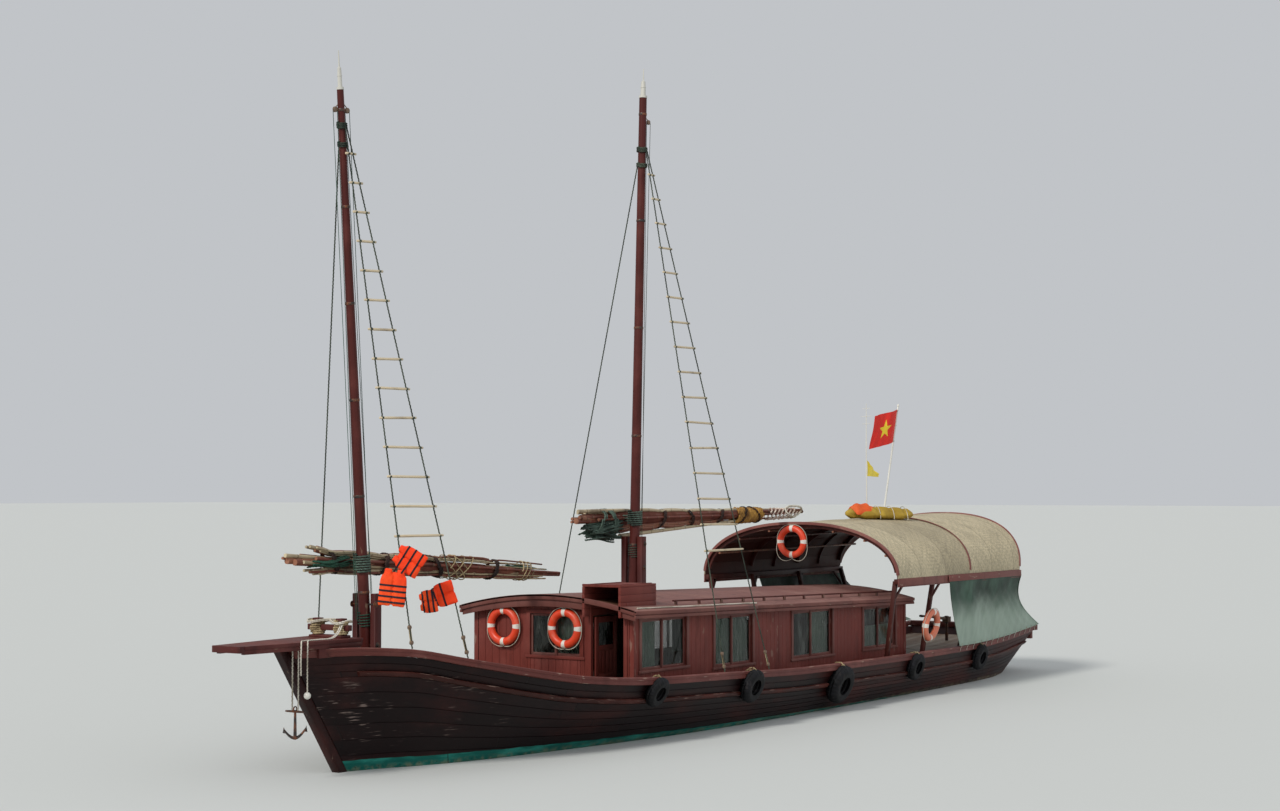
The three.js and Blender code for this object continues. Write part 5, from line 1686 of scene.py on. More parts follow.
@dataclass
class Foredeck:
    """The bow platform with its bitts, ropes and anchor."""

    platform_aft: float = 11.15
    platform_fore: float = 13.64
    knee_x: float = 12.4
    brace_fore: float = 12.05
    knee_half: float = 0.420
    bitts_x: float = 11.35
    bitt_y: float = 0.24
    bearers: tuple[float, ...] = (11.3, 11.9, 12.5, 13.1)
    anchor_spot: tuple[float, float] = (12.35, 0.2)
    anchor_head: float = 1.06
    anchor_crown: float = 0.66
    aft_half: float = 0.520
    fore_half: float = 0.280
    low_z: float = 1.9953
    top_z: float = 2.1203
    boards: int = 6
    line: float = 0.0115

    def half(self, x: float) -> float:
        """Half the platform's width."""
        if x < self.knee_x:
            return blend(self.aft_half, self.knee_half,
                         (x - self.platform_aft) / (self.knee_x - self.platform_aft))
        return blend(self.knee_half, self.fore_half, (x - self.knee_x) / (self.platform_fore - self.knee_x))

    def build(self) -> None:
        """Builds and dresses the foredeck's gear."""
        self.platform()
        self.bitts()
        self.falls()
        self.anchor()

    def platform(self) -> None:
        """Lays the platform's boards on two bearers, with a rounded nosing board across the end."""
        draft = Draft()
        places = steps(self.platform_aft, self.platform_fore - 0.1, 20)
        for k in range(self.boards):
            rows = []
            for x in places:
                wide = 2 * self.half(x) / self.boards
                low = -self.half(x) + k * wide + 0.0025
                high = low + wide - 0.005
                z = self.top_z
                rows.append([Vector((x, low, z - 0.055)), Vector((x, low, z - 0.005)),
                             Vector((x, low + 0.005, z)),
                             Vector((x, high - 0.005, z)), Vector((x, high, z - 0.005)),
                             Vector((x, high, z - 0.055))])
            draft.solid(rows, places, [k * 1.9 + i / 6 for i in range(7)])
        end = self.platform_fore
        draft.block((end - 0.1, -0.282, self.top_z - 0.1), (end, 0.282, self.top_z), 7.3)
        for side in (-1, 1):
            draft.beam((self.platform_aft, side * (self.aft_half - 0.05), self.top_z - 0.09),
                       (end - 0.1, side * (self.fore_half - 0.035), self.top_z - 0.09), 0.07, 0.07, mark=8.2)
            draft.beam((self.platform_aft + 0.02, side * (self.aft_half - 0.06), self.low_z - 0.07),
                       (self.brace_fore, side * (self.half(self.brace_fore) - 0.06), self.low_z - 0.07), 0.05,
                       0.145, mark=8.9)
        for x in self.bearers:
            draft.block((x, -self.half(x) + 0.06, self.low_z),
                        (x + 0.09, self.half(x) - 0.06, self.top_z - 0.056), 9.1)
        draft.piece("bow_platform_boards", TRIM, replaces=["bow_platform"], bevel=0.006)

    def bitts(self) -> None:
        """Rounds the bitts and lays rope turns round each post and round both."""
        rounded("bow_bitts", TRIM, bevel=0.014)
        runs = []
        for side in (-1, 1):
            turns = []
            for i in range(0, 6 * 16 + 1):
                a = tau * i / 16
                r = 0.108 + 0.014 * sin(i * 0.7)
                z = self.top_z + 0.06 + 0.2 * i / 96
                turns.append((self.bitts_x + r * cos(a), side * self.bitt_y + r * 0.92 * sin(a), z))
            runs.append(turns)
        ROPES.lay("bitt_turns", runs, 0.021, HEMP)
        slack = [(self.bitts_x + 0.158 * sin(2 * a), 0.392 * cos(a),
                  self.top_z + 0.235 + 0.020 * a / tau + 0.018 * cos(4 * a))
                 for a in steps(0.3, tau * 1.9, 90)]
        ROPES.lay("bitt_cross_turns", [slack], self.line, WHITE_ROPE)

    def falls(self) -> None:
        """Leads two free lines from the bitts over the platform's edge, one with a float at its end."""
        falls = []
        top = self.top_z + 0.012
        for reach, low, in_y in ((12.34, 1.36, 0.0), (12.47, 1.62, 0.034)):
            edge = self.half(reach)
            falls.append([(11.44, 0.34 - in_y, top + 0.20), (11.56, 0.36 - in_y, top + 0.07),
                          (11.72, 0.37 - in_y, top + 0.004), (11.95, 0.35 - in_y, top),
                          (reach - 0.16, edge - 0.08, top), (reach - 0.03, edge - 0.01, top),
                          (reach, edge + 0.012, top - 0.03),
                          (reach + 0.005, edge + 0.014, top - 0.14),
                          (reach, edge + 0.006, blend(top, low, 0.5)), (reach - 0.01, edge, low)])
        float_ball = Draft()
        x, y, z = falls[0][-1]
        float_ball.lathe((x, y, z - 0.05), (0, 0, 1),
                         [(0.055 * (1 - cos(a)) - 0.055, 0.055 * sin(a)) for a in steps(0.08, pi - 0.08, 14)],
                         20)
        ball = float_ball.piece("bow_float", WHITE, sharp=60)
        ROPES.free("bow_fall_line", smooth_path(falls[0]), self.line, WHITE_ROPE, "hanging", "fitting", [ball])
        ROPES.free("bow_spare_line", smooth_path(falls[1]), self.line, WHITE_ROPE, "hanging")

    def anchor(self) -> None:
        """Forges the anchor's stock, shank, arms and flukes, and hangs it by its ropes."""
        draft = Draft()
        (x, y), head, crown = self.anchor_spot, self.anchor_head, self.anchor_crown
        draft.tube([(x, y - 0.19, head), (x, y, head + 0.004), (x, y + 0.19, head)], [0.014, 0.022, 0.014], 12)
        draft.ring((x, y, 1.10), (0, 1, 0), 0.036, 0.010, 20, 8)
        draft.tube([(x, y, 1.075), (x, y, 0.9), (x, y, crown)], [0.018, 0.022, 0.027], 12)
        for way in (1, -1):
            arm = [(x - way * 0.18 * s, y + way * 0.06 * s, crown + 0.14 * s ** 1.8) for s in steps(0, 1, 8)]
            draft.tube(arm, [blend(0.026, 0.013, s) for s in steps(0, 1, 8)], 10)
            tip = Vector(arm[-1])
            wide, tall = Vector((way * 0.02, way * 0.055, 0)), Vector((-way * 0.01, 0, 0.055))
            near = [tip - wide - tall, tip + wide - tall, tip + tall * 0.7]
            step, edge = Vector((0, 0, 0.012)), Vector((0, 0.004, 0))
            far = [tip - wide * 0.6 - tall + step, tip + wide * 0.6 - tall + step, tip + tall * 0.7 + edge]
            draft.solid([near, far])
        draft.piece("anchor_iron", IRON, replaces=["anchor"], bevel=0.0)
        ROPES.lay("anchor_ropes",
                  [[(x, y + d, z) for z in steps(head, self.low_z - 0.002, 20)] for d in (-0.06, 0.06)],
                  0.013, WHITE_ROPE)


@dataclass(frozen=True)
class Opening:
    """A hole in a wall, along the wall from low to high and from sill to head."""

    low: float
    high: float
    sill: float
    head: float


@dataclass
class BoardWall:
    """Boards side by side with grooves between them, cut round openings.

    The wall runs along X or Y. Its place function turns a step along it, a depth from its outer face
    and a height into a point.
    """

    place: Callable[[float, float, float], Vector]
    floor: Callable[[float], float]
    top: Callable[[float], float]
    openings: Sequence[Opening] = ()
    width: float = 0.155
    thick: float = 0.034
    groove: float = 0.006

    def breaks(self, low: float, high: float) -> list[float]:
        """Where boards meet: an even run, and each opening's edges."""
        count = max(1, round((high - low) / self.width))
        edges = [e for o in self.openings for e in (o.low, o.high) if low < e < high]
        even = [e for e in steps(low, high, count + 1) if all(abs(e - k) > 0.06 for k in edges)]
        return sorted(set(even + edges + [low, high]))

    def spans(self, low: float, high: float) -> list[tuple[float, float]]:
        """The heights that a board fills, as floor and top parts: a number below 0 stands for floor or top."""
        holes = sorted((o.sill, o.head) for o in self.openings if o.low < high - 0.01 and o.high > low + 0.01)
        found, start = [], -1.0
        for sill, head in holes:
            found.append((start, sill))
            start = head
        found.append((start, -1.0))
        return found

    def add(self, draft: Draft, low: float, high: float, mark: int = 0) -> None:
        """Adds the boards between two places along the wall."""
        places = self.breaks(low, high)
        for k, (a, b) in enumerate(pairwise(places)):
            for sill, head in self.spans(a, b):
                self._board(draft, a + 0.001, b - 0.001, sill, head, mark + k * 1.0)

    def _board(self, draft: Draft, a: float, b: float, sill: float, head: float, mark: float) -> None:
        """One board with its two outer edges chamfered."""
        g, t = self.groove, self.thick
        plan = [(a, t), (a, g), (a + g, 0.0), (b - g, 0.0), (b, g), (b, t)]
        low = [self.place(u, d, self.floor(u) if sill < 0 else sill) for u, d in plan]
        high = [self.place(u, d, self.top(u) if head < 0 else head) for u, d in plan]
        if min(h.z - l.z for h, l in zip(high, low)) > 0.02:
            draft.solid([low, high], [low[0].z, high[0].z], [mark + i / 7 for i in range(7)])


class CurtainHang(Enum):
    """How much of a window its curtain covers."""

    FORE = "the fore pane"
    AFT = "the aft pane"
    BOTH = "both panes"
    LOWER = "the lower half of both panes"


@dataclass
class Curtain:
    """A gathered window curtain, hung from a wire."""

    pleat: float = 0.115
    depth: float = 0.026

    def build(self, name: str, start: Vector, end: Vector, drop: float, seed: int) -> bpy.types.Object:
        """Hangs one curtain between two points.

        Args:
            name: the piece's name.
            start: the wire's one end.
            end: its other end.
            drop: the curtain's length.
            seed: what makes its pleats differ.

        Returns:
            The curtain.
        """
        run = end - start
        along = run.normalized()
        out = along.cross(Vector((0, 0, 1)))
        count = max(24, int(run.length / self.pleat * 14))
        rows, across = [], []
        for v in steps(0.0, 1.0, 16):
            row = []
            spread = 0.55 + 0.45 * v
            for i in range(count + 1):
                u = i / count
                wave = sin(tau * u * run.length / self.pleat + 1.6 * sin(u * 7.0 + seed))
                droop = 0.008 * sin(u * 19.0 + seed) * v
                depth = self.depth * spread * (wave + 0.25 * sin(u * 41.0 + seed))
                row.append(start + run * u + out * depth - Vector((0, 0, drop * v + droop)))
            rows.append(row)
            across.append(drop * v)
        width = sum((a - b).length for a, b in pairwise(rows[8]))
        draft = Draft()
        draft.grid(rows, across, [width * i / count for i in range(count + 2)])
        piece = draft.piece(name, CURTAIN, closed=False, sharp=180)
        return piece


LINING_BOARDS = (0.12, 0.018, 0.003)


@dataclass
class Cabin:
    """The long cabin: its walls of boards, windows with curtains, doors, roof and companion hood."""

    fore: float = 5.35
    aft: float = -5.5
    half: float = 1.75
    wall: float = 0.06
    roof_half: float = 1.95
    crown: float = 0.25
    roof_thick: float = 0.06
    track: float = 0.024
    wire_y: float = 1.62
    wire_x: float = 5.22
    lining_half: float = 1.69
    lining_foot: float = 0.25
    berths: tuple[tuple[float, float], ...] = ((-5.2, -2.6), (-2.4, 0.2), (0.4, 2.1))
    berth_edge: float = 0.95
    berth_z: float = 0.60
    roof_seams: tuple[float, ...] = (
        -1.948, -1.74, -1.53, -1.32, -1.11, -0.9, -0.69, -0.48, -0.24, 0.0, 0.2, 0.4, 0.6,
        0.798, 1.004, 1.210, 1.416, 1.622, 1.785, 1.948,
    )
    rail_y: float = 1.66
    hood_aft: float = 4.4003
    hood_sides: tuple[float, float] = (0.8, 1.62)
    fore_eave: float = 2.30
    aft_eave: float = 2.08
    roof_fore: float = 5.56
    roof_aft: float = -5.56
    side_windows: tuple[Opening, ...] = (
        Opening(3.590, 5.100, 1.240, 2.130),
        Opening(1.190, 2.580, 1.130, 2.060),
        Opening(-2.070, -0.420, 1.090, 2.010),
        Opening(-4.980, -3.490, 1.090, 1.950),
    )
    hangs: tuple[CurtainHang, ...] = (CurtainHang.FORE, CurtainHang.BOTH, CurtainHang.AFT, CurtainHang.LOWER)
    doorway: Opening = Opening(0.860, 1.560, 0.990, 3.0)
    front_window: Opening = Opening(-0.480, 0.620, 1.450, 2.200)
    aft_doorway: Opening = Opening(-0.350, 0.350, 0.720, 2.010)

    def eave(self, x: float) -> float:
        """The height of the roof's edge."""
        return self.fore_eave - (self.fore - x) * (self.fore_eave - self.aft_eave) / (self.fore - self.aft)

    def arc(self, y: float) -> float:
        """The roof's rise above its edge."""
        return self.crown * (1 - (y / self.roof_half) ** 2)

    def roof_z(self, x: float, y: float) -> float:
        """The height of the roof's top."""
        return self.eave(x) + self.arc(y)

    def under_roof(self, x: float, y: float) -> float:
        """The height of the roof's underside."""
        return self.roof_z(x, y) - self.roof_thick - 0.002

    def build(self) -> None:
        """Builds and dresses the cabin."""
        for name, side in SIDES.items():
            self.side_wall(name, side)
            self.side_glass(name, side)
        self.front_wall()
        self.aft_wall()
        self.inside()
        self.roof()
        self.hood()
        self.doors()
        self.curtains()

    def side_wall(self, name: str, side: int) -> None:
        """One side: boards outside, boards inside, a sill plate and window casings with ledges."""
        draft = Draft()

        def floor(x: float) -> float:
            """Where the boards start."""
            return LINES.deck_z(x) + 0.002

        outer = BoardWall(lambda u, d, z: Vector((u, side * (self.half - d), z)), floor,
                          lambda x: self.under_roof(x, self.half), self.side_windows)
        outer.add(draft, self.aft + 0.09, self.fore - 0.09)
        for x in (self.aft + 0.045, self.fore - 0.045):
            y = side * (self.half - 0.035)
            draft.beam((x, y, floor(x)), (x, y, self.under_roof(x, self.half)), 0.09, 0.09, (1, 0, 0), 90.3 + x)
        low = [Vector((x, side * (self.half + 0.012), floor(x) + 0.05)) for x in steps(self.aft, self.fore, 30)]
        draft.sweep(low, [(-0.016, -0.05), (0.016, -0.05), (0.016, 0.04), (0.006, 0.05), (-0.016, 0.05)],
                    mark=96.1)
        draft.piece(f"cabin_side_boards_{name}", CABIN, replaces=[f"cabin_wall_{name}"], bevel=0.0)
        lining = Draft()
        inner = BoardWall(lambda u, d, z: Vector((u, side * (self.half - self.wall + d), z)),
                          lambda x: 0.21, lambda x: self.under_roof(x, 1.6) - 0.02, self.side_windows,
                          *LINING_BOARDS)
        inner.add(lining, self.aft + 0.08, self.fore - 0.08)
        lining.piece(f"cabin_lining_{name}", LINING)
        self.casings(name, side)

    def casings(self, name: str, side: int) -> None:
        """Window casings, sills and sashes of one side."""
        draft = Draft()
        wide, face = 0.075, side * (self.half + 0.010)
        for k, o in enumerate(self.side_windows):
            a, b, c, d = o.low, o.high, o.sill, o.head
            for x0, x1 in ((a - wide, a + 0.004), (b - 0.004, b + wide)):
                near, far = sorted((face, face + side * 0.012))
                draft.block((x0, near - 0.012, c - 0.01), (x1, far, d + 0.05), k * 8 + x0)
            draft.block((a - wide - 0.01, face - 0.014, d - 0.004), (b + wide + 0.01, face + 0.014, d + 0.060),
                        k * 8 + 3.3)
            draft.block((a - wide - 0.02, face - 0.024, c - 0.055), (b + wide + 0.02, face + 0.024, c - 0.008),
                        k * 8 + 4.4)
            middle = (a + b) / 2
            y = side * (self.half - 0.045)
            for x0, x1, depth in ((a, middle + 0.022, 0.0), (middle - 0.022, b, self.track)):
                back = y - side * depth
                self._sash(draft, x0, x1, c - 0.008, d - 0.004, back, k * 8 + 5.5 + depth)
        draft.piece(f"window_casings_{name}", CASING, bevel=0.004)

    def _sash(self, draft: Draft, x0: float, x1: float, z0: float, z1: float, y: float, mark: float) -> None:
        """A sash of four rails."""
        w, t = 0.046, 0.011
        draft.block((x0, y - t, z0), (x0 + w, y + t, z1), mark)
        draft.block((x1 - w, y - t, z0), (x1, y + t, z1), mark + 1)
        draft.block((x0 + w + 0.0005, y - t, z0), (x1 - w - 0.0005, y + t, z0 + w), mark + 2)
        draft.block((x0 + w + 0.0005, y - t, z1 - w), (x1 - w - 0.0005, y + t, z1), mark + 3)

    def side_glass(self, name: str, side: int) -> None:
        """Panes in the sashes of one side."""
        panes = Draft()
        for o in self.side_windows:
            middle = (o.low + o.high) / 2
            for x0, x1, depth in ((o.low, middle + 0.02, 0.0), (middle - 0.02, o.high, self.track)):
                y = side * (self.half - 0.045 - depth)
                panes.block((x0 + 0.03, y - 0.002, o.sill + 0.02), (x1 - 0.03, y + 0.002, o.head - 0.03))
        panes.piece(f"window_panes_{name}", GLASS, replaces=[f"windows_{name}"])

    def front_wall(self) -> None:
        """The fore wall with its doorway, window and trim."""
        draft = Draft()
        x = self.fore
        low = LINES.deck_z(x) + 0.004
        holes = (self.doorway, self.front_window)
        outer = BoardWall(lambda u, d, z: Vector((x - d, u, z)), lambda y: low,
                          lambda y: self.under_roof(x - 0.06, y), holes)
        outer.add(draft, -self.half + 0.09, self.half - 0.09)
        inner = BoardWall(lambda u, d, z: Vector((x - self.wall + d, u, z)), lambda y: self.lining_foot,
                          lambda y: self.under_roof(x - 0.06, y) - 0.01, holes, *LINING_BOARDS)
        inner.add(draft, -self.lining_half, self.lining_half, 40)
        w = self.front_window
        for y0, y1, z0, z1 in ((w.low - 0.075, w.low + 0.004, w.sill, w.head),
                               (w.high - 0.004, w.high + 0.075, w.sill, w.head),
                               (w.low - 0.09, w.high + 0.09, w.head, w.head + 0.06),
                               (w.low - 0.1, w.high + 0.1, w.sill - 0.055, w.sill)):
            draft.block((x + 0.0005, y0, z0), (x + 0.024, y1, z1), 60 + y0)
        d = self.doorway
        for y0, y1 in ((d.low - 0.07, d.low + 0.004), (d.high - 0.004, d.high + 0.07)):
            draft.block((x + 0.0005, y0, d.sill - 0.05), (x + 0.024, y1, 2.44), 66 + y0)
        draft.block((x - 0.06, d.low - 0.01, d.sill - 0.05), (x + 0.045, d.high + 0.01, d.sill - 0.006), 69)
        draft.block((x + 0.001, -self.half, low), (x + 0.035, self.half, low + 0.09), 71)
        draft.piece("cabin_front_boards", CABIN, replaces=["cabin_wall_front"], bevel=0.0025)
        self.front_sashes()

    def front_sashes(self) -> None:
        """The two sashes and panes of the fore wall's window."""
        x, w = self.fore, self.front_window
        sash = Draft()
        middle = (w.low + w.high) / 2
        for y0, y1, depth in ((w.low, middle + 0.02, 0.0), (middle - 0.02, w.high, self.track)):
            back = x - 0.03 - depth
            for a, b, c, e in ((y0, y0 + 0.045, w.sill, w.head), (y1 - 0.045, y1, w.sill, w.head),
                               (y0 + 0.0455, y1 - 0.0455, w.sill, w.sill + 0.045),
                               (y0 + 0.0455, y1 - 0.0455, w.head - 0.045, w.head)):
                sash.block((back - 0.011, a, c), (back + 0.011, b, e), 80 + a)
        sash.piece("front_window_sashes", CASING, bevel=0.003)
        pane = Draft()
        for y0, y1, depth in ((w.low, middle, 0.0), (middle, w.high, self.track)):
            pane.block((x - 0.032 - depth, y0 + 0.03, w.sill + 0.03),
                       (x - 0.028 - depth, y1 - 0.03, w.head - 0.03))
        pane.piece("front_window_panes", GLASS, replaces=["window_front"])

    def aft_wall(self) -> None:
        """The after wall with its doorway."""
        draft = Draft()
        x = self.aft
        d = self.aft_doorway
        outer = BoardWall(lambda u, dep, z: Vector((x + dep, u, z)), lambda y: LINES.deck_z(x) + 0.004,
                          lambda y: self.under_roof(x, y), (d,))
        outer.add(draft, -self.half + 0.09, self.half - 0.09)
        inner = BoardWall(lambda u, dep, z: Vector((x + self.wall - dep, u, z)), lambda y: self.lining_foot,
                          lambda y: self.under_roof(x, y) - 0.01, (d,), *LINING_BOARDS)
        inner.add(draft, -self.lining_half, self.lining_half, 40)
        for y0, y1 in ((d.low - 0.08, d.low - 0.020), (d.high + 0.002, d.high + 0.08)):
            draft.block((x - 0.008, y0, d.sill), (x - 0.0005, y1, d.head + 0.05), 66 + y0)
        draft.block((x - 0.008, d.low - 0.08, d.head + 0.051), (x - 0.0005, d.high + 0.08, d.head + 0.11), 68)
        draft.piece("cabin_aft_boards", CABIN, replaces=["cabin_wall_aft"], bevel=0.002)

    def inside(self) -> None:
        """Cabin floor, berths along the sides and the curtain wires, as they show through the windows."""
        draft = Draft()
        for k, y in enumerate(steps(-1.52, 1.52, 18)):
            draft.block((self.aft + 0.2, y - 0.086, 0.202), (self.fore - 0.2, y + 0.086, 0.228), k)
        draft.piece("cabin_floor_boards", OLD_WOOD)
        berths = Draft()
        for side in SIDES.values():
            for x0, x1 in self.berths:
                low, high = sorted((side * 1.66, side * self.berth_edge))
                berths.block((x0, low, self.berth_z), (x1, high, self.berth_z + 0.04), x0)
                low, high = sorted((side * self.berth_edge, side * 0.98))
                berths.block((x0, low, 0.229), (x1, high, self.berth_z), x0 + 1)
        berths.piece("berths", LINING, bevel=0.006)
        wires = Draft()
        for side in SIDES.values():
            for o in self.side_windows:
                z = o.head + 0.02
                wires.tube([(o.low - 0.05, side * self.wire_y, z), (o.high + 0.05, side * self.wire_y, z)],
                           0.004, 6)
                for x in (o.low - 0.05, o.high + 0.05):
                    wires.tube([(x, side * self.wire_y, z), (x, side * 1.675, z)], 0.005, 6)
        w = self.front_window
        wires.tube([(self.wire_x, w.low - 0.05, w.head + 0.02), (self.wire_x, w.high + 0.05, w.head + 0.02)],
                   0.004, 6)
        wires.piece("curtain_wires", IRON)

    def curtains(self) -> None:
        """Hangs curtains inside the windows of both sides and the fore wall."""
        maker = Curtain()
        for name, side in SIDES.items():
            for k, (o, hang) in enumerate(zip(self.side_windows, self.hangs)):
                middle = (o.low + o.high) / 2
                ends = {CurtainHang.FORE: (middle + 0.1, o.high), CurtainHang.AFT: (o.low, middle - 0.02),
                        CurtainHang.BOTH: (o.low, o.high), CurtainHang.LOWER: (o.low, o.high)}[hang]
                top = o.head + 0.016 - (0.42 if hang is CurtainHang.LOWER else 0.0)
                drop = top - o.sill + 0.06
                y = side * self.wire_y
                maker.build(f"curtain_{name}_{k + 1}", Vector((ends[0], y, top)), Vector((ends[1], y, top)),
                            drop, k + 3)
        w = self.front_window
        maker.build("curtain_front", Vector((self.wire_x, w.low + 0.5, w.head + 0.016)),
                    Vector((self.wire_x, w.high, w.head + 0.016)),
                    w.head - w.sill + 0.05, 9)

    def roof(self) -> None:
        """The roof: boards over carlines, double-lipped edges, a curved fore lip and gear along the edge."""
        draft = Draft()
        for k, (a, b) in enumerate(pairwise(self.roof_seams)):
            hooded = a >= self.hood_sides[0] - 0.003 and b <= self.hood_sides[1] + 0.003
            places = steps(4.398 if hooded else self.roof_fore, self.roof_aft, 12)
            g, t = 0.004, 0.032
            plan = [(a + 0.001, t), (a + 0.001, g), (a + g, 0.0), ((a + b) / 2, 0.0), (b - g, 0.0),
                    (b - 0.001, g), (b - 0.001, t)]
            rows = [[Vector((x, y, self.roof_z(x, y) - d)) for y, d in plan] for x in places]
            draft.solid(rows, places, [k * 1.0 + i / 8 for i in range(8)])
        draft.piece("roof_boards", ROOF_TOP, replaces=["cabin_roof"], sharp=30)
        ceiling = Draft()
        rows = []
        for x in steps(self.roof_fore - 0.02, self.roof_aft + 0.02, 14):
            ys = steps(-1.86, 1.86, 25)
            upper = [Vector((x, y, self.roof_z(x, y) - 0.034)) for y in ys]
            lower = [Vector((x, y, self.roof_z(x, y) - 0.058)) for y in reversed(ys)]
            rows.append(upper + lower)
        ceiling.solid(rows)
        for x in steps(5.1, -5.1, 18):
            path = [Vector((x, y, self.roof_z(x, y) - 0.095)) for y in steps(-1.66, 1.66, 20)]
            ceiling.sweep(path, [(-0.025, -0.035), (0.025, -0.035), (0.025, 0.036), (-0.025, 0.036)], mark=x)
        ceiling.piece("ceiling_and_carlines", LINING)
        self.roof_edges()
        self.roof_gear()

    def roof_edges(self) -> None:
        """Two lips with a dark recess between along each side, and bowed boards at the ends."""
        draft = Draft()
        lips = ((0.0, -0.060, 0.004, 0.05, 0.2), (-0.010, -0.130, -0.076, 0.045, 3.4),
                (-0.028, -0.076, -0.060, 0.03, 5.1))
        for side in SIDES.values():
            for out, low, high, thick, mark in lips:
                y1 = side * (self.roof_half + out - 0.0005)
                y0 = side * (self.roof_half + out - thick)
                for x0, x1 in ((self.roof_fore, 1.3), (1.296, -2.6), (-2.604, self.roof_aft)):
                    a, b = self.eave(x0), self.eave(x1)
                    rows = [[Vector((x, y0, e + low)), Vector((x, y1, e + low)), Vector((x, y1, e + high)),
                             Vector((x, y0, e + high))] for x, e in ((x0, a), (x1, b))]
                    draft.solid(rows, [x0, x1], [mark + i / 4 + x0 for i in range(5)])
        for x, thick in ((self.roof_fore, -0.035), (self.roof_aft, 0.035)):
            path = [Vector((x + thick / 2, y, self.roof_z(x, y) - 0.045)) for y in steps(-1.9, 1.9, 40)]
            draft.sweep(path, [(-0.0175, -0.048), (0.0175, -0.048), (0.0175, 0.046), (-0.0175, 0.046)], mark=x)
        for k, (low, high) in enumerate(((-1.9, 0.79), (1.63, 1.9))):
            ys = steps(low, high, 24)
            rows = []
            for x in (self.roof_fore - 0.036, self.roof_fore - 0.062):
                rows.append([Vector((x, y, self.roof_z(x, y) - 0.062)) for y in ys]
                            + [Vector((x, y, self.eave(x) + self.arc(y) * 0.86 - 0.185)) for y in reversed(ys)])
            draft.solid(rows, None, [7.1 + k + i / 60 for i in range(49)])
        draft.piece("roof_edge_boards", ROOF_LIP, bevel=0.006)

    def roof_gear(self) -> None:
        """A grab rail along each side of the roof's top and a loose rope laid along the port edge."""
        rail = Draft()
        for side in SIDES.values():
            y = side * self.rail_y
            path = [Vector((x, y, self.roof_z(x, y) + 0.075)) for x in steps(3.9, -5.2, 24)]
            rail.tube(path, 0.017, 8)
            for x in steps(3.8, -5.1, 12):
                z = self.roof_z(x, y)
                rail.block((x - 0.03, y - 0.016, z - 0.004), (x + 0.03, y + 0.016, z + 0.070), x)
        rail.piece("roof_grab_rails", TRIM)
        run = [(x, 1.84 + 0.02 * sin(x * 2.3) + 0.008 * sin(x * 7), self.roof_z(x, 1.84) + 0.018)
               for x in steps(5.35, 1.2, 60)]
        ROPES.free("rope_along_roof", run, 0.014, WHITE_ROPE, "loose")

    def hood(self) -> None:
        """The companion hood over the fore doorway: side boards, a planked top with a nosing, and runners."""
        draft = Draft()
        a, f, (y0, y1), low, top = self.hood_aft, self.roof_fore, self.hood_sides, 2.18, 2.76
        levels = steps(low, top - 0.05, 5)
        for lo, hi in ((y0, y0 + 0.05), (y1 - 0.05, y1)):
            for k, (z0, z1) in enumerate(pairwise(levels)):
                draft.block((a, lo, z0 + 0.0015), (f, hi, z1 - 0.0015), lo * 3 + k)
        for k, (z0, z1) in enumerate(pairwise(levels)):
            draft.block((a, y0 + 0.0505, z0 + 0.0015), (a + 0.055, y1 - 0.0505, z1 - 0.0015), 20 + k)
        for k, (c, d) in enumerate(pairwise(steps(y0, y1, 7))):
            draft.block((a, c + 0.0015, top - 0.049), (f, d - 0.0015, top - 0.012), 30 + k)
        draft.block((f - 0.045, y0, top - 0.0115), (f, y1, top), 41)
        for y in (y0 + 0.10, y1 - 0.10):
            draft.block((a + 0.02, y - 0.02, top - 0.0115), (f - 0.046, y + 0.02, top), 44 + y)
        draft.piece("companion_hood_boards", CABIN, replaces=["companion_hood"], bevel=0.004)

    def doors(self) -> None:
        """Both doors: stiles, rails, panels and a light, on strap hinges."""
        axis, leaf_y, thick, wide = 5.2786, 0.855, 0.04, 0.68
        fore = Draft()
        x1 = axis - 0.017
        x0 = x1 - wide
        z0, z1 = 1.0, 2.165
        self._leaf(fore, lambda u, d, z: Vector((x0 + u, leaf_y + d, z)), wide, z0, z1, thick, 1.65)
        fore.piece("fore_door_leaf", CABIN, "front_door", replaces=["cabin_door_front"], bevel=0.004)
        glass = Draft()
        glass.block((x0 + 0.1, leaf_y + 0.018, 1.63), (x1 - 0.1, leaf_y + 0.022, z1 - 0.1))
        glass.piece("fore_door_light", GLASS, "front_door")
        aft = Draft()
        ax, hinge_y, low, high = -5.5114, -0.357, 0.73, 2.0
        ay = hinge_y + 0.017
        self._leaf(aft, lambda u, d, z: Vector((ax + thick - d, ay + u, z)), wide, low, high, thick, 1.45)
        aft.piece("aft_door_leaf", CABIN, "aft_door", replaces=["cabin_door_aft"], bevel=0.004)
        glass = Draft()
        glass.block((ax + 0.018, ay + 0.1, 1.43), (ax + 0.022, ay + 0.58, 1.9))
        glass.piece("aft_door_light", GLASS, "aft_door")
        for body, x, y, low, high in (("front_door", axis, leaf_y, z0, z1),
                                      ("aft_door", ax, hinge_y, low, high)):
            iron = Draft()
            for z in (low + 0.15, high - 0.15):
                iron.tube([(x, y, z - 0.05), (x, y, z + 0.05)], 0.0108, 12)
                if body == "front_door":
                    iron.block((x - 0.16, y - 0.0048, z - 0.022), (x - 0.004, y - 0.0002, z + 0.022))
                else:
                    iron.block((x - 0.0048, y + 0.004, z - 0.022), (x - 0.0002, y + 0.16, z + 0.022))
            iron.piece(f"{body}_hinges", IRON, body)

    def _leaf(self, draft: Draft, place: Callable[[float, float, float], Vector], wide: float, z0: float,
              z1: float,
              thick: float, light: float) -> None:
        """A framed door leaf: two stiles, three rails and sunk boards below the light."""
        stile = 0.095

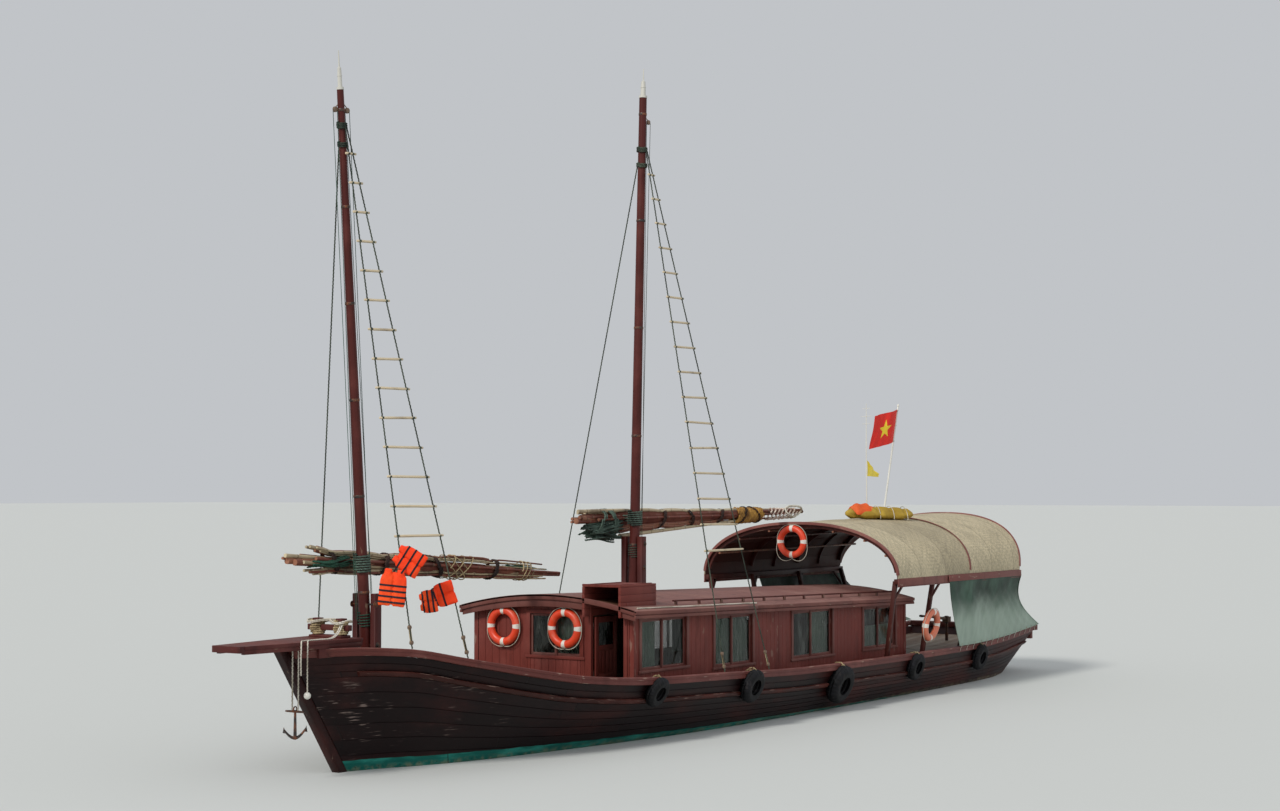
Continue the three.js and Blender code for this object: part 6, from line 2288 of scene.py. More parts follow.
        def slab(u0: float, u1: float, d0: float, d1: float, a: float, b: float, mark: float) -> None:
            """One timber of the leaf."""
            corners = [place(u0, d0, a), place(u1, d1, b)]
            low = [min(c[i] for c in corners) for i in range(3)]
            high = [max(c[i] for c in corners) for i in range(3)]
            draft.block(low, high, mark)

        slab(0, stile, 0, thick, z0, z1, 1.1)
        slab(wide - stile, wide, 0, thick, z0, z1, 2.2)
        for k, (a, b) in enumerate(((z0, z0 + 0.14), (light - 0.09, light), (z1 - 0.11, z1))):
            slab(stile + 0.0005, wide - stile - 0.0005, 0, thick, a, b, 3.3 + k)
        inner = steps(stile, wide - stile, 5)
        for k, (a, b) in enumerate(pairwise(inner)):
            slab(a + 0.0015, b - 0.0015, 0.010, thick - 0.010, z0 + 0.14, light - 0.09, 7.1 + k)


# Masts and rigging


@dataclass(frozen=True)
class Spar:
    """A raked mast: its foot, its lean, and its radius at foot and top."""

    x: float
    foot_z: float
    top_z: float
    cap_z: float
    foot: float
    top: float
    lean: float

    def at(self, z: float) -> float:
        """How far forward the mast stands at a height."""
        return self.x + self.lean * (z - self.foot_z)

    def radius(self, z: float) -> float:
        """Its radius at a height."""
        return blend(self.foot, self.top, (z - self.foot_z) / (self.top_z - self.foot_z))

    def spot(self, z: float, turn: float = 0.0, out: float = 0.0) -> tuple[float, float, float]:
        """A point beside the mast."""
        r = self.radius(z) + out
        return self.at(z) + r * cos(turn), r * sin(turn), z


FOREMAST = Spar(10.46, 1.69, 10.8, 11.4, 0.100, 0.055, 0.0787)
MAINMAST = Spar(2.75, 0.2003, 12.05, 12.6, 0.110, 0.075, -0.035)


def leant(start: Point, end: Point, count: int, sag: float = 0.0) -> list[tuple[float, float, float]]:
    """Points along a taut line, with a little sag in its middle."""
    return [(blend(start[0], end[0], u), blend(start[1], end[1], u),
             blend(start[2], end[2], u) - sag * 4 * u * (1 - u)) for u in steps(0, 1, count)]


def turns_round(spar: Spar, low: float, high: float, count: int,
                out: float) -> list[tuple[float, float, float]]:
    """Rope turns wound round a mast."""
    return [spar.spot(blend(low, high, i / (count * 16)), tau * i / 16, out) for i in range(count * 16 + 1)]


@dataclass
class Masts:
    """Both masts with their tabernacles, hoops, sheaves and mastheads."""

    def build(self) -> None:
        """Builds and dresses the masts."""
        self.mast("foremast", FOREMAST, 1.0)
        self.mast("mainmast", MAINMAST, 4.0)
        rounded("fore_tabernacle", MAST, bevel=0.012)
        rounded("main_tabernacle", MAST, bevel=0.012)
        self.tabernacle_iron()
        self.head_gear()

    def mast(self, name: str, spar: Spar, seed: float) -> None:
        """A pole with its white cap and its iron hoops."""
        self.pole(name, spar, seed)
        self.cap(name, spar)
        self.hoops(name, spar)

    def pole(self, name: str, spar: Spar, seed: float) -> None:
        """A hand-shaved pole, faintly faceted and knotty."""
        draft = Draft()
        rows, along = [], []
        for z in steps(spar.foot_z, spar.top_z, 90):
            row = []
            for a in full_turn(24):
                knot = noise.noise(Vector((cos(a) * 1.2, sin(a) * 1.2 + seed, z * 0.9)))
                shave = 0.0015 * cos(a * 12)
                r = spar.radius(z) * (0.985 + 0.012 * knot) - 0.0015 - shave
                row.append(Vector((spar.at(z) + r * cos(a), r * sin(a), z)))
            rows.append(row)
            along.append(z)
        draft.solid(rows, along, [seed + i / 24 for i in range(25)])
        draft.piece(f"{name}_pole", MAST, replaces=[name], sharp=60)

    def cap(self, name: str, spar: Spar) -> None:
        """The masthead: a shoulder, a white tube and a spike."""
        tube = spar.top * 2 / 3
        cap = Draft()
        lean = Vector((spar.lean, 0, 1))
        base = Vector((spar.at(spar.top_z), 0, spar.top_z))
        tall = (spar.cap_z - spar.top_z)
        cap.lathe(base, lean, [(-0.03, spar.top + 0.004), (0.012, spar.top + 0.004), (0.018, tube),
                               (tall * 0.3, tube * 0.94),
                               (tall * 0.305, tube * 1.06), (tall * 0.33, tube * 1.06),
                               (tall * 0.335, tube * 0.92),
                               (tall * 0.53, tube * 0.8), (tall * 0.55, tube * 0.5), (tall * 0.56, 0.013),
                               (tall * 0.8, 0.0105), (tall * 0.985, 0.008), (tall * 0.99, 0.004)], 20)
        cap.piece(f"{name}_cap", WHITE_TUBE, sharp=35)

    def hoops(self, name: str, spar: Spar) -> None:
        """Iron hoops round a mast."""
        hoops = Draft()
        for z in steps(spar.foot_z + 1.1, spar.top_z - 0.35, 6):
            r = spar.radius(z)
            outline = [(-0.022, r * 0.9), (-0.022, r + 0.002), (-0.018, r + 0.004),
                       (0.018, r + 0.004), (0.022, r + 0.002), (0.022, r * 0.9)]
            hoops.lathe(Vector((spar.at(z), 0, z)), Vector((spar.lean, 0, 1)), outline, 24)
        hoops.piece(f"{name}_hoops", IRON)

    def tabernacle_iron(self) -> None:
        """Pins that hold each mast between its posts, and wooden wedges at the roof."""
        iron = Draft()
        for spar, heights, half in ((FOREMAST, (1.95, 2.6), 0.24), (MAINMAST, (2.95, 3.4), 0.235)):
            for z in heights:
                x = spar.at(z)
                iron.tube([(x, -half - 0.028, z), (x, half + 0.028, z)], 0.016, 12)
                for side in (-1, 1):
                    iron.lathe((x, side * (half + 0.001), z), (0, side, 0),
                               [(0.0, 0.05), (0.006, 0.05), (0.008, 0.046), (0.008, 0.0)], 16)
                    iron.lathe((x, side * (half + 0.008), z), (0, side, 0),
                               [(0.0, 0.028), (0.014, 0.028), (0.016, 0.024), (0.016, 0.0)], 6)
        iron.piece("tabernacle_pins", IRON)
        wedge = Draft()
        wedge.block((0.0, -0.018, -0.05), (0.034, 0.018, 0.085))
        marks = []
        z = 2.52
        for a in full_turn(14):
            x, y, _ = MAINMAST.spot(z, a, 0.0)
            marks.append(Mark(Vector((x, y, z)), Euler((0, 0, a))))
        REPEATER.spread("mast_wedges", wedge, marks, TRIM, size_spread=0.06, turn_spread=0.02, seed=12)

    def head_gear(self) -> None:
        """Blocks at the mastheads and the halyards that come down to turns round the mast."""
        for name, spar, finish, head, low, ways in (
                ("fore", FOREMAST, GREEN_ROPE, 10.45, 2.35, (-0.35, 2.75)),
                ("main", MAINMAST, DARK_ROPE, 11.55, 3.25, (2.6, -2.6))):
            blocks = Draft()
            runs = []
            for turn in ways:
                x, y, z = spar.spot(head, turn, 0.05)
                blocks.lathe((x, y - 0.022, z), (0, 1, 0), BLOCK, 16)
                blocks.tube([(x, y, z + 0.03), (x * 0.5 + spar.at(head) * 0.5, y * 0.5, z + 0.09),
                             (spar.at(head), 0, z + 0.1)], 0.008, 8)
                foot = spar.spot(low, turn, 0.045)
                for shift in (-0.036, 0.036):
                    start = (x + shift * sin(turn), y + shift * cos(turn), z - 0.02)
                    runs.append(leant(start, (foot[0], foot[1] + shift * 0.4, foot[2]), 40, 0.0))
            blocks.piece(f"{name}_halyard_blocks", OLD_WOOD, sharp=50)
            ROPES.lay(f"{name}_halyards", runs, 0.0055, finish, lay=7.0)
            ROPES.lay(f"{name}_halyard_turns", [turns_round(spar, low - 0.10, low + 0.12, 5, 0.012)], 0.010,
                      finish)


BLOCK = [(0.0, 0.030), (0.004, 0.044), (0.012, 0.046), (0.022, 0.034), (0.032, 0.046), (0.040, 0.044),
         (0.044, 0.030)]
DEADEYE = [(0.0, 0.024), (0.008, 0.036), (0.016, 0.032), (0.024, 0.029), (0.032, 0.032), (0.040, 0.036),
           (0.048, 0.024)]


@dataclass
class Ladder:
    """A rope ladder from the rail to a collar of rope on the mast."""

    name: str
    spar: Spar
    top: float
    feet: tuple[float, float]
    count: int
    low: float
    high: float
    rope: float = 0.0125

    def ends(self) -> list[tuple[Vector, Vector]]:
        """Foot and head of both ropes."""
        found = []
        for foot, lead in zip(self.feet, (0.014, -0.014)):
            section = LINES.at(foot)
            found.append((Vector((foot, section.rail_half - 0.06, section.rail_z + 0.004)),
                          Vector((self.spar.at(self.top) + lead, self.spar.radius(self.top) + 0.022,
                                  self.top))))
        return found

    def build(self) -> None:
        """Lays the ropes, ties the rungs in and lashes the feet."""
        ropes = self.ends()
        runs = [leant(foot, head, 60, 0.012) for foot, head in ropes]
        ROPES.lay(f"{self.name}_ropes", runs, self.rope, DARK_ROPE)
        marks, knots = [], []
        for z in steps(self.low, self.high, self.count):
            a, b = [foot + (head - foot) * ((z - foot.z) / (head.z - foot.z)) for foot, head in ropes]
            run = a - b
            marks.append(Mark((a + b) / 2, Euler((0, 0, atan2(run.y, run.x))), (run.length + 0.12, 1.0, 1.0)))
            for end in (a, b):
                knots.append(Mark(end, Euler((0, 0, 0))))
        rung = Draft()
        profile = [(0.0, 0.012), (0.008, 0.0185), (0.25, 0.0215), (0.5, 0.0200), (0.78, 0.0218),
                   (0.992, 0.0185), (1.0, 0.012)]
        rung.lathe((-0.5, 0, 0), (1, 0, 0), profile, 10)
        REPEATER.spread(f"{self.name}_rungs", rung, marks, RUNGS, size_spread=0.0, turn_spread=0.02, seed=5,
                        replaces=[self.name])
        knot = Draft()
        turns = [(0.018 * cos(a) * (1 + 0.15 * sin(a * 0.5)), 0.024 * sin(a), 0.028 * (a / (tau * 3) - 0.5))
                 for a in steps(0, tau * 3, 30)]
        knot.tube(turns, 0.0085, 6)
        REPEATER.spread(f"{self.name}_seizings", knot, knots, DARK_ROPE, size_spread=0.08, turn_spread=0.3,
                        seed=6)
        self.feet_gear(ropes)
        ROPES.lay(f"{self.name}_collar", [turns_round(self.spar, self.top - 0.045, self.top + 0.05, 4, 0.018)],
                  0.016, DARK_ROPE)

    def feet_gear(self, ropes: Sequence[tuple[Vector, Vector]]) -> None:
        """A deadeye pair with lanyards at each rope's foot."""
        eyes = Draft()
        lanyards = []
        for foot, head in ropes:
            way = (head - foot).normalized()
            for step in (0.10, 0.34):
                middle = foot + way * step
                eyes.lathe(middle - Vector((0, 0.024, 0)), (0, 1, 0), DEADEYE, 18)
            for shift in (-0.022, 0.0, 0.022):
                side = Vector((shift, 0.0, 0.0))
                lanyards.append(leant(foot + way * 0.08 + side, foot + way * 0.36 + side, 8))
        eyes.piece(f"{self.name}_deadeyes", OLD_WOOD, sharp=50)
        ROPES.lay(f"{self.name}_lanyards", lanyards, 0.007, HEMP)


@dataclass
class Stay:
    """A plain shroud on the starboard side."""

    name: str
    spar: Spar
    top: float
    foot: float

    def build(self) -> None:
        """Lays the rope from the rail to its collar."""
        section = LINES.at(self.foot)
        start = Vector((self.foot, -(section.rail_half - 0.06), section.rail_z + 0.004))
        head = Vector((self.spar.at(self.top), -(self.spar.radius(self.top) + 0.02), self.top))
        piece = ROPES.lay(f"{self.name}_rope", [leant(start, head, 60, 0.01)], 0.0125, DARK_ROPE)
        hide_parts(self.name)
        ROPES.lay(f"{self.name}_collar", [turns_round(self.spar, self.top - 0.04, self.top + 0.04, 3, 0.018)],
                  0.015, DARK_ROPE)
        eye = Draft()
        eye.lathe(start + (head - start).normalized() * 0.12 - Vector((0, 0.024, 0)), (0, 1, 0),
                  [(0.0, 0.024), (0.008, 0.036), (0.024, 0.029), (0.040, 0.036), (0.048, 0.024)], 18)
        eye.piece(f"{self.name}_deadeye", OLD_WOOD, sharp=50)


@dataclass(frozen=True)
class Sheaf:
    """Some of a bundle's poles, lying together.

    Attributes:
        count: how many.
        side, height: where they lie from the bundle's middle line.
        spread: how far they scatter to the sides and up and down.
        fore, aft: where they end, each with how much that varies.
        rise: how far their fore ends stand up or hang.
        pale: the part of them that is bleached.
        thick: their least and greatest radius.
    """

    count: int
    side: float
    height: float
    spread: tuple[float, float]
    fore: tuple[float, float]
    aft: tuple[float, float]
    rise: float
    pale: float
    thick: tuple[float, float] = (0.016, 0.028)


@dataclass
class FurledSail:
    """A sail furled into a bundle of poles, battens and folded cloth, slung beside its mast."""

    name: str
    body: str
    spar: Spar
    y: float
    fore: tuple[float, float]
    aft: tuple[float, float]
    sheaves: tuple[Sheaf, ...]
    heart: tuple[float, float]
    reach: tuple[float, float, float]
    roll: tuple[float, float]
    bands: tuple[float, ...]
    parrel: float
    seed: int

    def z(self, x: float) -> float:
        """The height of the bundle's middle line."""
        return blend(self.fore[1], self.aft[1], (x - self.fore[0]) / (self.aft[0] - self.fore[0]))

    def girth(self, x: float) -> float:
        """The radius of the cloth roll at a place."""
        last = self.bands[-1]
        if x < last:
            return self.heart[1] * blend(1.0, 0.62, min(1.0, (last - x) / (last - self.aft[0])))
        first = self.bands[0]
        return blend(self.heart[0], self.heart[1], max(0.0, (first - x) / (first - last)) if x < first else 0.0)

    def tied(self, x: float) -> float:
        """How hard the lashings draw the bundle in at a place, up to 1."""
        return min(1.0, sum(exp(-((x - band) / 0.2) ** 2) for band in self.bands))

    def near(self, x: float) -> float:
        """How wide the poles lie at a place, as a part of their width at the first lashing."""
        return self.girth(x) / self.heart[0] * (1.0 - 0.16 * self.tied(x))

    def hug(self, x: float, a: float, out: float) -> tuple[float, float, float]:
        """A point just outside the poles.

        Args:
            x: where along the bundle.
            a: the turn about its middle line.
            out: how far outside the poles it lies.

        Returns:
            The point.
        """
        side, top, foot = (part * self.near(x) + out for part in self.reach)
        lift = sin(a)
        return x, self.y + side * cos(a), self.z(x) + (top if lift > 0 else foot) * lift

    def build(self) -> None:
        """Builds and dresses the bundle."""
        self.sticks()
        self.cloth()
        self.lashings()
        self.parrel_gear()

    def sticks(self) -> None:
        """Yards, booms and battens, each a little bent, with ragged ends that fan out."""
        brown, pale = Draft(), Draft()
        rng = random.Random(self.seed)
        for sheaf in self.sheaves:
            for k in range(sheaf.count):
                turn, far = tau * (k + rng.uniform(0.1, 0.9)) / sheaf.count, rng.uniform(0.35, 1.0)
                dy = sheaf.side + sheaf.spread[0] * far * cos(turn)
                dz = sheaf.height + sheaf.spread[1] * far * sin(turn)
                x0 = sheaf.fore[0] - rng.random() * sheaf.fore[1]
                x1 = sheaf.aft[0] + rng.random() * sheaf.aft[1]
                fan = rng.uniform(0.5, 1.2) * sheaf.rise
                phase, thick = rng.uniform(0, 6), rng.uniform(*sheaf.thick)
                sway = rng.uniform(-0.05, 0.05)
                count = max(8, int((x0 - x1) / 0.16))
                path, radii = [], []
                for i in range(count + 1):
                    u = i / count
                    x = blend(x0, x1, u)
                    free = max(0.0, x - self.spar.at(self.parrel) - 0.1)
                    near = self.near(x)
                    bend = 0.012 * sin(u * 4.2 + phase)
                    y = self.y + dy * near + bend * 0.5 + sway * free
                    path.append((x, y, self.z(x) + dz * near + bend + fan * free ** 1.3))
                    radii.append(thick * (1.0 - 0.3 * u) * (1.03 if i % 3 == 0 else 0.99))
                light = rng.random() < sheaf.pale
                (pale if light else brown).tube(path, radii, 9, mark=k + sheaf.height * 50)
        brown.piece(f"{self.name}_poles", CANE, self.body, replaces=[self.name], sharp=50)
        pale.piece(f"{self.name}_pale_poles", PALE_CANE, self.body, sharp=50)

    def cloth(self) -> None:
        """The folded sail inside: a long roll that bulges between the lashings."""
        draft = Draft()
        rows = []
        for x in steps(self.roll[0], self.roll[1], 150):
            u = (x - self.roll[0]) / (self.roll[1] - self.roll[0])
            ends = taper(u, 6.0, 0.25)
            row = []
            for a in full_turn(26):
                fold = noise.noise(Vector((cos(a) * 2.2, sin(a) * 2.2, x * 0.8 + self.seed)))
                crease = abs(noise.noise(Vector((a * 1.5, x * 2.6, self.seed * 1.7)))) - 0.2
                r = self.girth(x) * (0.98 - 0.14 * self.tied(x) + 0.24 * fold + 0.12 * crease) * ends
                row.append(Vector((x, self.y + r * cos(a), self.z(x) + r * sin(a) * 1.06)))
            rows.append(row)
        draft.solid(rows)
        roll = draft.piece(f"{self.name}_cloth", SAIL, self.body, sharp=180)
        swollen(roll, 0.028, 0.012)

    def winding(self, x0: float, x1: float, turns: float, out: float,
                slant: float = 0.0) -> list[tuple[float, ...]]:
        """A run of rope wound close round the bundle.

        Args:
            x0: where it starts.
            x1: where it ends.
            turns: how many times it goes round.
            out: how far outside the poles it lies.
            slant: how far the top of each turn lies behind its foot.

        Returns:
            The points of the run.
        """
        run = []
        for i in range(int(turns * 18) + 1):
            a = tau * i / 18
            x = blend(x0, x1, i / (turns * 18)) - slant * sin(a)
            run.append(self.hug(x, a, out + 0.006 * sin(i * 1.7)))
        return run

    def lashings(self) -> None:
        """Slanting rope turns round the bundle at each lashing."""
        runs = [self.winding(band + 0.05, band - 0.05, 4, 0.006, 0.10 if k % 2 else -0.07) for k,
                band in enumerate(self.bands)]
        ROPES.lay(f"{self.name}_lashings", runs, 0.0125, TARRED_ROPE, self.body)

    def parrel_gear(self) -> None:
        """The rope parrel round the mast, with its arms of rope to the bundle."""
        z, x = self.parrel, self.spar.at(self.parrel)
        runs = [turns_round(self.spar, z - 0.13, z + 0.15, 7, 0.032)]
        for k, lift in enumerate((-0.05, 0.0, 0.05)):
            runs.append(leant((x + 0.03 * k - 0.03, self.y + 0.06, z + lift),
                              (x + 0.03 * k - 0.03, -self.spar.radius(z) - 0.02, z + lift), 10))
        ROPES.lay(f"{self.name}_parrel", runs, 0.0165, MOSS_ROPE, self.body)

    def hank(self, name: str, finish: "Finish", near: tuple[float, ...], far: tuple[float, ...], loops: int,
             radius: float) -> None:
        """A mass of rope doubled back and forth along the bundle.

        Args:
            name: the piece's name.
            finish: the rope's finish.
            near: place along, sideways, height, half width and half height of its thick end.
            far: the same of its thin end.
            loops: how many times it is doubled.
            radius: the rope's radius.
        """
        rng = random.Random(self.seed + 3)
        mass = []
        for _ in range(loops):
            turn, back, far_part = rng.uniform(0, tau), rng.uniform(0.2, 1.1), rng.uniform(0.45, 1.0)
            depth, wave, phase = rng.uniform(0.55, 1.0), rng.uniform(0.05, 0.14), rng.uniform(0, tau)
            run = []
            for u in steps(0, 1, 40):
                go = far_part * (1.0 - abs(2 * u - 1) ** 1.5)
                x, y, z, wide, tall = (blend(a, b, go) for a, b in zip(near, far))
                a = turn + back * u + wave * sin(11 * u + phase)
                run.append((x, y + wide * depth * cos(a),
                            z + tall * depth * sin(a) + 0.02 * sin(7 * go + phase)))
            mass.append(run)
        ROPES.lay(name, mass, radius, finish, self.body)


@dataclass
class ForeSail(FurledSail):
    """The foresail's bundle: bleached and brown poles that fan out ahead of the mast."""

    def build(self) -> None:
        """Adds green rope along the poles ahead of the mast and slack turns of pale rope behind it."""
        super().build()
        z = self.z(10.6)
        self.hank("fore_sail_green_rope", GREEN_ROPE, (10.66, self.y + 0.10, z + 0.04, 0.10, 0.085),
                  (11.62, self.y + 0.12, z + 0.01, 0.05, 0.035), 13, 0.013)
        self.hank("fore_sail_green_line", GREEN_ROPE, (6.3, self.y, self.z(6.3) + 0.10, 0.07, 0.02),
                  (4.9, self.y, self.z(4.9) + 0.05, 0.05, 0.02), 4, 0.010)
        crossed = [self.winding(8.05, 7.45, 2.5, 0.012, 0.24), self.winding(7.6, 8.1, 2.5, 0.014, -0.22),
                   self.winding(5.95, 5.6, 3, 0.010, 0.10)]
        ROPES.lay("fore_sail_bindings", crossed, 0.010, HEMP, self.body)


@dataclass
class MainSail(FurledSail):
    """The mainsail's bundle: red-brown poles, a pale boom, and wrappings towards its after end."""

    def build(self) -> None:
        """Adds the green rope at the mast, the wrappings and the loop at the after end."""
        super().build()
        self.hank("main_sail_green_rope", MOSS_ROPE, (2.72, self.y, 3.72, 0.20, 0.29),
                  (3.95, self.y + 0.02, 3.60, 0.09, 0.10), 40, 0.017)
        turns = [self.winding(3.06, 2.92, 3, 0.012, -0.06), self.winding(3.3, 3.42, 2, 0.008, 0.08)]
        ROPES.lay("main_sail_green_turns", turns, 0.016, MOSS_ROPE, self.body)
        ROPES.lay("main_sail_straw_wrapping", [self.winding(-1.75, -2.80, 20, 0.004, 0.05)], 0.029, STRAW_WRAP,
                  self.body)
        ROPES.lay("main_sail_wrapping_lines",
                  [self.winding(-1.95, -2.05, 2, 0.036, 0.16), self.winding(-2.5, -2.58, 2, 0.036, -0.12)],
                  0.010, TARRED_ROPE, self.body)
        ROPES.lay("main_sail_pale_wrapping", [self.winding(-3.15, -4.35, 7, -0.006, 0.13)],
                  0.020, PALE_WRAP, self.body)
        x, z = self.aft[0] + 0.33, self.z(self.aft[0] + 0.33)
        loop = [(x + 0.36 - 0.42 * cos(a) * 0.8, self.y + 0.10 + 0.05 * sin(a * 2), z + 0.005 + 0.12 * sin(a))
                for a in steps(0, tau * 1.9, 60)]
        ROPES.lay("main_sail_end_loop", [loop], 0.022, WHITE_ROPE, self.body)
        boom = Draft()
        boom.tube([(x, self.y + 0.03, blend(3.545, 3.80, (2.62 - x) / 4.7)) for x in steps(2.62, -2.08, 30)],
                  [blend(0.040, 0.024, u) for u in steps(0, 1, 30)], 12, mark=3)
        boom.piece("main_sail_boom", PALE_CANE, self.body, sharp=50)


def sails() -> list[FurledSail]:
    """Both furled sails."""
    fore = (Sheaf(8, 0.0, 0.165, (0.115, 0.050), (11.5, 0.35), (5.0, 2.2), 0.085, 0.85),
            Sheaf(11, 0.0, 0.02, (0.135, 0.085), (12.0, 0.70), (4.62, 1.6), 0.025, 0.62, (0.018, 0.034)),
            Sheaf(8, 0.0, -0.120, (0.110, 0.045), (11.55, 0.40), (4.95, 2.2), -0.06, 0.6),
            Sheaf(3, 0.0, 0.0, (0.06, 0.05), (11.95, 0.3), (4.62, 0.5), 0.0, 0.3, (0.045, 0.055)))
    main = (Sheaf(4, 0.0, 0.135, (0.09, 0.02), (4.1, 0.5), (-3.6, 1.2), 0.0, 0.8, (0.026, 0.034)),
            Sheaf(13, 0.0, 0.02, (0.165, 0.105), (4.2, 0.9), (-4.8, 1.6), 0.0, 0.08, (0.022, 0.036)),
            Sheaf(9, 0.0, -0.20, (0.105, 0.075), (3.3, 0.8), (-4.0, 3.2), -0.02, 0.15, (0.020, 0.032)),
            Sheaf(2, 0.0, 0.0, (0.05, 0.05), (4.15, 0.2), (-4.82, 0.3), 0.0, 0.0, (0.055, 0.062)))
    first = ForeSail("fore_sail_bundle", "fore_sail", FOREMAST, -0.36, (12.0, 3.33), (4.6, 2.89), fore,
                     (0.105, 0.098),
                     (0.165, 0.225, 0.185), (10.35, 5.6), (10.95, 9.7, 8.3, 6.7), 3.2470, 3)
    second = MainSail("main_sail_bundle", "main_sail", MAINMAST, -0.39, (4.2, 3.87), (-4.85, 3.96), main,
                      (0.145, 0.105),
                      (0.190, 0.165, 0.280), (3.5, -3.6), (2.15, 1.15, 0.1, -1.1), 3.8849, 8)
    return [first, second]


# Awning and side curtains


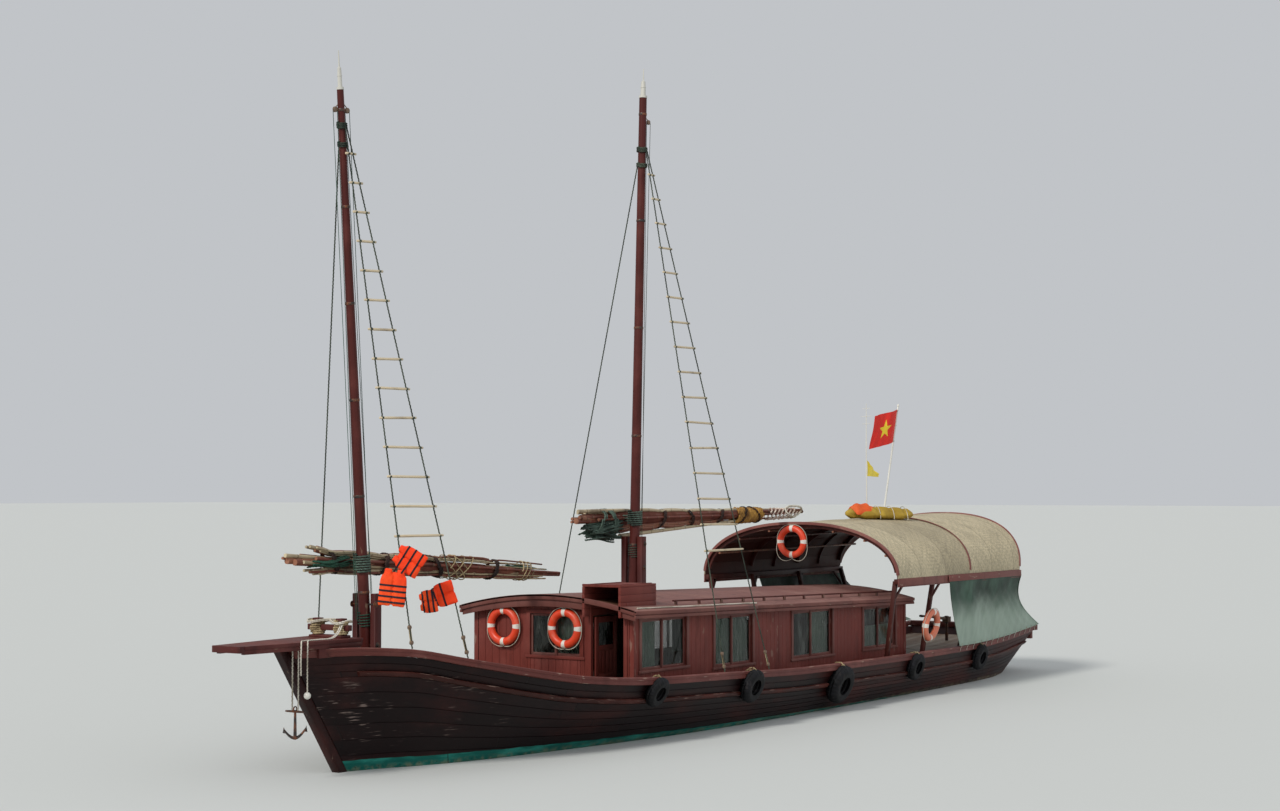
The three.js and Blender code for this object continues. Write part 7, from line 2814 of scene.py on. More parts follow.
@dataclass
class Awning:
    """The barrel awning over the after deck: matting on bent ribs, posts, fascia and side curtains."""

    fore: float = -3.86
    aft: float = -10.30
    aft_reach: float = 1.0
    half: float = 2.40
    eave: float = 2.55
    fore_crest: float = 3.73
    aft_crest: float = 3.87
    bulge: float = 0.909
    posts: tuple[float, ...] = (-3.95, -5.80, -8.00, -10.15)
    post: float = 0.088
    post_inset: float = 0.29
    ribs: tuple[float, ...] = (-6.9, -9.1)
    purlins: tuple[float, ...] = (0.45, 0.85, 1.25, pi - 1.25, pi - 0.85, pi - 0.45)
    tarp_fore: float = -6.32
    batten: float = -7.5
    roll_start: tuple[float, float] = (-6.35, -0.15)
    roll_way: tuple[float, float] = (-0.814, 0.581)
    lashes: tuple[float, ...] = (0.75, 1.1, 1.45)
    rolls: tuple[tuple[float, ...], ...] = (
        (0.0, 1.72, 0.0, 0.145), (0.25, 1.50, 0.17, 0.095), (0.35, 1.62, -0.15, 0.085),
    )

    def spot(self, s: float, a: float, drop: float = 0.0) -> Vector:
        """A point of the skin.

        Args:
            s: the part of the way from the fore to the after edge.
            a: the turn over the arch, 0 at the port eave and pi at the starboard one.
            drop: how far inside the outer face.

        Returns:
            The point.
        """
        c, rise = cos(a), max(sin(a), 0.0)
        x = blend(self.fore, self.aft - self.aft_reach * rise ** 1.4, s)
        tall = blend(self.fore_crest, self.aft_crest, s) - self.eave - drop
        wide = copysign((self.half - drop) * abs(c) ** self.bulge, c)
        return Vector((x, wide, self.eave + tall * rise ** self.bulge))

    def share(self, x: float) -> float:
        """Where along the eave a place lies, as a part."""
        return (self.fore - x) / (self.fore - self.aft)

    def build(self) -> None:
        """Builds and dresses the awning."""
        self.skin()
        self.rims()
        self.frame()
        self.fascia()
        for name, side in SIDES.items():
            self.curtain(name, side)
        self.bundle()

    def skin(self) -> None:
        """The matting, sagging a little between the ribs, over dark lining boards."""
        turns = [pi * i / 64 for i in range(65)]
        mats, lining = Draft(), Draft()
        rows, along = [], []
        for s in steps(0.0, 1.0, 90):
            x = blend(self.fore, self.aft, s)
            near = min(abs(x - p) for p in self.posts + self.ribs)
            sag = 0.012 * min(1.0, near / 0.5)
            outer = []
            for a in turns:
                ripple = 0.004 * noise.noise(Vector((x * 1.6, a * 3.0, 2.0)))
                outer.append(self.spot(s, a, sag * sin(a) + 0.003 + ripple * sin(a)))
            rows.append(outer + [self.spot(s, a, 0.026) for a in reversed(turns)])
            along.append(-x)
        lengths = [0.0]
        for p, q in zip(rows[0][:64], rows[0][1:65]):
            lengths.append(lengths[-1] + (q - p).length)
        mats.solid(rows, along, lengths + [lengths[-1] - k for k in lengths[::-1]] + [0.0])
        mats.piece("awning_matting", MAT, replaces=["awning_roof"], sharp=60)
        for k, (a, b) in enumerate(zip(turns[::4], turns[4::4])):
            strip = [a + 0.002, (a + b) / 2, b - 0.002]
            boards = [[self.spot(s, t, 0.028) for t in strip]
                      + [self.spot(s, t, 0.046) for t in reversed(strip)]
                      for s in steps(0.002, 0.998, 24)]
            lining.solid(boards, [s * 6.4 for s in steps(0, 1, 24)], [k + i / 7 for i in range(7)])
        lining.piece("awning_lining_boards", MAT_INSIDE)

    def rims(self) -> None:
        """Bent battens that clamp the matting: at both edges and over the ribs between."""
        draft = Draft()
        battens = ((0.001, 0.050, 0.060, -0.018), (0.999, 0.060, 0.070, -0.018),
                   (self.share(self.batten), 0.07, 0.022, 0.001))
        for s, wide, tall, lift in battens:
            path = [self.spot(s, pi * i / 60, -lift) for i in range(1, 60)]
            a, b = wide / 2, tall / 2
            draft.sweep(path, [(-a, -b), (a, -b), (a, b * 0.6), (a * 0.7, b), (-a * 0.7, b), (-a, b * 0.6)],
                        Vector((0, 1, 0)), mark=s * 9)
        draft.piece("awning_rims", FASCIA, bevel=0.0, sharp=40)

    def frame(self) -> None:
        """Posts, bent ribs, side beams and purlins."""
        draft = Draft()
        for x in self.posts:
            foot_y, foot_z = LINES.at(x).rail_half - self.post_inset, LINES.deck_z(x) + 0.004
            for side in SIDES.values():
                head = (x, side * (self.half - 0.125), self.eave - 0.05)
                draft.beam((x, side * foot_y, foot_z), head, self.post, self.post, (1, 0, 0), x + side)
                knee = (x, side * (self.half - 0.15), self.eave - 0.42)
                draft.beam(knee, (x - 0.3 if x > -10 else x + 0.3, side * (self.half - 0.07), self.eave - 0.09),
                           0.04, 0.055, (1, 0, 0), x * 2)
            path = [self.spot(self.share(x), a, 0.086) for a in steps(0.10, pi - 0.10, 50)]
            for p in path:
                p.x = x
            draft.sweep(path, [(-0.034, -0.036), (0.034, -0.036), (0.034, 0.036), (-0.034, 0.036)],
                        Vector((0, 1, 0)), x)
        for x in self.ribs:
            path = [self.spot(self.share(x), a, 0.07) for a in steps(0.06, pi - 0.06, 40)]
            for p in path:
                p.x = x
            draft.sweep(path, [(-0.02, -0.022), (0.02, -0.022), (0.02, 0.022), (-0.02, 0.022)],
                        Vector((0, 1, 0)), x)
        for side in SIDES.values():
            low, high = sorted((side * (self.half - 0.118), side * (self.half - 0.03)))
            draft.block((self.aft + 0.005, low, self.eave - 0.11), (self.fore - 0.005, high, self.eave - 0.003),
                        3.3 + side)
        draft.piece("awning_timber_frame", FRAME_TIMBER, replaces=["awning_frame"], bevel=0.006)
        poles = Draft()
        for k, a in enumerate(self.purlins):
            poles.tube([self.spot(s, a, 0.150) for s in steps(0.012, 0.985, 30)], 0.024, 10, mark=k)
        poles.piece("awning_purlins", CANE, sharp=50)

    def fascia(self) -> None:
        """Boards along the eaves with a paler drip strip below."""
        boards, strips = Draft(), Draft()
        for side in SIDES.values():
            for x0, x1 in ((self.fore, self.tarp_fore), (self.tarp_fore - 0.004, self.aft)):
                y = sorted((side * (self.half - 0.028), side * (self.half - 0.001)))
                boards.block((x1, y[0], self.eave - 0.150), (x0, y[1], self.eave + 0.012), x0 + side)
                y = sorted((side * (self.half - 0.034), side * (self.half + 0.004)))
                strips.block((x1, y[0], self.eave - 0.172), (x0, y[1], self.eave - 0.1505), x0 + side + 5)
            y = sorted((side * (self.half + 0.027), side * (self.half + 0.043)))
            boards.block((self.aft + 0.01, y[0], self.eave - 0.135),
                         (self.tarp_fore + 0.03, y[1], self.eave + 0.002), 7 + side)
        boards.piece("awning_fascia", FASCIA, bevel=0.004)
        strips.piece("awning_drip_strips", RAIL, bevel=0.004)

    def curtain_spot(self, side: int, u: float, v: float, out: float = 0.0) -> Vector:
        """A point of a side curtain, u along from fore to aft and v from eave to rail."""
        top_x, foot_x = -6.34 - 3.96 * u, -7.33 - 5.67 * u
        x = blend(top_x, foot_x, v ** (1.35 - 0.35 * u)) + u * u * 0.7 * sin(pi * v)
        foot = LINES.at(foot_x)
        top_y, foot_y = self.half + 0.006, foot.rail_half + 0.030
        y = blend(top_y, foot_y, max(0.0, v - 0.07) / 0.93)
        z = blend(2.53, foot.rail_z + 0.02, v)
        return Vector((x, side * (y + out), z))

    def curtain(self, name: str, side: int) -> None:
        """A tarpaulin laced from the eave down to the rail, slack in long folds."""
        rows, lengths = [], []
        wide, tall = 110, 64
        for r in range(tall + 1):
            v = r / tall
            row = []
            for c in range(wide + 1):
                u = c / wide
                hold = sin(pi * min(1, v * 1.02)) ** 0.7
                fold = 0.5 + 0.5 * sin(u * 21 + 2.2 * sin(u * 5.1) + v * (2.4 - 3 * u))
                fine = 0.5 + 0.5 * sin(u * 63 - v * 7 + 1.5 * sin(v * 9))
                slack = noise.noise(Vector((u * 5, v * 3, 4.0 + side)))
                edge = taper(u, 14)
                folds = 0.052 * fold ** 2 + 0.012 * fine * (0.4 + v) + 0.030 * max(slack, -0.25)
                out = 0.008 + hold * edge * folds
                row.append(self.curtain_spot(side, u, v, out))
            rows.append(row)
            lengths.append(sum((q - p).length for p, q in pairwise(row)))
        down = sum((q[wide // 2] - p[wide // 2]).length for p, q in pairwise(rows))
        width = max(lengths)
        draft = Draft()
        draft.grid(rows, [down * r / tall for r in range(tall + 1)],
                   [width * c / wide for c in range(wide + 2)])
        area = sum((p[c + 1] - p[c]).cross(q[c] - p[c]).length for p, q in pairwise(rows) for c in range(wide))
        piece = draft.piece(f"side_curtain_{name}", TARP, replaces=[f"tarp_{name}"], closed=False, sharp=180)
        hem = Draft()
        for v, r0 in ((0.0, 0), (1.0, tall)):
            hem.tube([p + Vector((0, side * 0.004, 0)) for p in rows[r0][::2]], 0.011, 8)
        for c in (0, wide):
            hem.tube([row[c] + Vector((0, side * 0.004, 0)) for row in rows[::2]], 0.010, 8)
        edge = hem.piece(f"side_curtain_hem_{name}", TARP)
        loops = []
        for c in range(3, wide, 8):
            p = rows[-2][c]
            foot = LINES.section_at(p.x)
            loops.append([(p.x, p.y + side * 0.012, p.z + 0.02), (p.x + 0.02, p.y + side * 0.02, p.z - 0.02),
                          (p.x + 0.05, side * (foot.rail_half + 0.036), foot.rail_z - 0.03),
                          (p.x + 0.09, side * (foot.rail_half + 0.034), foot.rail_z - 0.10)])
        ROPES.lay(f"side_curtain_lacing_{name}", loops, 0.006, WHITE_ROPE)

    def bundle(self) -> None:
        """Rolls up spare covers and lashes them on the awning's crest."""
        rolls = Draft()
        for k, (u0, u1, offset, r) in enumerate(self.rolls):
            rows = []
            for u in steps(u0, u1, 44):
                share = (u - u0) / (u1 - u0)
                tied = sum(exp(-((u - at) / 0.05) ** 2) for at in self.lashes)
                end = taper(share, 7, 0.35)
                row = []
                for a in full_turn(24):
                    lump = noise.noise(Vector((cos(a) * 1.6, sin(a) * 1.6, u * 2.6 + k * 7)))
                    reach = r * (1 + 0.34 * lump - 0.2 * min(tied, 1)) * end
                    up = max(0.008, 0.008 + r * 0.84 + reach * sin(a) * 0.84)
                    row.append(self.on(u, offset + reach * cos(a) * 1.2, up))
                rows.append(row)
            rolls.solid(rows)
        roll = rolls.piece("awning_cover_roll", YELLOW_SHEET, sharp=180)
        swollen(roll, 0.02, 0.012)
        self.folded()
        turns = []
        for u in self.lashes:
            turns.append([tuple(self.on(u + 0.01 * a, 0.01 + 0.27 * cos(a), 0.012 + max(0.0, 0.275 * sin(a))))
                          for a in steps(-0.2, pi + 0.2, 26)])
        ROPES.lay("awning_cover_lashings", turns, 0.008, WHITE_ROPE)

    def folded(self) -> None:
        """Lays a folded orange cloth over the fore end of the rolled covers."""
        folded = Draft()
        for k, (u0, u1, low) in enumerate(((0.12, 0.68, 0.265), (0.2, 0.56, 0.30))):
            rows = []
            for u in steps(u0, u1, 22):
                share = (u - u0) / (u1 - u0)
                end = taper(share, 6, 0.3) ** 0.6
                row = []
                for a in full_turn(28):
                    c, t = cos(a), sin(a)
                    across = 0.225 * c * (0.8 + 0.2 * end)
                    fold = 0.02 * noise.noise(Vector((u * 9, a * 1.3, k * 5.0)))
                    up = low - 3.6 * across * across + 0.032 * copysign(abs(t) ** 0.7, t) * end + fold
                    row.append(self.on(u + fold, across, up))
                rows.append(row)
            folded.solid(rows)
        cloth = folded.piece("folded_orange_cover", ORANGE_SHEET, sharp=180)
        swollen(cloth, 0.014, 0.008)

    def on(self, u: float, across: float, up: float) -> Vector:
        """A point above the matting, u metres along the rolled covers."""
        start, way = Vector((*self.roll_start, 0)), Vector((*self.roll_way, 0))
        at = start + way * u + Vector((way.y, -way.x, 0)) * across
        return Vector((at.x, at.y, self.top(at.x, at.y) + up))

    def top(self, x: float, y: float) -> float:
        """The height of the matting's outer face over a point near the crest."""
        return self.spot((self.fore - x) / (self.fore - self.aft + self.aft_reach),
                         acos(abs(y / self.half) ** (1 / self.bulge))).z


@dataclass
class Fenders:
    """Old tyres hung along both sides. Each is a place along the boat, a height and a size."""

    tyres: tuple[tuple[float, float, float], ...] = (
        (5.30, 0.90, 0.57), (2.23, 0.78, 0.66), (-1.32, 0.54, 0.81), (-4.86, 0.65, 0.61), (-8.66, 0.60, 0.62),
    )
    rope: float = 0.012

    def build(self) -> None:
        """Builds and dresses the tyres and their ropes."""
        for name, side in SIDES.items():
            runs = []
            for k, (x, z, size) in enumerate(self.tyres):
                runs.append(self.tyre(f"{name}_{k + 1}", side, x, z, size))
            ROPES.lay(f"fender_ropes_{name}", runs, self.rope, HEMP)

    def tyre(self, label: str, side: int, x: float, z: float, size: float) -> list[tuple[float, ...]]:
        """One tyre with tread blocks, sidewalls and open beads; gives the run of its rope."""
        tube = size * 0.165
        out = LINES.side(x, z) + size * 0.17 - 0.012
        lean = atan2(LINES.side(x, z + 0.2) - LINES.side(x, z - 0.2), 0.4)
        axis = (0, side * cos(lean), -sin(lean))

        def form(a: float, b: float) -> float:
            """The tyre's section, with blocks cut into its tread and its inside hollow."""
            c, s = cos(b), sin(b)
            square = 0.97 / (abs(c) ** 3.4 + abs(s) ** 3.4) ** (1 / 3.4)
            if c > 0.55:
                block = round(a / tau * 56) % 2 == (0 if s > 0 else 1)
                return min(square, 1.0) - (0.0 if block else 0.07) - (0.08 if abs(s) < 0.12 else 0.0)
            if c < -0.6:
                return 0.42
            rib = 0.03 if abs(c - 0.1) < 0.12 else 0.0
            return square * 0.97 + rib

        draft = Draft()
        draft.ring((x, side * out, z), axis, size / 2 - tube * 1.03, tube, 112, 26, form)
        draft.piece(f"tyre_{label}", RUBBER, replaces=[f"fender_{label}"], sharp=32)
        rail = LINES.section_at(x)
        top_y, top_z = out, z + size / 2
        y_rail = rail.rail_half
        path = [(x, side * (y_rail - 0.125), rail.rail_z - 0.12),
                (x, side * (y_rail - 0.131), rail.rail_z - 0.02),
                (x, side * (y_rail - 0.115), rail.rail_z + 0.012),
                (x, side * (y_rail + 0.012), rail.rail_z + 0.013),
                (x, side * (y_rail + 0.040), rail.rail_z - 0.012),
                (x, side * (y_rail + 0.042), rail.rail_z - 0.09),
                (x + 0.004, side * max(top_y + 0.02, y_rail * 0.4 + top_y * 0.6),
                 blend(rail.rail_z, top_z, 0.7)),
                (x + 0.008, side * (top_y + 0.03), top_z + 0.02)]
        for a in steps(pi * 0.4, -pi * 1.5, 14):
            path.append((x + 0.012, side * (top_y + (tube + self.rope) * cos(a)),
                         top_z - tube + (tube + self.rope) * sin(a)))
        return path


@dataclass
class Lifebuoys:
    """Ring lifebuoys with white bands and a grab rope in four bights."""

    radius: float = 0.285
    tube: float = 0.072
    droop: dict[str, float] = field(default_factory=lambda: {"lifebuoy_awning": 0.11, "lifebuoy_side": 0.03})

    def build(self) -> None:
        """Hangs the four lifebuoys."""
        x = Cabin.fore + self.tube + 0.001
        self.ring("lifebuoy_front_port", (x, 0.33, 1.95), (1, 0, 0))
        self.ring("lifebuoy_front_starboard", (x, -1.03, 1.95), (1, 0, 0))
        self.ring("lifebuoy_awning", (-3.915 + self.tube + 0.001, -0.15, 3.31), (1, 0, 0))
        low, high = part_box("lifebuoy_side")
        middle = (low + high) / 2
        post = Awning.posts[1]
        foot_y, foot_z = LINES.at(post).rail_half - Awning.post_inset, LINES.deck_z(post)
        lean = atan2(2.275 - foot_y, 2.5 - foot_z)
        self.ring("lifebuoy_side", tuple(middle), (0, cos(lean), -sin(lean)))

    def ring(self, name: str, middle: Point, axis: Point) -> None:
        """One lifebuoy with its rope and rope loops."""
        draft = Draft()

        def form(a: float, b: float) -> float:
            """The ring's section, a little proud where a white band goes round it."""
            from_band = (a / tau * 4 + 0.5) % 1 - 0.5
            return 0.97 + 0.03 * cos(b) ** 2 + (0.02 if -0.125 < from_band < 0.125 else 0.0)

        draft.ring(middle, axis, self.radius, self.tube, 72, 24, form)
        draft.piece(f"{name}_ring", FADED_BUOY if name == "lifebuoy_side" else BUOY, replaces=[name], sharp=60)
        out = Vector(axis).normalized()
        down = (Vector((0, 0, -1)) + out * out.z).normalized()
        side = out.cross(down)
        run = []
        for i in range(129):
            a = tau * i / 128
            bight = abs(sin(2 * a))
            spoke = down * cos(a) + side * sin(a)
            slack = self.droop.get(name, 0.02) * bight * max(0.0, cos(a))
            run.append(tuple(Vector(middle) + spoke * (self.radius + self.tube + 0.009 + 0.018 * bight + slack)
                             + out * (0.015 * bight)))
        ROPES.lay(f"{name}_grab_rope", [run], 0.0075, WHITE_ROPE)


@dataclass(frozen=True)
class JacketPose:
    """How one life jacket hangs beside a rope of the fore ladder.

    Attributes:
        across: how far it is to port of the rope, looking aft from the bow's port side.
        height: the height of its middle.
        out: how far its middle stands off the rope.
        wide, tall, thick: its size.
        tilt: the turn of its straps out of the level, in degrees.
        straps: where its straps run, as parts of its length from the middle.
    """

    across: float
    height: float
    out: float
    wide: float
    tall: float
    thick: float
    tilt: float
    straps: tuple[float, ...]


FORE_LADDER = Ladder("fore_ladder", FOREMAST, 10.2, (10.65, 9.7), 14, 3.7, 9.75)


@dataclass
class Jackets:
    """Life jackets strung on the ropes of the fore ladder, two on each."""

    across: tuple[float, float] = (-0.52, 0.854)
    outward: tuple[float, float] = (0.854, 0.52)
    panels: tuple[tuple[float, ...], ...] = (
        (-0.48, -0.03, -0.49, 0.30, 0.30), (0.03, 0.48, -0.49, 0.30, 0.30), (-0.40, -0.10, 0.24, 0.47, 0.22),
        (0.10, 0.40, 0.24, 0.47, 0.22), (-0.43, 0.43, -0.46, 0.40, -0.45),
    )

    def build(self) -> None:
        """Makes both pairs."""
        ropes = FORE_LADDER.ends()
        self.pair("life_jacket_upper", ropes[0], [
            JacketPose(0.135, 3.325, 0.054, 0.44, 0.50, 0.036, 58, (-0.30, -0.04, 0.2)),
            JacketPose(-0.160, 2.905, 0.120, 0.47, 0.62, 0.034, -6, (-0.38, -0.24, -0.10, 0.04)),
        ])
        self.pair("life_jacket_lower", ropes[1], [
            JacketPose(-0.150, 2.765, 0.054, 0.42, 0.40, 0.036, 108, (0.33, 0.02)),
            JacketPose(-0.415, 2.655, 0.118, 0.40, 0.30, 0.032, 98, (0.24, -0.02, -0.28)),
        ])

    def pair(self, name: str, rope: tuple[Point, Point], poses: list[JacketPose]) -> None:
        """Two jackets on one rope, with their straps, buckles and ties.

        Args:
            name: the CAD node that they stand for.
            rope: the rope's foot and head.
            poses: how each of them hangs.
        """
        foot, head = Vector(rope[0]), Vector(rope[1])

        def place(pose: JacketPose, u: float, v: float, w: float) -> Vector:
            """A point of a jacket: u across, v up and w outward, in metres from its middle."""
            c, t = cos(radians(pose.tilt)), sin(radians(pose.tilt))
            r, z = u * c - v * t + pose.across, u * t + v * c + pose.height
            on = foot + (head - foot) * ((pose.height - foot.z) / (head.z - foot.z))
            return Vector((on.x + self.across[0] * r + self.outward[0] * (w + pose.out),
                           on.y + self.across[1] * r + self.outward[1] * (w + pose.out), z))

        stuffed, straps, buckles, ties = Draft(), Draft(), Draft(), []
        for pose in poses:
            for panel in self.panels:
                self.pad(stuffed, pose, panel, place)
        piece = stuffed.piece(f"{name}_panels", JACKET, replaces=[name], sharp=180)
        swollen(piece, 0.0125, 0.010)
        tree = BVHTree.FromPolygons([v.co for v in piece.data.vertices],
                                    [p.vertices for p in piece.data.polygons])
        for pose in poses:
            for v in pose.straps:
                self.strap(straps, pose, v, place, tree)
                self.buckle(buckles, pose, v, place, tree)
            on = foot + (head - foot) * ((pose.height + 0.05 - foot.z) / (head.z - foot.z))
            near = place(pose, 0, 0, -0.01)
            ties.append([tuple(near), tuple(near.lerp(on, 0.6) + Vector((0, 0, 0.02)))]
                        + [(on.x + 0.02 * cos(a), on.y + 0.02 * sin(a), on.z + 0.003 * a)
                           for a in steps(0, 12, 30)])
        straps.piece(f"{name}_straps", WEBBING, sharp=50)
        buckles.piece(f"{name}_buckles", WEBBING, bevel=0.002)
        ROPES.lay(f"{name}_ties", ties, 0.004, WHITE_ROPE)

    def strap(self, draft: Draft, pose: JacketPose, v: float, place: Callable[..., Vector],
              tree: BVHTree) -> None:
        """Lays one strap round a jacket, close on its panels.

        Args:
            draft: where it goes.
            pose: the jacket.
            v: where it runs, as a part of the jacket's length from the middle.
            place: gives a point of the jacket.
            tree: the panels' surface.
        """
        loop = []
        for a in steps(0, tau, 44):
            c, t = cos(a), sin(a)
            rim = place(pose, c * pose.wide * 0.7, v * pose.tall, t * 0.2)
            core = place(pose, c * pose.wide * 0.36, v * pose.tall, 0)
            hit = tree.ray_cast(rim, (core - rim).normalized(), (core - rim).length)[0]
            if hit is not None:
                loop.append(hit + (rim - core).normalized() * 0.0025)
        if len(loop) > 12:
            tilt = radians(pose.tilt)
            up = Vector((-self.across[0] * sin(tilt), -self.across[1] * sin(tilt), cos(tilt)))
            draft.sweep(loop, [(-0.0015, -0.015), (0.0015, -0.015), (0.0015, 0.015), (-0.0015, 0.015)], up)

    def buckle(self, draft: Draft, pose: JacketPose, v: float, place: Callable[..., Vector],
               tree: BVHTree) -> None:
        """Sets a buckle's two halves on the middle of a strap, with the same arguments as strap."""
        spot, middle = place(pose, 0.0, v * pose.tall, 0.2), place(pose, 0, v * pose.tall, 0)
        hit = tree.ray_cast(spot, middle - spot)[0]
        if hit is None:
            return
        outward = Vector((*self.outward, 0))
        for across in (-0.014, 0.014):
            low = place(pose, across - 0.012, v * pose.tall, 0)
            high = place(pose, across + 0.012, v * pose.tall, 0)
            lift = hit + outward * 0.008 - middle
            draft.beam(low + lift, high + lift, 0.03, 0.009, outward)

    def pad(self, draft: Draft, pose: JacketPose, panel: tuple[float, ...],
            place: Callable[..., Vector]) -> None:
        """One stuffed panel of a jacket.

        Args:
            draft: where it goes.
            pose: the jacket.
            panel: its sides, its foot and head as parts of the jacket, and how far its middle stands out.
            place: gives a point of the jacket.
        """
        u0, u1, v0, v1, out = panel
        rows = []
        for v in steps(v0, v1, 16):
            end = min(1.0, 7 * (v - v0) / (v1 - v0) + 0.22, 7 * (v1 - v) / (v1 - v0) + 0.22) ** 0.5
            shoulder = 1.0 - 0.35 * max(0.0, v - 0.1)
            row = []
            for a in full_turn(20):
                c, t = cos(a), sin(a)
                u = blend(u0, u1, 0.5 + 0.5 * copysign(abs(c) ** 0.6, c) * (0.86 + 0.14 * end)) * shoulder
                w = pose.thick * (out + 0.62 * copysign(abs(t) ** 0.75, t) * end * (1 if out > 0 else 0.8))
                sag = 0.006 * noise.noise(Vector((u * 9, v * 9, pose.height * 5)))
                row.append(place(pose, u * pose.wide, v * pose.tall, w + sag))
            rows.append(row)
        draft.solid(rows)


@dataclass
class Colours:
    """The flag on its leaning staff, and a thin stick with a yellow pennant."""

    foot: tuple[float, float] = (-7.94, 3.78)
    head: tuple[float, float] = (-8.78, 6.47)
    low: float = 5.56
    high: float = 6.34
    length: float = 1.12

    def axis(self, z: float) -> float:
        """How far forward the staff stands at a height."""
        return blend(self.foot[0], self.head[0], (z - self.foot[1]) / (self.head[1] - self.foot[1]))

    def build(self) -> None:
        """Makes the staff, the flag, the stick and the pennant."""
        staff = Draft()
        a, b = Vector((self.foot[0], 0, self.foot[1])), Vector((self.head[0], 0, self.head[1]))
        run = b - a
        tall = run.length
        staff.lathe(a, run, [(0.02, 0.0), (0.02, 0.028), (0.09, 0.028), (0.095, 0.025), (tall - 0.07, 0.0175),
                             (tall - 0.065, 0.024),
                             (tall - 0.045, 0.028), (tall - 0.02, 0.022), (tall - 0.004, 0.008)], 16)
        staff.piece("flag_staff_pole", WHITE, replaces=["flag_staff"], sharp=40)
        self.flag()
        self.pennant()

    def flag(self) -> None:
        """The flag, waving forward from the staff."""
        rows = []
        wide, tall = 64, 40
        high = self.high - self.low
        for r in range(tall + 1):
            v = r / tall
            row = []
            for c in range(wide + 1):
                u = c / wide
                z = blend(self.low, self.high, v) - u * 0.19 - 0.02 * u * sin(v * 3)
                wave = 0.055 * sin(u * pi * 1.7) + 0.022 * u ** 0.7 * sin(u * 11 - v * 2.1)
                wave += 0.010 * u * sin(u * 23 + v * 6)
                x = self.axis(blend(self.low, self.high, v)) + 0.022 + u * (self.length - 0.03)
                row.append(Vector((x, wave, z)))
            rows.append(row)
        draft = Draft()
        draft.grid(rows, [r / tall for r in range(tall + 1)],
                   [c / wide * self.length / high for c in range(wide + 2)])
        draft.coords = [[(v, u) for u, v in face] for face in draft.coords]
        piece = draft.piece("flag_bunting", FLAG, replaces=["flag"], closed=False, sharp=180)
        ties = []
        for v in (0.03, 0.5, 0.97):
            z = blend(self.low, self.high, v)
            ties.append([(self.axis(z) + 0.026 * cos(a), 0.026 * sin(a), z) for a in steps(0, tau * 1.9, 26)])
        ROPES.lay("flag_ties", ties, 0.004, WHITE_ROPE)

    def pennant(self) -> None:
        """A thin stick with small crosspieces and a yellow pennant."""
        x, foot = -7.12, 3.79
        stick = Draft()
        stick.tube([(x, 0.0, foot), (x + 0.02, 0.0, 5.2), (x + 0.01, 0.0, 6.42)], [0.016, 0.013, 0.008], 10)
        for z, half in ((6.30, 0.10), (6.12, 0.14), (5.95, 0.10)):
            stick.tube([(x + 0.014, -half, z), (x + 0.014, half, z + 0.01)], 0.005, 8)
        stick.lathe((x, 0, foot - 0.004), (0, 0, 1),
                    [(0, 0.0), (0.0, 0.05), (0.008, 0.05), (0.012, 0.02), (0.05, 0.016), (0.05, 0.0)], 14)
        stick.piece("pennant_stick", WHITE, sharp=40)
        rows = []
        for c in range(25):
            u = c / 24
            row = []
            for r in range(13):
                v = r / 12
                spread = (0.5 - v) * 0.36 * (1 - u * 0.80)
                row.append(Vector((x - 0.02 - u * 0.56, 0.03 * sin(u * 7) * u + 0.01 * sin(u * 15 + v * 3),
                                   4.93 - u * 0.16 + spread)))
            rows.append(row)
        draft = Draft()
        draft.grid(rows, [c / 24 * 0.52 for c in range(25)], [r / 12 * 0.3 for r in range(14)])
        piece = draft.piece("pennant_cloth", PENNANT_CLOTH, closed=False, sharp=180)


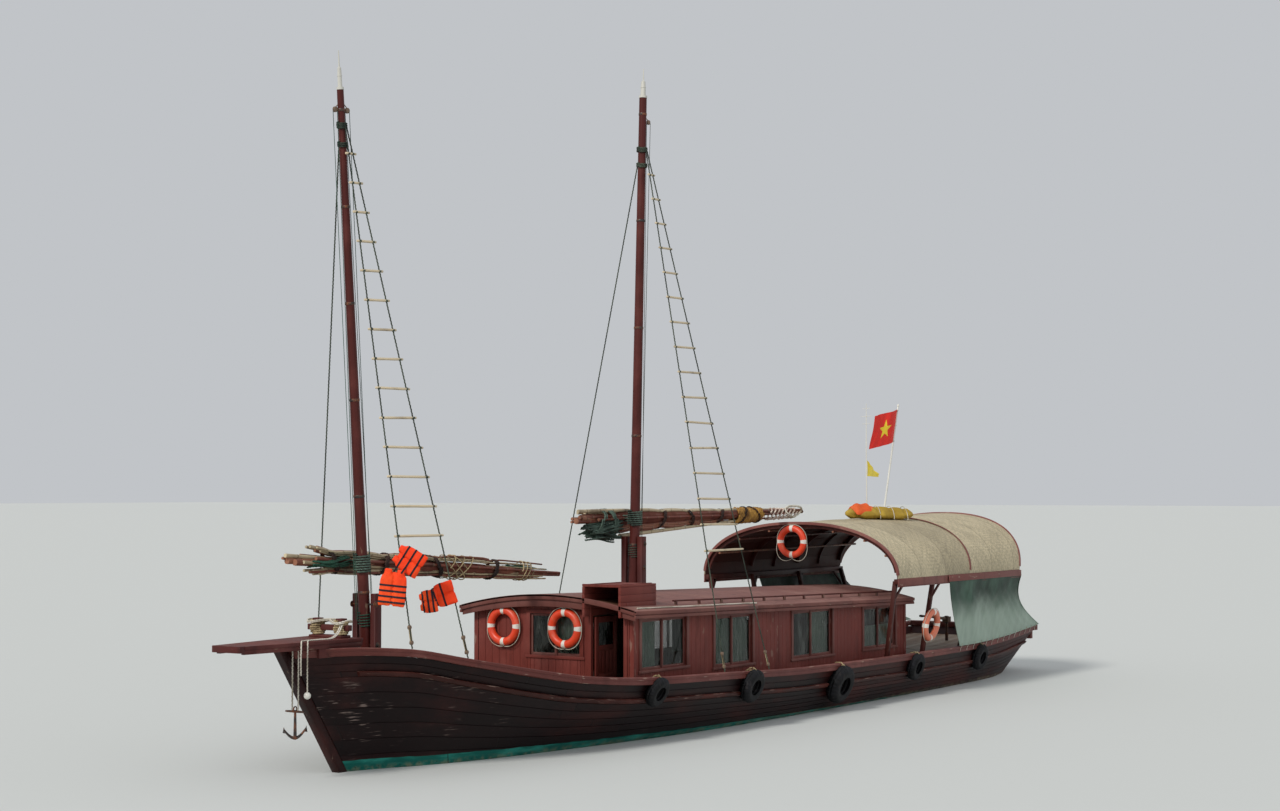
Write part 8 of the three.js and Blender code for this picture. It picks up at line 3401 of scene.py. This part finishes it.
@dataclass
class Steering:
    """Rudder with its tiller, screw with its shaft, and the engine."""

    stock_x: float = -11.4
    blade_levels: tuple[tuple[float, float], ...] = (
        (-0.98, -0.56), (-0.74, -0.618), (-0.5, -0.64), (-0.355, -0.60), (-0.21, -0.56),
    )
    shaft_aft: tuple[float, float, float] = (-10.7, 0, -0.6)
    shaft_fore: tuple[float, float, float] = (-7.61, 0, -0.2)
    blades: int = 3
    blade_foot: float = 0.045
    blade_tip: float = 0.345

    def build(self) -> None:
        """Builds and dresses the machinery."""
        self.rudder()
        self.screw()
        rounded("engine", ENGINE_PAINT, bevel=0.03)

    def rudder(self) -> None:
        """Blade of planks in iron straps, round stock, head and tiller."""
        x = self.stock_x
        blade, iron, tiller = Draft(), Draft(), Draft()
        for k, ((z0, r0), (z1, r1)) in enumerate(pairwise(self.blade_levels)):
            t = 0.025
            low, high = z0 + 0.0015, z1 - 0.0015
            lead = 0.13 if k < 3 else 0.12
            rows = [[Vector((x + lead, -t, z)), Vector((x + lead, t, z)), Vector((x + r, t * 0.55, z)),
                     Vector((x + r, -t * 0.55, z))]
                    for z, r in ((low, r0), (high, r1))]
            blade.solid(rows, [z0, z1], [k + i / 4 for i in range(5)])
        blade.piece("rudder_blade", STEM_PAINT, "steering", replaces=["rudder"], bevel=0.005)
        for z in (-0.86, -0.60, -0.36):
            iron.block((x - 0.50, -0.031, z - 0.025), (x + 0.125, 0.031, z + 0.025))
        iron.tube([(x, 0, -0.96), (x, 0, 1.34)], 0.0395, 20)
        iron.lathe((x, 0, 1.3), (0, 0, 1), [(0, 0.0), (0, 0.056), (0.03, 0.056), (0.034, 0.05), (0.034, 0)], 6)
        iron.piece("rudder_stock", IRON, "steering", bevel=0.003)
        tiller.block((x - 0.09, -0.075, 1.19), (x + 0.09, 0.075, 1.32), 0.3)
        path = leant((x + 0.02, 0, 1.262), (x + 1.5, 0, 1.41), 24, -0.012)
        tiller.tube(path, [0.037 - 0.012 * u if u < 0.86 else 0.024 + 0.008 * sin((u - 0.86) * 20)
                           for u in steps(0, 1, 24)], 16, mark=2)
        tiller.piece("tiller", OLD_WOOD, "steering", sharp=40)

    def screw(self) -> None:
        """Three-bladed screw on its shaft."""
        base, fore = Vector(self.shaft_aft), Vector(self.shaft_fore)
        axis = (fore - base).normalized()
        draft = Draft()
        turn = Vector((0, 0, 1)).rotation_difference(axis)
        hub = base - axis * 0.09
        draft.lathe(hub, axis, [(-0.02, 0.0), (-0.015, 0.030), (0.0, 0.046), (0.05, 0.055), (0.17, 0.070),
                                (0.205, 0.072), (0.21, 0.05), (0.21, 0.0)], 28)
        for a in full_turn(self.blades):
            spin = Matrix.Rotation(a, 4, "Z")
            rows = []
            for r in steps(self.blade_foot, self.blade_tip, 18):
                u = (r - self.blade_foot) / 0.30
                fade = 1 if u < 0.9 else (1 - u) * 10
                chord = 0.10 + 0.20 * sin(pi * min(1, u * 0.86 + 0.12)) ** 0.8 * fade
                pitch = atan2(0.42, tau * max(r, 0.06))
                thick = 0.012 * (1 - 0.75 * u) + 0.002
                row = []
                for c, t in ((-0.5, 0.0), (-0.25, 0.8), (0.0, 1.0), (0.25, 0.8), (0.5, 0.0), (0.25, -0.5),
                             (0.0, -0.6), (-0.25, -0.5)):
                    chordwise = c * chord * 0.8
                    local = Vector((r, chordwise * cos(pitch) - t * thick * sin(pitch),
                                    chordwise * sin(pitch) + t * thick * cos(pitch) + 0.10))
                    row.append(hub + turn @ (spin @ local))
                rows.append(row)
            draft.solid(rows)
        draft.piece("screw_and_hub", BRONZE, "screw", replaces=["propeller"], sharp=40)
        shaft = Draft()
        shaft.tube([base + axis * 0.1, fore], 0.0298, 20)
        shaft.piece("screw_shaft", IRON, "screw", sharp=60)


@dataclass
class Studio:
    """Pale floor at the waterline, soft light, and a camera with the photo's view."""

    camera: tuple[float, float, float] = (36.59, 22.20, 4.40)
    turn: float = -146.97
    pitch: float = 2.32
    lens: float = 59.6
    sensor: float = 36.0
    floor_reach: float = 600.0
    floor_colour: int = 0xC9CBC8
    sky: tuple[float, float, float] = (0.86, 0.89, 0.93)
    sky_strength: float = 0.62

    def build(self) -> None:
        """Sets the floor, the lights and the camera."""
        floor = Draft()
        reach = self.floor_reach
        floor.grid([[Vector((x, y, 0)) for x in (-reach, reach)] for y in (-reach, reach)])
        plane = linked("studio_floor", floor.mesh("studio_floor", closed=False))
        s = Shader("pale_studio_floor")
        plane.data.materials.append(s.done(self.floor_colour, 0.9))
        world = bpy.data.worlds.new("soft_studio_sky")
        world.use_nodes = True
        back = world.node_tree.nodes["Background"]
        back.inputs["Color"].default_value = (*self.sky, 1.0)
        back.inputs["Strength"].default_value = self.sky_strength
        bpy.context.scene.world = world
        self.sun("key_light", 2.1, 12.0, (52, 0, 84), (1.0, 0.975, 0.93))
        self.sun("fill_light", 0.35, 60.0, (62, 0, 160), (0.88, 0.94, 1.0))
        data = bpy.data.cameras.new("view_of_the_photograph")
        data.lens, data.sensor_width = self.lens, self.sensor
        data.clip_end = 1500
        eye = linked("view_of_the_photograph", data)
        eye.location = self.camera
        eye.rotation_euler = Euler((radians(90 + self.pitch), 0, radians(self.turn - 90)))
        bpy.context.scene.camera = eye
        bpy.context.scene.view_settings.view_transform = "Standard"

    def sun(self, name: str, strength: float, angle: float, turn: tuple[float, float, float],
            colour: tuple[float, float, float]) -> None:
        """One broad distant light."""
        data = bpy.data.lights.new(name, "SUN")
        data.energy, data.angle, data.color = strength, radians(angle), colour
        linked(name, data).rotation_euler = Euler([radians(t) for t in turn])


def main() -> None:
    """Builds every piece in order."""
    logging.basicConfig(level=logging.INFO, format="%(name)s %(message)s")
    Studio().build()
    parts = [
        Hull(), Rails(), Foredeck(), Cabin(), Masts(),
        Stay("fore_shroud", FOREMAST, 9.9, 10.2), Stay("main_shroud", MAINMAST, 10.7, 2.3),
        FORE_LADDER, Ladder("main_ladder", MAINMAST, 11.0, (3.1, 1.47), 16, 3.3, 10.5),
        *sails(), Awning(), Fenders(), Lifebuoys(), Jackets(), Colours(), Steering(),
    ]
    for part in parts:
        LOG.info("%s starts", type(part).__name__)
        part.build()
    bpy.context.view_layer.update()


if __name__ == "__main__":
    main()
